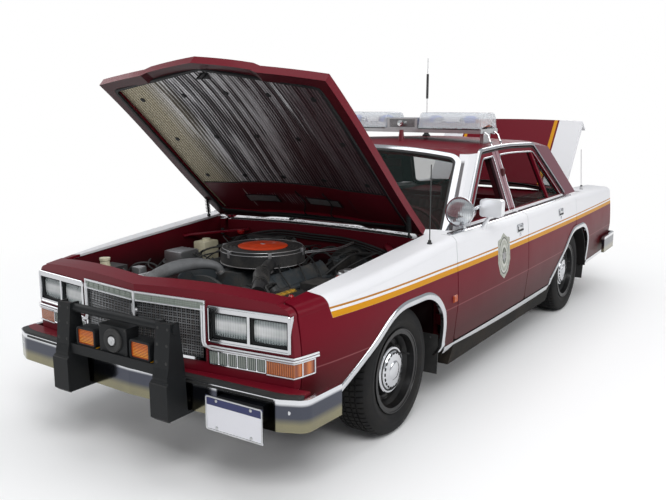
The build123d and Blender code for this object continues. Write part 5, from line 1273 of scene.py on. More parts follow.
class SEDAN_OT_tail_trim(Operator):
    """Ribs, bright frames and reversing windows of the tail lamps, and the lid lock"""

    bl_idname = "sedan.tail_trim"
    bl_label = "Tail trim"

    def execute(self, context):
        bright, clear, ribs = Maker(), Maker(), Maker()
        face = st(4.11) + 0.0105
        for side in BOTH:
            profile = ((0, -0.012), (0, 0.001), (0.003, 0.004), (0.011, 0.004), (0.014, 0.0005), (0.014, -0.003))
            line = round_box((0.427, 0.848), (0.557, 0.748), 0.012)
            bright.rim(line, profile, lambda p, d: (side * p.x, face + d, p.y))
            for z in (0.604, 0.652, 0.7):
                bright.box((side * 0.44, face - 0.001, z - 0.002), (side * 0.836, face + 0.003, z + 0.002), 0.001)
            clear.box((side * 0.445, face - 0.002, 0.657), (side * 0.53, face + 0.0018, 0.695), 0.002)
            for k in range(44):
                x = 0.448 + k * 0.0087
                ribs.tube([(side * x, face + 0.0006, z) for z in (0.573, 0.735)], 0.0014, 4)
        bright.lathe([(-0.01, 0.016), (0.004, 0.016), (0.007, 0.011), (0.0045, 0.009), (0.0045, 0)],
            (0, st(4.11), 0.75), 24, (0, 1, 0))
        bright.make("tail_lamp_frames", "chrome")
        clear.make("reversing_lamps", "marker")
        ribs.make("tail_lamp_ribs", "red")
        return {"FINISHED"}


# Wheels

WHEELS = [(end, word, side, axle) for end, axle in (("front", FRONT_AXLE_Y), ("rear", REAR_AXLE_Y))
    for side, word in SIDES]


def tyre_outline(depth):
    """Half cross-sections of a tyre as (x, radius, groove radius) from the inner bead to the outer one."""
    tread, bead, rim, top = 0.1075, 0.088, 0.2, 0.33
    wall = [(bead, rim), (bead + 0.004, rim + 0.006), (bead + 0.002, rim + 0.016), (0.1, rim + 0.032),
        (tread - 0.002, rim + 0.047),
            (tread, rim + 0.055), (tread, rim + 0.066), (tread - 0.0008, rim + 0.068), (tread - 0.0008, rim + 0.078),
            (tread - 0.002, rim + 0.085), (tread - 0.006, rim + 0.102), (tread - 0.012, top - 0.014),
                (tread - 0.018, top - 0.009)]
    side = [(x, r, r) for x, r in wall]
    shoulder = [(tread - 0.02, top - 0.0075, top - 0.0095), (0.074, top - 0.001, top - depth)]
    ribs = []
    for x in (0.046, 0.016):
        ribs += [(x + 0.007, top - 0.0004, top - depth), (x + 0.0055, top - depth, top - depth),
            (x - 0.0015, top - depth, top - depth), (x - 0.003, top - 0.0002, top - depth)]
    half = side + shoulder + ribs
    return [(-x, r, g) for x, r, g in half] + [(x, r, g) for x, r, g in reversed(half)]


class SEDAN_OT_tyres(Operator):
    """Tyres with grooved tread blocks and ribbed walls, in place of the plain ones"""

    bl_idname = "sedan.tyres"
    bl_label = "Tyres"

    def execute(self, context):
        size = sizes()
        outline = tyre_outline(size.tread_depth)
        pitch = 2 * pi / size.tread_pitches
        m = Maker()
        for end, word, side, axle in WHEELS:
            rings = []
            for k, (share, low) in product(range(size.tread_pitches), ((0, 0), (0.76, 0), (0.8, 1), (0.96, 1))):
                ring = []
                for x, *radii in outline:
                    a, r = (k + share + 5 * x) * pitch, radii[low]
                    ring.append((side * WHEEL_X + x, axle + sin(a) * r, AXLE_Z + cos(a) * r))
                rings.append(ring)
            m.skin(rings + rings[:1], closed=False)
            tyre = m.make(f"tyre_{end}_{word}", "tyre", body=f"wheel_{end}_{word}", sharp=30)
            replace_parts(tyre, f"tyre_{end[0]}{word[0]}")
        return {"FINISHED"}


class SEDAN_OT_wheel_trim(Operator):
    """Bright hub caps with dark slots, rim rings and valves"""

    bl_idname = "sedan.wheel_trim"
    bl_label = "Hub caps and rim rings"

    def execute(self, context):
        r = sizes().cap_radius
        for end, word, side, axle in WHEELS:
            out = (side, 0, 0)
            centre = (side * WHEEL_X, axle, AXLE_Z)
            m = Maker()
            cap = [(0.058, r), (0.0625, r + 0.001), (0.066, r - 0.003), (0.0665, r - 0.012), (0.0695, r - 0.02),
                (0.0765, r - 0.026), (0.0795, r - 0.034), (0.0795, r - 0.05), (0.0815, r - 0.056), (0.0815, 0.05),
                (0.085, 0.046), (0.088, 0.036), (0.0905, 0.02), (0.0915, 0)]
            m.lathe(cap, centre, 72, out)
            m.tone = 3
            for radius, at, thick in ((0.2135, 0.0975, 0.0028), (0.152, 0.0335, 0.0018)):
                m.lathe([(at - thick, radius - thick), (at, radius - thick * 1.6), (at + thick, radius - thick),
                    (at + thick, radius + thick), (at - thick, radius + thick), (at - thick, radius - thick)], centre,
                    72, out, hollow=True)
            m.tone = 1
            for a in turns(20):
                x, place = side * 0.0735, turned(centre, a * side, "X")
                m.box((x - 0.0035, -0.0085, r - 0.0365), (x + 0.0068, 0.0085, r - 0.0265), 0.002, place)
            m.tone = 2
            m.lathe([(0.045, 0.006), (0.085, 0.005), (0.092, 0.003), (0.092, 0)],
                (side * WHEEL_X, axle + 0.14, AXLE_Z + 0.05), 10, out)
            m.make(f"hub_cap_{end}_{word}", ["chrome", "black", "rubber", "wheel_black"], body=f"wheel_{end}_{word}")
            for a in turns(12):
                place = turned(centre, a * side, "X")
                hole = [(0.146 + 0.012 * cos(b), 0.026 * sin(b)) for b in turns(16)]
                m.skin([[place @ Vector((side * (0.0262 + (q - 0.14) * 0.5 + d), p, q)) for q, p in hole]
                    for d in (0, 0.0012)])
            m.make(f"rim_vents_{end}_{word}", "bay_black", body=f"wheel_{end}_{word}")
        return {"FINISHED"}


# Engine bay

def opened(anchor, degrees):
    """Matrix that turns a closed lid's point to where it stands open."""
    axis = Vector((0, st(anchor[0]), anchor[1]))
    return turned(axis, radians(degrees), "X") @ Matrix.Translation(-axis)


HOOD_AT = opened((0.56, 0.925), -44)
LID_AT = opened((3.4, 0.957), 56)
HOOD_ROWS = ((-0.96, 0.824, 0.016), (-0.85, 0.843, 0.038), (-0.2, 0.896, 0.046), (0.56, 0.945, 0.04))
COWL_ROWS = ((0.48, 0.905, 0.022), (0.64, 0.926, 0.026), (0.9, 0.95, 0.03))
DECK_ROWS = ((3.16, 0.946, 0.026), (3.4, 0.938, 0.026), (4.12, 0.901, 0.026))


def arc_share(x, half):
    return 1 - (x / half) ** 2


def ridge_share(x, half):
    """Share of the hood's crown at a distance from the centreline: a raised middle, a step and two shoulders."""
    x = abs(x)
    if x < 0.33:
        return 1 - 0.38 * (x / 0.33) ** 2
    if x < 0.372:
        return 0.62 - 0.32 * (x - 0.33) / 0.042
    t = (half - x) / (half - 0.372)
    return 0.5 * t - 0.2 * t * t


def crowned_z(rows, half, x, station, share=arc_share):
    """Height of a crowned panel, from its (station, edge height, crown) rows."""
    for (s0, z0, c0), (s1, z1, c1) in zip(rows, rows[1:]):
        if station <= s1 or (s1, z1, c1) == rows[-1]:
            t = (station - s0) / (s1 - s0)
            return z0 + (z1 - z0) * t + (c0 + (c1 - c0) * t) * share(x, half)


def cap(m, x, station, z, radius, height, sides=20):
    """Round screw cap with a grip edge, standing upright."""
    m.lathe([(0, radius * 0.8), (height * 0.3, radius * 0.8), (height * 0.3, radius), (height * 0.9, radius),
        (height, radius * 0.86), (height, 0)], (x, st(station), z), sides)


def route(*points):
    """Points of a hose or lead given as (x, station, z)."""
    return [(x, st(s), z) for x, s, z in points]


AIR_CENTRE = (0.055, -0.06)


class SEDAN_OT_air_cleaner_parts(Operator):
    """Orange disc, wing nut, rolled rim and clips of the air cleaner"""

    bl_idname = "sedan.air_cleaner_parts"
    bl_label = "Air cleaner parts"

    def execute(self, context):
        x, station = AIR_CENTRE
        m = Maker()
        m.lathe([(-0.0085, 0.134), (-0.0045, 0.135), (-0.001, 0.128), (0.0012, 0.1), (0.0005, 0.05), (0.0026, 0.044),
            (0.0026, 0)], (x, st(station), 0.907), 56)
        m.make("air_cleaner_disc", "orange")
        m.lathe([(0, 0.007), (0.004, 0.006), (0.005, 0)], (x, st(station), 0.9085), 12)
        m.box((x - 0.016, st(station) - 0.0015, 0.9095), (x + 0.016, st(station) + 0.0015, 0.9135), 0.0008)
        for r, z in ((0.2175, 0.8985), (0.229, 0.884), (0.229, 0.821)):
            m.tube([(x + r * cos(a), st(station) + r * sin(a), z) for a in [*turns(48), 0]], 0.0022, 6, smooth=0)
        for a in turns(6):
            place = turned((x, st(station), 0.892), a + 0.3, "Z")
            m.box((0.212, -0.009, -0.03), (0.2325, 0.009, 0.009), 0.002, place)
        m.make("air_cleaner_rims", "steel")
        for r in (0.15, 0.17, 0.19):
            m.lathe([(0, r - 0.007), (0.0026, r - 0.003), (0.0026, r + 0.003), (0, r + 0.007)],
                (x, st(station), 0.8976), 48, hollow=True)
        m.tube(route((0.285, -0.345, 0.838), (0.32, -0.42, 0.835), (0.39, -0.5, 0.83), (0.44, -0.585, 0.8)), 0.034,
            16)
        for k in range(9):
            t = k / 8
            place = Vector((0.3 + 0.12 * t, st(-0.375 - 0.17 * t), 0.8365 - 0.014 * t))
            m.tube([place + Vector((cos(a) * 0.8, cos(a) * 0.62, sin(a) * 1)) * 0.0365 for a in [*turns(18), 0]],
                0.003, 5, smooth=0)
        m.make("air_intake_hose", "bay_black")
        return {"FINISHED"}


class SEDAN_OT_bay_hoses(Operator):
    """Radiator and heater hoses with clamps, the radiator cap and the coolant line"""

    bl_idname = "sedan.bay_hoses"
    bl_label = "Hoses and caps"

    def execute(self, context):
        m = Maker()
        top = route((-0.15, -0.734, 0.776), (-0.15, -0.69, 0.812), (-0.135, -0.56, 0.84), (-0.09, -0.43, 0.848),
            (-0.03, -0.35, 0.83), (-0.01, -0.325, 0.79))
        m.tube(top, lambda t: 0.022 + 0.012 * sin(pi * min(1, t * 1.15)) ** 2, 20, 6)
        m.tube(route((0.19, -0.72, 0.5), (0.2, -0.62, 0.47), (0.17, -0.52, 0.5), (0.1, -0.45, 0.56)), 0.022, 16, 6)
        for side in (0, 1):
            x = -0.2 - 0.06 * side
            m.tube(route((x, 0.39, 0.72), (x, 0.33, 0.74), (-0.4, 0.22, 0.7 + 0.03 * side),
                (-0.41, -0.1, 0.66 + 0.03 * side), (-0.3, -0.33, 0.64), (-0.12, -0.36, 0.62)), 0.011, 12, 5)
        m.tube(route((0.6, -0.325, 0.8), (0.52, -0.45, 0.78), (0.3, -0.66, 0.775), (0.02, -0.72, 0.775),
            (-0.1, -0.735, 0.78)), 0.006, 8)
        m.make("coolant_hoses", "grey")
        for p, q in ((top[0], top[1]), (top[-1], top[-2])):
            p, q = Vector(p), Vector(q)
            m.lathe([(0.008, 0.0225), (0.02, 0.0225), (0.02, 0.0205)], p, 24, q - p, hollow=True)
        cap(m, 0.16, -0.734, 0.757, 0.033, 0.017)
        cap(m, 0.2, -0.2, 0.792, 0.026, 0.02)
        for k in range(11):
            m.box((-0.33, st(-0.765 + k * 0.0042), 0.7575), (0.33, st(-0.763 + k * 0.0042), 0.7605))
        m.box((-0.036, st(-0.782), 0.797), (0.036, st(-0.766), 0.838), 0.003)
        m.tube(route((-0.02, -0.775, 0.835), (-0.02, -0.775, 0.85), (0.02, -0.775, 0.85), (0.02, -0.775, 0.835)),
            0.004, 8, smooth=0)
        m.make("radiator_fittings", "steel")
        return {"FINISHED"}


class SEDAN_OT_bay_leads(Operator):
    """Plug leads, distributor, wiring looms, battery leads and brake lines"""

    bl_idname = "sedan.bay_leads"
    bl_label = "Leads and looms"

    def execute(self, context):
        m = Maker()
        hub = (0, st(0.21), 0.845)
        m.lathe([(-0.09, 0.03), (-0.05, 0.038), (-0.02, 0.052), (0.004, 0.052), (0.02, 0.04), (0.024, 0)], hub, 24)
        for side, k in product(BOTH, range(4)):
            a = pi / 2 - side * (0.35 + 0.5 * k)
            start = Vector(hub) + Vector((cos(a) * 0.038, sin(a) * 0.038, 0.02))
            station = -0.24 + 0.14 * k
            m.tube([start, start + Vector((side * 0.03, 0, 0.03)),
                (side * 0.16, st(0.12 - 0.02 * k), 0.85 + 0.008 * k),
                (side * (0.262 + 0.02 * (k % 2)), st(station + 0.05), 0.832), (side * 0.372, st(station), 0.74),
                (side * 0.35, st(station), 0.66)], 0.0042, 7, 5)
        for k, drop in enumerate((0, 0.016, 0.03)):
            m.tube(route((0.66, 0.3, 0.74 - drop), (0.6, 0.47, 0.8 - drop), (0.3, 0.488, 0.872 - drop),
                (0, 0.49, 0.88 - drop), (-0.3, 0.49, 0.876 - drop), (-0.62, 0.46, 0.8 - drop)), 0.0065 - 0.001 * k, 8,
                5)
        m.tube(route((0.52, -0.6, 0.806), (0.47, -0.56, 0.83), (0.4, -0.4, 0.8), (0.3, -0.36, 0.74)), 0.006, 8)
        m.tube(route((0.46, -0.72, 0.77), (0.2, -0.745, 0.79), (-0.2, -0.745, 0.79), (-0.5, -0.73, 0.76)), 0.008, 8)
        m.tube(route((-0.56, 0.06, 0.76), (-0.5, 0.14, 0.8), (-0.34, 0.16, 0.82), (-0.24, 0.05, 0.8)), 0.006, 8)
        for k in range(16):
            x = -0.6 + 0.075 * k
            dip = 0.03 * sin(k * 2.3)
            m.tube(route((x, 0.47, 0.79 + dip), (x + 0.05 * sin(k * 1.7), 0.36, 0.835 + 0.02 * sin(k * 3.1)),
                (x * 0.8 + 0.06 * cos(k * 1.3), 0.22, 0.8 + dip), (x * 0.7, 0.12, 0.72)), 0.0035 + 0.0025 * (k % 3),
                7, 5)
        for k in range(9):
            s = -0.55 + 0.11 * k
            m.tube(route((-0.63, s, 0.7), (-0.57, s + 0.04, 0.775 + 0.01 * (k % 3)),
                (-0.47, s + 0.1 * sin(k * 1.9), 0.78), (-0.37, s + 0.03, 0.7)), 0.004 + 0.002 * (k % 2), 7, 5)
        m.make("bay_leads", "rubber")
        m.tube(route((0.64, -0.6, 0.806), (0.7, -0.5, 0.79), (0.71, -0.1, 0.72), (0.69, 0.3, 0.73)), 0.0055, 8)
        for x, station in ((0.64, -0.6), (0.605, -0.16)):
            m.lathe([(-0.004, 0.014), (0.012, 0.013), (0.018, 0.008), (0.018, 0)], (x, st(station), 0.803), 14)
        cap(m, -0.52, 0.44, 0.845, 0.024, 0.022)
        m.make("red_lead_and_caps", "red")
        for k in range(3):
            x = 0.29 + 0.03 * k
            m.tube(route((x, 0.25 + 0.05 * k, 0.7), (0.36 + 0.01 * k, 0.24 + 0.05 * k, 0.7),
                (0.42, 0.28 + 0.03 * k, 0.6), (0.425, 0.3, 0.45)), 0.003, 6)
        for z in (0.86, 0.868):
            m.tube(route((0.1, -0.14, z - 0.03), (0.24, 0.05, z), (0.3, 0.3, z - 0.01), (0.305, 0.47, z)), 0.0028, 6)
        m.make("brake_and_throttle_lines", "steel")
        return {"FINISHED"}


class SEDAN_OT_bay_fitting_parts(Operator):
    """Caps, lids, rims and bolts of the battery, jars, booster, heater and engine, and more shelf boxes"""

    bl_idname = "sedan.bay_fitting_parts"
    bl_label = "Battery, jars and boxes"

    def execute(self, context):
        m = Maker()
        for k in range(6):
            cap(m, 0.55, -0.645 + 0.036 * k, 0.7995, 0.013, 0.008, 14)
        m.box((0.53, st(-0.64), 0.8), (0.572, st(-0.46), 0.8035), 0.001)
        m.make("yellow_battery_caps", "gold")
        m.box((-0.66, st(0.15), 0.6905), (-0.565, st(0.28), 0.825), 0.014)
        m.lathe([(0, 0.03), (0.02, 0.026), (0.035, 0.024), (0.04, 0.028), (0.052, 0.028), (0.052, 0)],
            (-0.605, st(-0.58), 0.795), 24)
        m.lathe([(-0.002, 0.027), (0.012, 0.025), (0.015, 0)], (-0.61, st(0.215), 0.825), 24)
        m.make("pale_jars", "pale")
        m.box((-0.635, st(-0.12), 0.6905), (-0.5, st(0.03), 0.81), 0.006)
        for k in range(5):
            m.box((-0.625 + 0.026 * k, st(-0.11), 0.809), (-0.61 + 0.026 * k, st(0.02), 0.8135), 0.001)
        m.lathe([(0, 0.062), (0.12, 0.062), (0.132, 0.055), (0.135, 0.03), (0.142, 0.028), (0.142, 0)],
            (0.6, st(-0.05), 0.6905), 32)
        m.lathe([(0, 0.045), (0.09, 0.045), (0.1, 0.03), (0.1, 0)], (0.62, st(0.12), 0.6905), 28)
        m.box((-0.53, st(-0.47), 0.7), (-0.47, st(-0.41), 0.79), 0.012)
        m.lathe([(-0.05, 0.03), (-0.04, 0.045), (0.04, 0.045), (0.05, 0.03), (0.05, 0)], (-0.36, st(-0.52), 0.74), 24,
            (0, 1, 0))
        m.box((-0.4, st(-0.57), 0.69), (-0.32, st(-0.47), 0.71), 0.004)
        m.make("shelf_boxes", "aluminium")
        m.lathe([(-0.004, 0.1195), (0.004, 0.1215), (0.012, 0.1195)], (0.305, st(0.43), 0.725), 40, (0, -1, 0),
            hollow=True)
        m.box((0.27, st(0.25), 0.7855), (0.34, st(0.385), 0.797), 0.004)
        for station in (0.285, 0.35):
            cap(m, 0.305, station, 0.797, 0.022, 0.012)
        for x, z in product((-0.4, -0.29, -0.175), (0.665, 0.745, 0.825)):
            m.lathe([(-0.002, 0.008), (0.004, 0.008), (0.007, 0.004), (0.007, 0)], (x, st(0.386), z), 8, (0, -1, 0))
        for side in BOTH:
            for k in range(6):
                station = -0.29 + 0.092 * k
                for off in (-0.052, 0.052):
                    place = turned((side * (0.288 + off * 0.707), st(station), 0.743 - off * 0.707),
                        side * radians(45), "Y")
                    m.lathe([(0.024, 0.007), (0.033, 0.007), (0.035, 0)], place.translation, 6, own_z(place))
            place = turned((side * 0.288, st(-0.06), 0.743), side * radians(45), "Y")
            m.box((-0.034, -0.22, 0.029), (0.034, 0.22, 0.034), 0.003, place)
            for k in range(4):
                m.tube(route((side * 0.37, -0.27 + 0.14 * k, 0.63), (side * 0.4, -0.26 + 0.14 * k, 0.58),
                    (side * 0.385, -0.24 + 0.14 * k, 0.52)), 0.021, 12)
        m.make("bay_bolts_and_lids", "cast")
        for pulleys in (((0, 0.455, 0.086), (0, 0.59, 0.071)),
                ((0, 0.455, 0.08), (0.235, 0.7, 0.069), (0, 0.59, 0.066))):
            station = -0.425 if len(pulleys) == 2 else -0.41
            line = []
            for i, (x, z, r) in enumerate(pulleys):
                others = [Vector((p[0] - x, p[1] - z)) for j, p in enumerate(pulleys) if j != i]
                away = -sum((o.normalized() for o in others), Vector((0, 0)))
                middle = atan2(away.y, away.x)
                spread_angle = 1.35 if len(pulleys) == 2 else 1
                line += [Vector((x + r * cos(a), z + r * sin(a))) for a in [middle + spread_angle * (k / 5 - 1)
                    for k in range(11)]]
            centre = sum(line, Vector((0, 0))) / len(line)
            line.sort(key=lambda p: atan2(p.y - centre.y, p.x - centre.x))
            rings = [[Vector((p.x + (p.x - centre.x) * t * 0.04, st(station) + d, p.y + (p.y - centre.y) * t * 0.04))
                for d, t in ((-0.006, 0), (0.006, 0), (0.005, 1), (-0.005, 1))] for p in line]
            m.skin(rings + rings[:1], caps=False)
        m.make("fan_belts", "rubber")
        return {"FINISHED"}


class SEDAN_OT_bay_body_parts(Operator):
    """Corner braces, hood springs, bump stops, cowl slots and the cowl seal"""

    bl_idname = "sedan.bay_body_parts"
    bl_label = "Braces, springs and cowl slots"

    def execute(self, context):
        m = Maker()
        for side in BOTH:
            path = [flip(side, *p) for p in route((0.75, 0.16, 0.845), (0.735, 0.2, 0.85), (0.54, 0.46, 0.862),
                (0.51, 0.502, 0.862))]
            m.sweep(path, Vector((0, 0, 1)), [(-0.003, -0.019), (0.003, -0.019), (0.007, -0.012), (0.007, 0.012),
                (0.003, 0.019), (-0.003, 0.019)])
            for p in (path[0], path[-1]):
                m.lathe([(0.004, 0.009), (0.011, 0.009), (0.013, 0.004), (0.013, 0)], p, 8)
            for s in spread(-0.68, 0.44, 0.16):
                m.lathe([(-0.001, 0.008), (0.004, 0.008), (0.007, 0.004), (0.007, 0)], at(side, 0.722, s, 0.69), 8)
            rise = [(0.447, -0.72, 0.55), (0.447, -0.5, 0.6), (0.447, -0.3, 0.665), (0.447, 0.3, 0.665),
                (0.447, 0.48, 0.6)]
            m.tube([flip(side, *p) for p in route(*rise)], 0.006, 8)
        m.make("corner_braces", "maroon")
        for side in BOTH:
            low, high = at(side, 0.72, 0.365, 0.955), at(side, 0.72, 0.345, 1.1)
            m.tube([low, high], 0.006, 8)
            coil = []
            for k in range(97):
                round_about = Vector((cos(k * pi / 4), sin(k * pi / 4), 0))
                coil.append(low.lerp(high, 0.12 + 0.76 * k / 96) + round_about * 0.0135)
            m.tube(coil, 0.0022, 5, smooth=0)
            for p in (low, high):
                m.lathe([(-0.006, 0.01), (0.006, 0.01), (0.006, 0)], p, 12, (1, 0, 0))
        m.make("hood_springs", "black", body="hood")
        for (low, high), k in product(((0.536, 0.548), (0.562, 0.574)), range(30)):
            x = -0.58 + k * 0.04
            corners = [(x, low), (x + 0.03, low), (x + 0.03, high), (x, high)]
            m.skin([[Vector((p, st(s), crowned_z(COWL_ROWS, 0.83, p, s) + h)) for p, s in corners]
                for h in (-0.002, 0.0006)])
        for side, (station, z) in product(BOTH, ((0.485, 0.868), (-0.66, 0.79))):
            m.lathe([(-0.03, 0.012), (0, 0.012), (0.008, 0.009), (0.01, 0)], at(side, 0.715, station, z - 0.02), 14)
        path = [(x, st(0.515), crowned_z(COWL_ROWS, 0.83, x, 0.515) + 0.002) for x in spread(-0.66, 0.66, 0.06)]
        m.sweep(path, Vector((0, 0, 1)), [(-0.002, -0.006), (0.006, -0.005), (0.008, 0), (0.006, 0.005),
            (-0.002, 0.006)])
        m.make("cowl_slots_and_stops", "rubber")
        return {"FINISHED"}


def blanket_tree():
    """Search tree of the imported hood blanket, which the underside's pieces follow."""
    node = frame["nodes"]["hood_blanket"]
    mesh = bmesh.new()
    mesh.from_mesh(node.data)
    mesh.transform(node.matrix_world)
    tree = BVHTree.FromBMesh(mesh)
    mesh.free()
    return tree


BLANKET = blanket_tree()
BLANKET_DROP = 0.0223


def hood_under(x, station, drop):
    """Place on the open hood's underside, a distance below the skin."""
    near_x = max(-0.652, min(0.652, x))
    near_s = max(-0.772 + 0.154 * abs(near_x), min(0.43, station))
    hit = BLANKET.ray_cast(HOOD_AT @ Vector((near_x, st(near_s), 0.6)), own_z(HOOD_AT))[0]
    z = (HOOD_AT.inverted() @ hit).z + BLANKET_DROP
    z += crowned_z(HOOD_ROWS, 0.738, x, station, ridge_share) - crowned_z(HOOD_ROWS, 0.738, near_x, near_s,
        ridge_share)
    return HOOD_AT @ Vector((x, st(station), z - drop))


class SEDAN_OT_hood_underside(Operator):
    """Clips, washer hoses, striker and the pressed rim round the hood blanket"""

    bl_idname = "sedan.hood_underside"
    bl_label = "Hood underside"

    def execute(self, context):
        m = Maker()
        down = HOOD_AT.to_3x3() @ Vector((0, 0, -1))
        edge = [(-0.67, 0.432), (-0.655, -0.685), (0, -0.79), (0.655, -0.685), (0.67, 0.432)]
        line = [p.to_2d() for p in rounded(edge, [0.03] * 5, 5)]
        rings = []
        for inset, drop in ((-0.006, 0.036), (-0.004, 0.046), (0.01, 0.047), (0.014, 0.04), (0.016, 0.024)):
            rings.append([hood_under(p.x, p.y, drop + 0.002) for p in grown(line, -inset)])
        m.skin(rings, caps=False)
        path = [hood_under(x, 0.445, 0.0475) for x in spread(-0.66, 0.66, 0.06)]
        m.sweep(path, down, [(-0.003, -0.012), (0.004, -0.011), (0.004, 0.011), (-0.003, 0.012)])
        for x in (0.02, 0.21):
            m.tube([hood_under(x, 0.2, 0.031), hood_under(x + 0.02, 0.3, 0.04), hood_under(x - 0.03, 0.4, 0.053),
                hood_under(x + 0.01, 0.478, 0.05)], 0.004, 7, 5)
        m.box((-0.03, -0.02, 0), (0.03, 0.02, 0.004), 0.002, turned(hood_under(0, -0.745, 0.048), radians(-44), "X"))
        m.tube([hood_under(-0.018, -0.755, 0.047), hood_under(-0.018, -0.76, 0.078), hood_under(0.018, -0.76, 0.078),
            hood_under(0.018, -0.755, 0.047)], 0.0045, 8, smooth=0)
        m.make("hood_rim_and_hoses", "black", body="hood")
        m, grid = Maker(), []
        for k in range(-211, 212):
            x = k * 0.00315
            drop = 0.0205 - 0.0018 * cos(2 * pi * k / 6)
            column = [(s, drop) for s in spread(-0.787 + 0.15 * abs(x), 0.432, 0.06)]
            column = [(column[0][0], 0.009), *column, (column[-1][0], 0.009)]
            grid.append([hood_under(x, s, d) for s, d in column])
        m.skin(grid, closed=False)
        blanket = m.make("hood_blanket_ribbed", "foil", body="hood", sharp=60)
        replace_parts(blanket, "hood_blanket")
        m = Maker()
        rows = []
        for s, drop in ((0.138, 0.0228), (0.142, 0.0255), (0.15, 0.026), (0.43, 0.026)):
            rows.append([hood_under(x, s + 0.02 * (x / 0.64) ** 2, drop) for x in spread(-0.64, 0.64, 0.08)])
        m.skin(rows, closed=False)
        for centre, (tone, half, (near, far), drop) in product((-0.27, 0.17),
                ((1, 0.118, (0.262, 0.334), 0.0272), (2, 0.108, (0.27, 0.326), 0.0278))):
            m.tone = tone
            m.skin([[hood_under(centre + x, s, d) for s,
                d in ((near, 0.0255), (near, drop), (far, drop), (far, 0.0255))] for x in spread(-half, half, 0.054)])
        m.tone = 1
        m.tube([hood_under(x, 0.134 + 0.02 * (x / 0.64) ** 2, 0.0245) for x in spread(-0.64, 0.64, 0.08)], 0.0032, 8,
            smooth=0)
        m.make("hood_rear_panel", ["inner", "black", "steel"], body="hood")
        for x, station in product(spread(-0.56, 0.56, 0.28), (-0.58, -0.25, 0.08)):
            m.lathe([(-0.001, 0.015), (0.002, 0.013), (0.003, 0.005), (0.003, 0)], hood_under(x, station, 0.0235), 16,
                down)
        m.make("blanket_clips", "black", body="hood")
        return {"FINISHED"}


# Cabin

def inward(line, by):
    """A closed (station, z) outline made smaller all round, whichever way it runs."""
    area = sum(a.x * b.y - b.x * a.y for a, b in zip(line, line[1:] + line[:1]))
    return grown(line, by if area > 0 else -by)


def cushion(name, outline, radii, centre_x, half, tufted, pitch=0.062, depth=0.007, soft=0.045):
    """Padded piece: a (station, z) outline carried across, with rounded ends, a crown and sewn pleats."""
    line = [p.to_2d() for p in rounded(outline, radii, 5)]
    if tufted:
        line = fine_line(line + line[:1], 0.03)[:-1]
    small, turn = inward(line, 0.01), Vector(tufted or (0, 1))
    outward = [(a - b).normalized() for a, b in zip(line, small)]
    m, rings = Maker(), []
    for x in spread(-half, half, pitch / 6):
        end = max(0, 1 - (half - abs(x)) / soft)
        cut = inward(line, soft * 0.8 * (1 - sqrt(max(0, 1 - min(end, 0.985) ** 2))))
        seam = abs((x / pitch) % 1 - 0.5) * 2 if tufted else 0
        hollow = 1 - 0.35 * exp(-((abs(x) - half * 0.55) / 0.16) ** 2)
        lift = 0.014 * (1 - (x / half) ** 2) * hollow - depth * seam ** 6
        rings.append([Vector((centre_x + x, st(p.x + o.x * lift * w), p.y + o.y * lift * w))
            for p, o, w in ((p, o, max(0, o.dot(turn)) ** 0.5) for p, o in zip(cut, outward))])
    m.skin(rings)
    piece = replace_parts(m.make(name, "vinyl", sharp=60), "seats")


class SEDAN_OT_seats(Operator):
    """Pleated bench seats, headrests, seat frames and the belts"""

    bl_idname = "sedan.seats"
    bl_label = "Seats and belts"

    def execute(self, context):
        backs = (0.03, 0.06, 0.04, 0.04, 0.03)
        for name, outline, radii, half, tufted in (
                ("front_seat_cushion", ((1.155, 0.33), (1.15, 0.45), (1.2, 0.475), (1.62, 0.45), (1.66, 0.33)),
                 (0.03, 0.05, 0.04, 0.05, 0.02), 0.64, (0, 1)),
                ("front_seat_back", ((1.6, 0.435), (1.745, 0.88), (1.79, 0.915), (1.845, 0.88), (1.72, 0.435)),
                 backs, 0.64, (-1, 0.3)),
                ("rear_seat_cushion", ((2.075, 0.3), (2.07, 0.44), (2.12, 0.465), (2.54, 0.44), (2.58, 0.3)),
                 (0.02, 0.05, 0.04, 0.05, 0.02), 0.6, (0, 1)),
                ("rear_seat_back", ((2.52, 0.425), (2.655, 0.86), (2.7, 0.885), (2.76, 0.86), (2.62, 0.425)),
                 backs, 0.6, (-1, 0.3))):
            cushion(name, outline, radii, 0, half, tufted)
        for side, word in SIDES:
            cushion(f"headrest_{word}", ((1.765, 0.96), (1.785, 1.1), (1.845, 1.11), (1.855, 0.965)),
                (0.03, 0.035, 0.035, 0.03), side * SEAT_X, 0.135, None)
        m = Maker()
        for x in (-0.5, 0.5):
            m.box((x - 0.02, st(1.2), 0.232), (x + 0.02, st(1.64), 0.25), 0.003)
            for station in (1.25, 1.58):
                m.box((x - 0.015, st(station - 0.02), 0.248), (x + 0.015, st(station + 0.02), 0.36), 0.003)
        for side, off in product(BOTH, (-0.06, 0.06)):
            m.tube([(side * SEAT_X + off, st(1.8), 0.86), (side * SEAT_X + off, st(1.81), 1)], 0.006, 10)
        m.make("seat_frames", "chrome")
        for side in BOTH:
            for path in (((0.727, 1.69, 1.2), (0.7, 1.72, 1.05), (0.66, 1.8, 0.8), (0.655, 1.8, 0.45),
                    (0.65, 1.76, 0.25)), ((0.655, 2.72, 0.9), (0.63, 2.66, 0.85), (0.61, 2.56, 0.6),
                    (0.61, 2.5, 0.5))):
                line = smooth_path([at(side, x, s, z) for x, s, z in path], 5)
                m.sweep(line, Vector((side, -0.3, 0)), [(-0.001, -0.024), (0.001, -0.024), (0.001, 0.024),
                    (-0.001, 0.024)])
            m.box((side * 0.72, st(1.672), 1.18), (side * 0.742, st(1.708), 1.23), 0.004)
        m.make("seat_belts", "carpet")
        return {"FINISHED"}


DASH_FACE = Matrix(((-1, 0, 0, 0), (0, -0.298, 0.955, 0), (0, 0.955, 0.298, 0), (0, 0, 0, 1)))


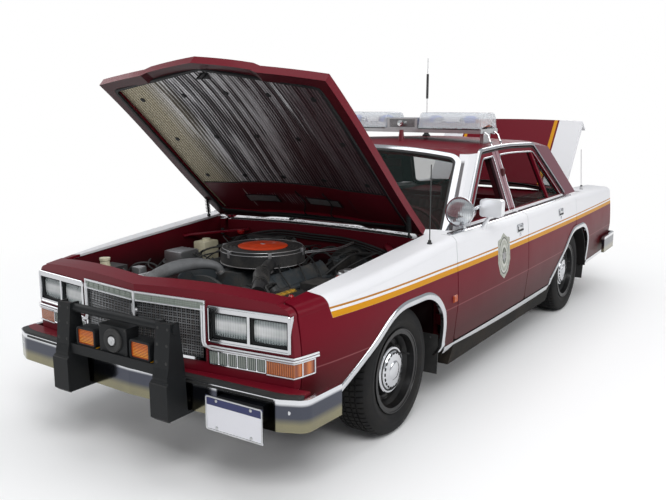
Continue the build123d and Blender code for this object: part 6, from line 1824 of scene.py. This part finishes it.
def dash_at(x, up, out=0):
    """Matrix of a place on the dashboard's upright face, with z pointing rearwards."""
    return Matrix.Translation((x, st(0.9725) - 0.298 * up + 0.955 * out, 0.82 + 0.955 * up + 0.298 * out)) @ DASH_FACE


def rectangle(width, height, radius):
    """Rounded rectangle about the origin."""
    return round_box((-width / 2, width / 2), (-height / 2, height / 2), radius, 4)


class SEDAN_OT_dash_parts(Operator):
    """Gauges, vents, radio, glove box lid, wheel spokes, stalk, pedals and mats"""

    bl_idname = "sedan.dash_parts"
    bl_label = "Dash and controls"

    def execute(self, context):
        m = Maker()
        for x, width in ((0.37, 0.4), (-0.02, 0.2)):
            m.plate(rectangle(width, 0.07, 0.012), dash_at(x, 0, 0.001), 0.003)
        for x in (-0.66, -0.18, 0.6):
            m.plate(rectangle(0.085, 0.06, 0.008), dash_at(x, 0, 0.001), 0.004)
        m.make("dash_panels", "dial")
        for x, radius in ((0.47, 0.03), (0.385, 0.03), (0.305, 0.022), (0.25, 0.022)):
            place = dash_at(x, 0, 0.003)
            m.lathe([(0, radius), (0.006, radius + 0.002), (0.006, radius - 0.002), (0.001, radius - 0.003)],
                place.translation, 28, own_z(place), hollow=True)
            a = 2.3 - x * 4
            m.box((-0.0012, 0, 0.0015), (0.0012, radius * 0.8, 0.0028), 0, place @ Matrix.Rotation(a, 4, "Z"))
        for x, k in product((-0.66, -0.18, 0.6), range(5)):
            m.box((-0.036, -0.024 + 0.011 * k, 0.004), (0.036, -0.02 + 0.011 * k, 0.009), 0, dash_at(x, 0))
        for x, up in ((-0.1, 0), (0.06, 0), (-0.05, -0.02), (0.01, -0.02), (0.56, 0.012), (0.56, -0.02)):
            place = dash_at(x, up, 0.003)
            m.lathe([(0, 0.011), (0.012, 0.01), (0.014, 0)], place.translation, 16, own_z(place))
        m.box((-0.045, 0, 0.004), (0.045, 0.016, 0.006), 0.001, dash_at(-0.02, 0.005))
        m.tube([dash_at(x, 0.043).translation for x in (-0.74, 0.74)], 0.003, 6)
        m.tube([dash_at(x, -0.043).translation for x in (-0.74, 0.74)], 0.003, 6)
        m.tube([(0.21, st(1), 0.76), (0.235, st(1.04), 0.78), (0.33, st(1.08), 0.81)], 0.006, 8)
        m.make("dash_trim", "chrome")
        low = Matrix.Translation((-0.42, st(0.961), 0.712)) @ Matrix(((-1, 0, 0, 0), (0, 0.366, 0.931, 0),
            (0, 0.931, -0.366, 0), (0, 0, 0, 1)))
        m.plate(rectangle(0.36, 0.11, 0.012), low, 0.004)
        m.plate(rectangle(0.02, 0.012, 0.004), low @ Matrix.Translation((0, 0.035, 0.003)), 0.008)
        for k in range(3):
            m.box((-0.09, st(0.89), 0.6 + 0.05 * k), (0.09, st(0.955), 0.645 + 0.05 * k), 0.004)
        m.make("glove_lid_and_radios", "plastic")
        wheel = turned((0.37, st(1.12), 0.845), radians(-64), "X")
        for a in (radians(-90), radians(8), radians(172)):
            m.box((0.045, -0.021, -0.012), (0.18, 0.021, -0.003), 0.004, wheel @ Matrix.Rotation(a, 4, "Z"))
        m.lathe([(0, 0.055), (0.008, 0.052), (0.014, 0.03), (0.015, 0)], wheel.translation, 32, own_z(wheel))
        for k in range(3):
            x, wide = ((0.27, 0.03), (0.42, 0.05), (0.56, 0.03))[k]
            m.box((x - wide, st(0.69), 0.36), (x + wide, st(0.705), 0.46), 0.005)
            m.tube([(x, st(0.69), 0.42), (x, st(0.62), 0.52), (x, st(0.6), 0.6)], 0.007, 8)
        m.make("spokes_and_pedals", "plastic")
        for side, (low_s, high_s) in product(BOTH, ((0.78, 1.13), (1.9, 2.05))):
            m.box((side * 0.22, st(low_s), 0.2325), (side * 0.68, st(high_s), 0.238), 0.002)
            for k in range(14):
                x = side * (0.235 + 0.0325 * k)
                m.box((x - 0.006, st(low_s + 0.02), 0.237), (x + 0.006, st(high_s - 0.02), 0.2415))
        m.make("floor_mats", "rubber")
        m.box((-0.13, st(1.352), 1.235), (0.13, st(1.37), 1.293), 0.008)
        m.tube([(0, st(1.37), 1.28), (0, st(1.4), 1.315), (0, st(1.44), 1.34)], 0.006, 8)
        m.make("inner_mirror", "plastic")
        for side, word in SIDES:
            cushion(f"sun_visor_{word}", ((1.46, 1.322), (1.455, 1.342), (1.62, 1.362), (1.625, 1.345)),
                (0.006, 0.008, 0.008, 0.006), side * SEAT_X, 0.2, None, soft=0.02)
        return {"FINISHED"}


DOORS = (("front", 0.66, 1.6), ("rear", 1.77, 2.6))


class SEDAN_OT_door_cards(Operator):
    """Door cards with armrests, winder handles, pulls, trim lines and latches"""

    bl_idname = "sedan.door_cards"
    bl_label = "Door cards"

    def execute(self, context):
        for (side, word), (end, low, high) in product(SIDES, DOORS):
            body = f"door_{end}_{word}"

            def inner(station, z, depth, side=side):
                return at(side, half_width(station) - 0.1255 - depth, station, z)

            m = Maker()
            columns = spread(low, high, 0.06)
            rows = [(z, d) for z, d in ((0.375, -0.004), (0.378, 0.005), (0.51, 0.005), (0.514, 0.0015),
                (0.52, 0.0015), (0.524, 0.006), (0.79, 0.006), (0.794, 0.002), (0.8, 0.002), (0.804, 0.007),
                (0.925, 0.006), (0.93, -0.004))]
            grid = [[inner(s, z, -0.004 if s in (columns[0], columns[-1]) else d) for z, d in rows] for s in columns]
            m.skin(grid, closed=False)
            m.make(f"door_card_{end}_{word}", "vinyl", body=body)
            middle = (low + high) / 2
            m, rings = Maker(), []
            for k in range(25):
                t = k / 12 - 1
                reach = 0.058 * (1 - abs(t) ** 5 * 0.75)
                tall = 0.03 * (1 - abs(t) ** 6 * 0.6)
                rings.append([inner(middle + 0.08 + t * 0.2, 0.675 + z * tall, 0.004 + d * reach)
                    for z, d in ((-1, 0), (-0.9, 0.6), (-0.45, 0.93), (0.2, 1), (0.8, 0.9), (1, 0.6), (1, 0))])
            m.skin(rings)
            piece = m.make(f"armrest_{end}_{word}", "vinyl", body=body, sharp=60)
            m = Maker()
            hub = inner(middle - 0.12, 0.6, 0.004)
            tip = inner(middle - 0.2, 0.56, 0.034)
            inwards = Vector((-side, 0, 0))
            m.lathe([(0, 0.022), (0.014, 0.018), (0.022, 0.012), (0.022, 0)], hub, 18, inwards)
            m.tube([hub + inwards * 0.018, tip], 0.006, 8)
            m.lathe([(0, 0.009), (0.012, 0.012), (0.026, 0.01), (0.028, 0)], tip, 14, inwards)
            m.tube([inner(middle + 0.22, 0.745, 0.004), inner(middle + 0.22, 0.745, 0.024),
                inner(middle + 0.31, 0.748, 0.02)], 0.006, 8)
            for z in (0.517, 0.797):
                m.tube([inner(s, z, 0.003) for s in columns[1:-1]], 0.0024, 5, smooth=0)
            if end == "front":
                m.lathe([(0, 0.07), (0.004, 0.068), (0.005, 0)], inner(low + 0.16, 0.44, 0.004), 32, inwards)
            m.make(f"door_handles_inside_{end}_{word}", "chrome", body=body)
        return {"FINISHED"}


# Light bar and outside fittings

class SEDAN_OT_light_bar_parts(Operator):
    """Hollow domes with turning lamps, filters and mirrors in them, the siren's slots and the roof clamps"""

    bl_idname = "sedan.light_bar_parts"
    bl_label = "Light bar parts"

    def execute(self, context):
        for side, word in SIDES:
            m = Maker()
            for inset in (0, 0.004):
                low, high = 0.128 + inset, 0.596 - inset
                arch = [p.to_2d() for p in rounded([(1.61 + inset, 1.491), (1.61 + inset, 1.6 - inset),
                    (1.89 - inset, 1.6 - inset), (1.89 - inset, 1.491)], [0, 0.055 - inset, 0.055 - inset, 0], 8)]
                middle = Vector((LIGHT_BAR_STATION, 1.52))
                rings = [[at(side, x, q.x, q.y) for q in (middle.lerp(p, scale) if p.y > 1.4915 else p for p in arch)]
                    for x, scale in ((low, 0), (low, 0.93), (low + 0.004, 0.98), (low + 0.012, 1), (high - 0.03, 1),
                    (high - 0.012, 0.985), (high - 0.003, 0.95), (high, 0.88), (high, 0))]
                m.skin(rings, closed=False, caps=False)
            piece = m.make(f"light_bar_dome_{word}", "dome")
            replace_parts(piece, "light_bar_domes")
        blue, orange, silver, dark = Maker(), Maker(), Maker(), Maker()
        for side in BOTH:
            for k, x in enumerate((0.2, 0.33, 0.46, 0.555)):
                centre = at(side, x, LIGHT_BAR_STATION, 1.492)
                if k in (0, 2):
                    blue.lathe([(0.006, 0.052), (0.07, 0.05), (0.084, 0.03), (0.086, 0)], centre, 28)
                dark.lathe([(0, 0.06 if k < 3 else 0.03), (0.008, 0.058 if k < 3 else 0.03), (0.01, 0)], centre, 28)
                if k < 3:
                    for turn in (0.6 + k, 0.6 + k + pi):
                        place = turned(centre + Vector((0, 0, 0.045)), turn, "Z")
                        silver.lathe([(0.056, 0.002), (0.06, 0.018), (0.072, 0.028), (0.074, 0.03), (0.074, 0.029)],
                            place.translation, 20, place.to_3x3() @ Vector((0, 1, 0)), hollow=True)
                else:
                    orange.box((centre.x - 0.02, centre.y - 0.1, 1.5), (centre.x + 0.02, centre.y + 0.1, 1.555),
                        0.006)
            for d in (-0.112, 0.112):
                silver.box((side * 0.15, st(LIGHT_BAR_STATION + d) - 0.002, 1.494),
                    (side * 0.575, st(LIGHT_BAR_STATION + d) + 0.002, 1.53))
            silver.box((side * 0.13, st(1.6), 1.483), (side * 0.594, st(1.6) + 0.004, 1.4945), 0.001)
            silver.box((side * 0.13, st(1.9) - 0.004, 1.483), (side * 0.594, st(1.9), 1.4945), 0.001)
        silver.lathe([(-0.04, 0.013), (0, 0.02), (0.02, 0.022), (0.022, 0)], (0, st(1.6), 1.522), 20, (0, -1, 0))
        blue.make("beacon_filters", "blue")
        orange.make("beacon_orange_parts", "amber")
        silver.make("beacon_mirrors_and_line", "reflector")
        for k in range(7):
            dark.box((-0.1, st(1.6085), 1.497 + 0.008 * k), (0.1, st(1.612), 1.501 + 0.008 * k))
            dark.box((-0.1, st(1.888), 1.497 + 0.008 * k), (0.1, st(1.8915), 1.501 + 0.008 * k))
        dark.make("beacon_bases_and_slots", "black")
        m = Maker()
        for side in BOTH:
            x = side * 0.572
            for s in (1.66, 1.84):
                m.box((x, st(s) - 0.012, 1.452), (x + side * 0.03, st(s) + 0.012, 1.476), 0.003)
                m.sweep([at(side, 0.6, s, 1.47), at(side, 0.627, s, 1.45), at(side, 0.648, s, 1.395),
                    at(side, 0.668, s, 1.366)], Vector((side, 0, 0.6)),
                    [(-0.001, -0.009), (0.003, -0.009), (0.003, 0.009), (-0.001, 0.009)])
                m.lathe([(0, 0.007), (0.008, 0.007), (0.01, 0)], at(side, 0.65, s, 1.4), 8, (side, 0, 0.4))
        m.make("roof_clamps", "chrome")
        return {"FINISHED"}


CREST = ((0, -0.145), (0.062, -0.108), (0.1, -0.035), (0.098, 0.105), (0.05, 0.112), (0, 0.143), (-0.05, 0.112),
    (-0.098, 0.105), (-0.1, -0.035), (-0.062, -0.108))


def star(points, outer, inner):
    """Outline of a star, centred on 0."""
    return [Vector((sin(a) * r, cos(a) * r)) for k, a in enumerate(turns(points * 2))
        for r in ((outer, inner)[k % 2],)]


class SEDAN_OT_outside_fittings(Operator):
    """Door crests, spotlight lens and handle, mirror glasses and feet, mast bases and fender side lamps"""

    bl_idname = "sedan.outside_fittings"
    bl_label = "Outside fittings"

    def execute(self, context):
        for side, word in SIDES:
            for tone, slot_name, shape, low, high in (
                ("crest", "bare_steel", [p.to_2d()
                    for p in rounded(CREST, [0.004] + [0.014] * 3 + [0.004] * 3 + [0.014] * 3, 4)], -0.001, 0.0008),
                ("steel", "aluminium", star(6, sizes().badge_radius, sizes().badge_radius * 0.45), 0, 0.0014),
            ):
                m, rings = Maker(), []
                middle = Vector(CREST_PLACE)
                for scale, out in ((0.02, high), (0.5, high), (1, high), (1, low)):
                    rings.append([side_point(side, middle.x + p.x * scale, middle.y + p.y * scale, out)
                        for p in shape])
                m.skin(rings)
                m.make(f"door_crest_{tone}_{word}", tone, body=f"door_front_{word}", slot=slot_name)
            m = Maker()
            m.lathe([(0, 0.028), (0.004, 0.027), (0.008, 0.014), (0.008, 0)], at(side, 0.888, 0.957, 0.911), 24,
                (side * 0.5, 0, 1))
            m.tube([at(side, 0.89, 0.959, 0.915), at(side, 0.902, 0.958, 0.965), at(side, 0.93, 0.966, 1),
                at(side, 0.955, 0.972, 1.03)], 0.0065, 10)
            m.make(f"mirror_arm_{word}", "chrome", body=f"door_front_{word}")
            m.box((side * 0.89, st(0.9865), 1.013), (side * 1.012, st(0.9895), 1.104), 0.001)
            m.make(f"mirror_glass_{word}", "reflector", body=f"door_front_{word}")
            frame = [side_point(side, s, z, 0.0006) for s,
                z in ((0.497, 0.585), (0.543, 0.585), (0.543, 0.625), (0.497, 0.625))]
            front = [side_point(side, s, z, 0.008) for s,
                z in ((0.502, 0.589), (0.538, 0.589), (0.538, 0.621), (0.502, 0.621))]
            m.skin([frame, front])
            m.make(f"fender_side_lamp_{word}", "amber")
        m = Maker()
        axis = Vector((0, -1, 0.1)).normalized()
        bowl = Vector((0.85, st(0.77), 1.05)) + axis * 0.0455
        m.lathe([(0, 0.079), (0.005, 0.079), (0.012, 0.06), (0.018, 0.03), (0.02, 0)], bowl - axis * 0.002, 40, axis)
        m.make("spotlight_lens", "spot")
        m.lathe([(0, 0.079), (0.0012, 0.079), (0.0012, 0.05), (0.0035, 0.02), (0.004, 0)], bowl - axis * 0.0005, 40,
            axis)
        m.make("spotlight_reflector", "reflector")
        m.lathe([(-0.012, 0.085), (0, 0.087), (0.006, 0.085), (0.007, 0.078), (0.002, 0.077)], bowl, 48, axis,
            hollow=True)
        m.tube([bowl - axis * 0.145, bowl - axis * 0.17 + Vector((0.01, 0, 0.01)),
            bowl - axis * 0.21 + Vector((0.03, 0, 0.03)), bowl - axis * 0.26 + Vector((0.035, 0, 0.04))],
            lambda t: 0.008 + 0.004 * t, 12)
        m.lathe([(0, 0.02), (0.01, 0.019), (0.014, 0.013)], (0.846, st(0.8), 0.921), 24)
        m.make("spotlight_ring_and_handle", "chrome")
        for x, station, z, r in ((0, 2, 1.418, 0.03), (0.76, 3.538, 0.905, 0.024), (0.85, 0.35, 0.893, 0.022)):
            m.lathe([(0, r), (0.008, r), (0.02, r * 0.62), (0.055, r * 0.36), (0.06, 0)], (x, st(station), z), 28)
        m.make("mast_bases", "rubber")
        return {"FINISHED"}


# Trunk and underside

class SEDAN_OT_trunk_parts(Operator):
    """Trunk mat, spare wheel with its clamp, jack, and the lid's inner ribs and latch"""

    bl_idname = "sedan.trunk_parts"
    bl_label = "Trunk parts"

    def execute(self, context):
        m = Maker()
        mat = round_box((-0.61, 0.61), (st(2.8), st(4.05)), 0.05, 4)
        m.plate(mat, Matrix.Translation((0, 0, 0.4505)), 0.008)
        m.make("trunk_mat", "mat")
        spare = (-0.27, st(3.4), 0.46)
        m.lathe([(0.02, 0.19), (0, 0.23), (0.01, 0.3), (0.04, 0.33), (0.15, 0.33), (0.185, 0.3), (0.195, 0.23),
            (0.175, 0.19)], spare, 64, hollow=True)
        m.make("spare_tyre", "tyre")
        m.lathe([(0.03, 0.192), (0.06, 0.18), (0.1, 0.17), (0.12, 0.13), (0.115, 0.09), (0.13, 0.04), (0.13, 0)],
            spare, 48)
        m.lathe([(0.12, 0.05), (0.14, 0.03), (0.17, 0.012), (0.17, 0)], spare, 16)
        m.box((0.25, st(3.1), 0.459), (0.33, st(3.6), 0.52), 0.01)
        m.tube([(0.45, st(3), 0.468), (0.45, st(3.5), 0.468), (0.5, st(3.54), 0.468)], 0.009, 8)
        m.make("spare_wheel_and_jack", "wheel_black")
        ribs = (((-0.56, 3.5), (0.56, 4)), ((0.56, 3.5), (-0.56, 4)), ((0, 3.48), (0, 4.02)),
            ((-0.56, 3.75), (0.56, 3.75)))
        for (x0, s0), (x1, s1) in ribs:
            line = [(x0 + (x1 - x0) * t, s0 + (s1 - s0) * t) for t in spread(0, 1, 0.08)]
            m.sweep([LID_AT @ Vector((x, st(s), crowned_z(DECK_ROWS, 0.665, x, s) - 0.012)) for x, s in line],
                LID_AT.to_3x3() @ Vector((0, 0, -1)), [(-0.003, -0.04), (0.006, -0.032), (0.012, -0.018),
                (0.012, 0.018), (0.006, 0.032), (-0.003, 0.04)])
        m.make("lid_ribs", "maroon", body="trunk_lid")
        m.box((-0.04, -0.02, 0), (0.04, 0.012, 0.03), 0.004,
            turned(LID_AT @ Vector((0, st(4.075), 0.86)), radians(56), "X"))
        m.make("lid_latch", "steel", body="trunk_lid")
        return {"FINISHED"}


class SEDAN_OT_underside_parts(Operator):
    """Brake and fuel pipes with their clips"""

    bl_idname = "sedan.underside_parts"
    bl_label = "Underside parts"

    def execute(self, context):
        m = Maker()
        m.tube(route((0.3, 0.5, 0.5), (0.34, 0.6, 0.25), (0.36, 0.9, 0.212), (0.36, 2.2, 0.212), (0.3, 2.5, 0.27),
            (0.1, 2.7, 0.36)), 0.003, 6)
        m.tube(route((0.33, 0.5, 0.48), (0.37, 0.62, 0.24), (0.385, 0.9, 0.212), (0.385, 2.4, 0.212),
            (0.4, 2.6, 0.3)), 0.004, 6)
        for s in (1, 1.5, 2):
            m.box((0.35, st(s) - 0.01, 0.205), (0.395, st(s) + 0.01, 0.2165), 0.001)
        m.make("brake_and_fuel_pipes", "steel")
        return {"FINISHED"}


# The stage

CAMERA_PLACE = (2.59, -4.806, 1.6495)
CAMERA_TURN = (33.2, 10.8, 0.1)
CAMERA_LENS = 41.135
FLOOR_REACH = 40


def light(name, place, aim, power, width, height, colour=(1, 1, 1)):
    """Soft rectangular studio lamp aimed at a point."""
    data = bpy.data.lights.new(name, "AREA")
    data.shape = "RECTANGLE"
    data.size, data.size_y = width, height
    data.energy = power
    data.color = colour
    lamp = bpy.data.objects.new(name, data)
    lamp.location = place
    lamp.rotation_euler = (Vector(aim) - Vector(place)).to_track_quat("-Z", "Y").to_euler()
    bpy.context.scene.collection.objects.link(lamp)


def backdrop_material():
    """Pale floor that keeps the shadow near the car and fades to plain white further out."""
    made = Finish("floor", "pale_floor")
    x, y, _ = made.xyz()
    tone = made.mix(made.noise(0.8, 2) * 0.15, (0.93, 0.93, 0.93), (0.9, 0.9, 0.905))
    diffuse = made.add("ShaderNodeBsdfDiffuse", inputs={"Color": tone})
    white = made.add("ShaderNodeEmission", inputs={"Color": (1, 1, 1, 1), "Strength": 1})
    seen = made.add("ShaderNodeLightPath", output="Is Camera Ray")
    mirrored = made.add("ShaderNodeLightPath", output="Is Glossy Ray")
    far = ((x * x + y * y) ** 0.5).above(3.9, 2.6)
    mixed = made.add("ShaderNodeMixShader", inputs={0: seen.math("MAXIMUM", seen, mirrored) * far, 1: diffuse,
        2: white})
    made.add("ShaderNodeOutputMaterial", inputs={"Surface": mixed})
    return made.made


class SEDAN_OT_stage(Operator):
    """Pale floor, plain light, plain world and the camera at the photograph's angle"""

    bl_idname = "sedan.stage"
    bl_label = "Floor, light and camera"

    def execute(self, context):
        scene = bpy.context.scene
        mesh = bmesh.new()
        mesh.faces.new([mesh.verts.new(p) for p in ((-FLOOR_REACH, -FLOOR_REACH, 0), (FLOOR_REACH, -FLOOR_REACH, 0),
            (FLOOR_REACH, FLOOR_REACH, 0), (-FLOOR_REACH, FLOOR_REACH, 0))])
        data = bpy.data.meshes.new("floor")
        mesh.to_mesh(data)
        mesh.free()
        data.materials.append(backdrop_material())
        floor = bpy.data.objects.new("floor", data)
        scene.collection.objects.link(floor)
        light("key_lamp", (4.5, -6, 6.5), (0, -0.6, 0.5), 330, 4.5, 3)
        light("side_lamp", (8, 1.5, 3.5), (0, 0, 0.7), 150, 5, 3)
        light("far_side_lamp", (-7.5, -2, 4.5), (0, 0, 0.7), 140, 5, 3)
        light("rear_lamp", (0, 8.5, 5), (0, 0, 0.7), 150, 6, 3)
        light("top_lamp", (0, 0, 8), (0, 0, 0), 210, 6, 8)
        air = Finish("air", "studio_air", "worlds")
        seen = air.add("ShaderNodeLightPath", output="Is Camera Ray")
        through = air.add("ShaderNodeLightPath", output="Is Transmission Ray")
        plain = air.add("ShaderNodeBackground", inputs={"Color": (0.86, 0.88, 0.91, 1), "Strength": 0.5})
        white = air.add("ShaderNodeBackground", inputs={"Color": (1, 1, 1, 1), "Strength": 1})
        mixed = air.add("ShaderNodeMixShader", inputs={0: seen.math("MAXIMUM", seen, through), 1: plain, 2: white})
        air.add("ShaderNodeOutputWorld", inputs={"Surface": mixed})
        scene.world = air.made
        scene.view_settings.view_transform = "Standard"
        camera = bpy.data.objects.new("camera", bpy.data.cameras.new("camera"))
        camera.data.lens = CAMERA_LENS
        camera.data.sensor_width = 36
        camera.data.clip_end = 200
        azimuth, elevation, roll = [radians(v) for v in CAMERA_TURN]
        back = Vector((sin(azimuth) * cos(elevation), -cos(azimuth) * cos(elevation), sin(elevation)))
        right = Vector((cos(azimuth), sin(azimuth), 0))
        right = Matrix.Rotation(roll, 3, back) @ right
        up = back.cross(right)
        camera.matrix_world = Matrix.Translation(CAMERA_PLACE) @ Matrix((right, up, back)).transposed().to_4x4()
        scene.collection.objects.link(camera)
        scene.camera = camera
        return {"FINISHED"}


# The panel and the run

STEPS = (
    SEDAN_OT_finishes,
    SEDAN_OT_arch_mouldings,
    SEDAN_OT_sill_mouldings,
    SEDAN_OT_window_mouldings,
    SEDAN_OT_screen_mouldings,
    SEDAN_OT_door_fittings,
    SEDAN_OT_grille_trim,
    SEDAN_OT_headlamp_parts,
    SEDAN_OT_bumper_trim,
    SEDAN_OT_push_bumper_parts,
    SEDAN_OT_plate_parts,
    SEDAN_OT_tail_trim,
    SEDAN_OT_tyres,
    SEDAN_OT_wheel_trim,
    SEDAN_OT_air_cleaner_parts,
    SEDAN_OT_bay_hoses,
    SEDAN_OT_bay_leads,
    SEDAN_OT_bay_fitting_parts,
    SEDAN_OT_bay_body_parts,
    SEDAN_OT_hood_underside,
    SEDAN_OT_seats,
    SEDAN_OT_dash_parts,
    SEDAN_OT_door_cards,
    SEDAN_OT_light_bar_parts,
    SEDAN_OT_outside_fittings,
    SEDAN_OT_trunk_parts,
    SEDAN_OT_underside_parts,
    SEDAN_OT_stage,
)


class SEDAN_PT_steps(Panel):
    """Lists the steps that dress the car, and its sizes and colours"""

    bl_idname = "SEDAN_PT_steps"
    bl_label = "Patrol Sedan"
    bl_space_type = "VIEW_3D"
    bl_region_type = "UI"
    bl_category = "Patrol Sedan"

    def draw(self, context):
        for group in (context.scene.sedan_sizes, context.scene.sedan_colours):
            for name in group.__annotations__:
                self.layout.prop(group, name)
        for step in STEPS:
            self.layout.operator(step.bl_idname)


CLASSES = (SedanSizes, SedanColours, *STEPS, SEDAN_PT_steps)


def register():
    for cls in CLASSES:
        bpy.utils.register_class(cls)
    bpy.types.Scene.sedan_sizes = PointerProperty(type=SedanSizes)
    bpy.types.Scene.sedan_colours = PointerProperty(type=SedanColours)


def unregister():
    del bpy.types.Scene.sedan_sizes
    del bpy.types.Scene.sedan_colours
    for cls in reversed(CLASSES):
        bpy.utils.unregister_class(cls)


def main():
    register()
    for step in STEPS:
        group, name = step.bl_idname.split(".")
        getattr(getattr(bpy.ops, group), name)()
    bpy.context.view_layer.update()


if __name__ == "__main__":
    main()
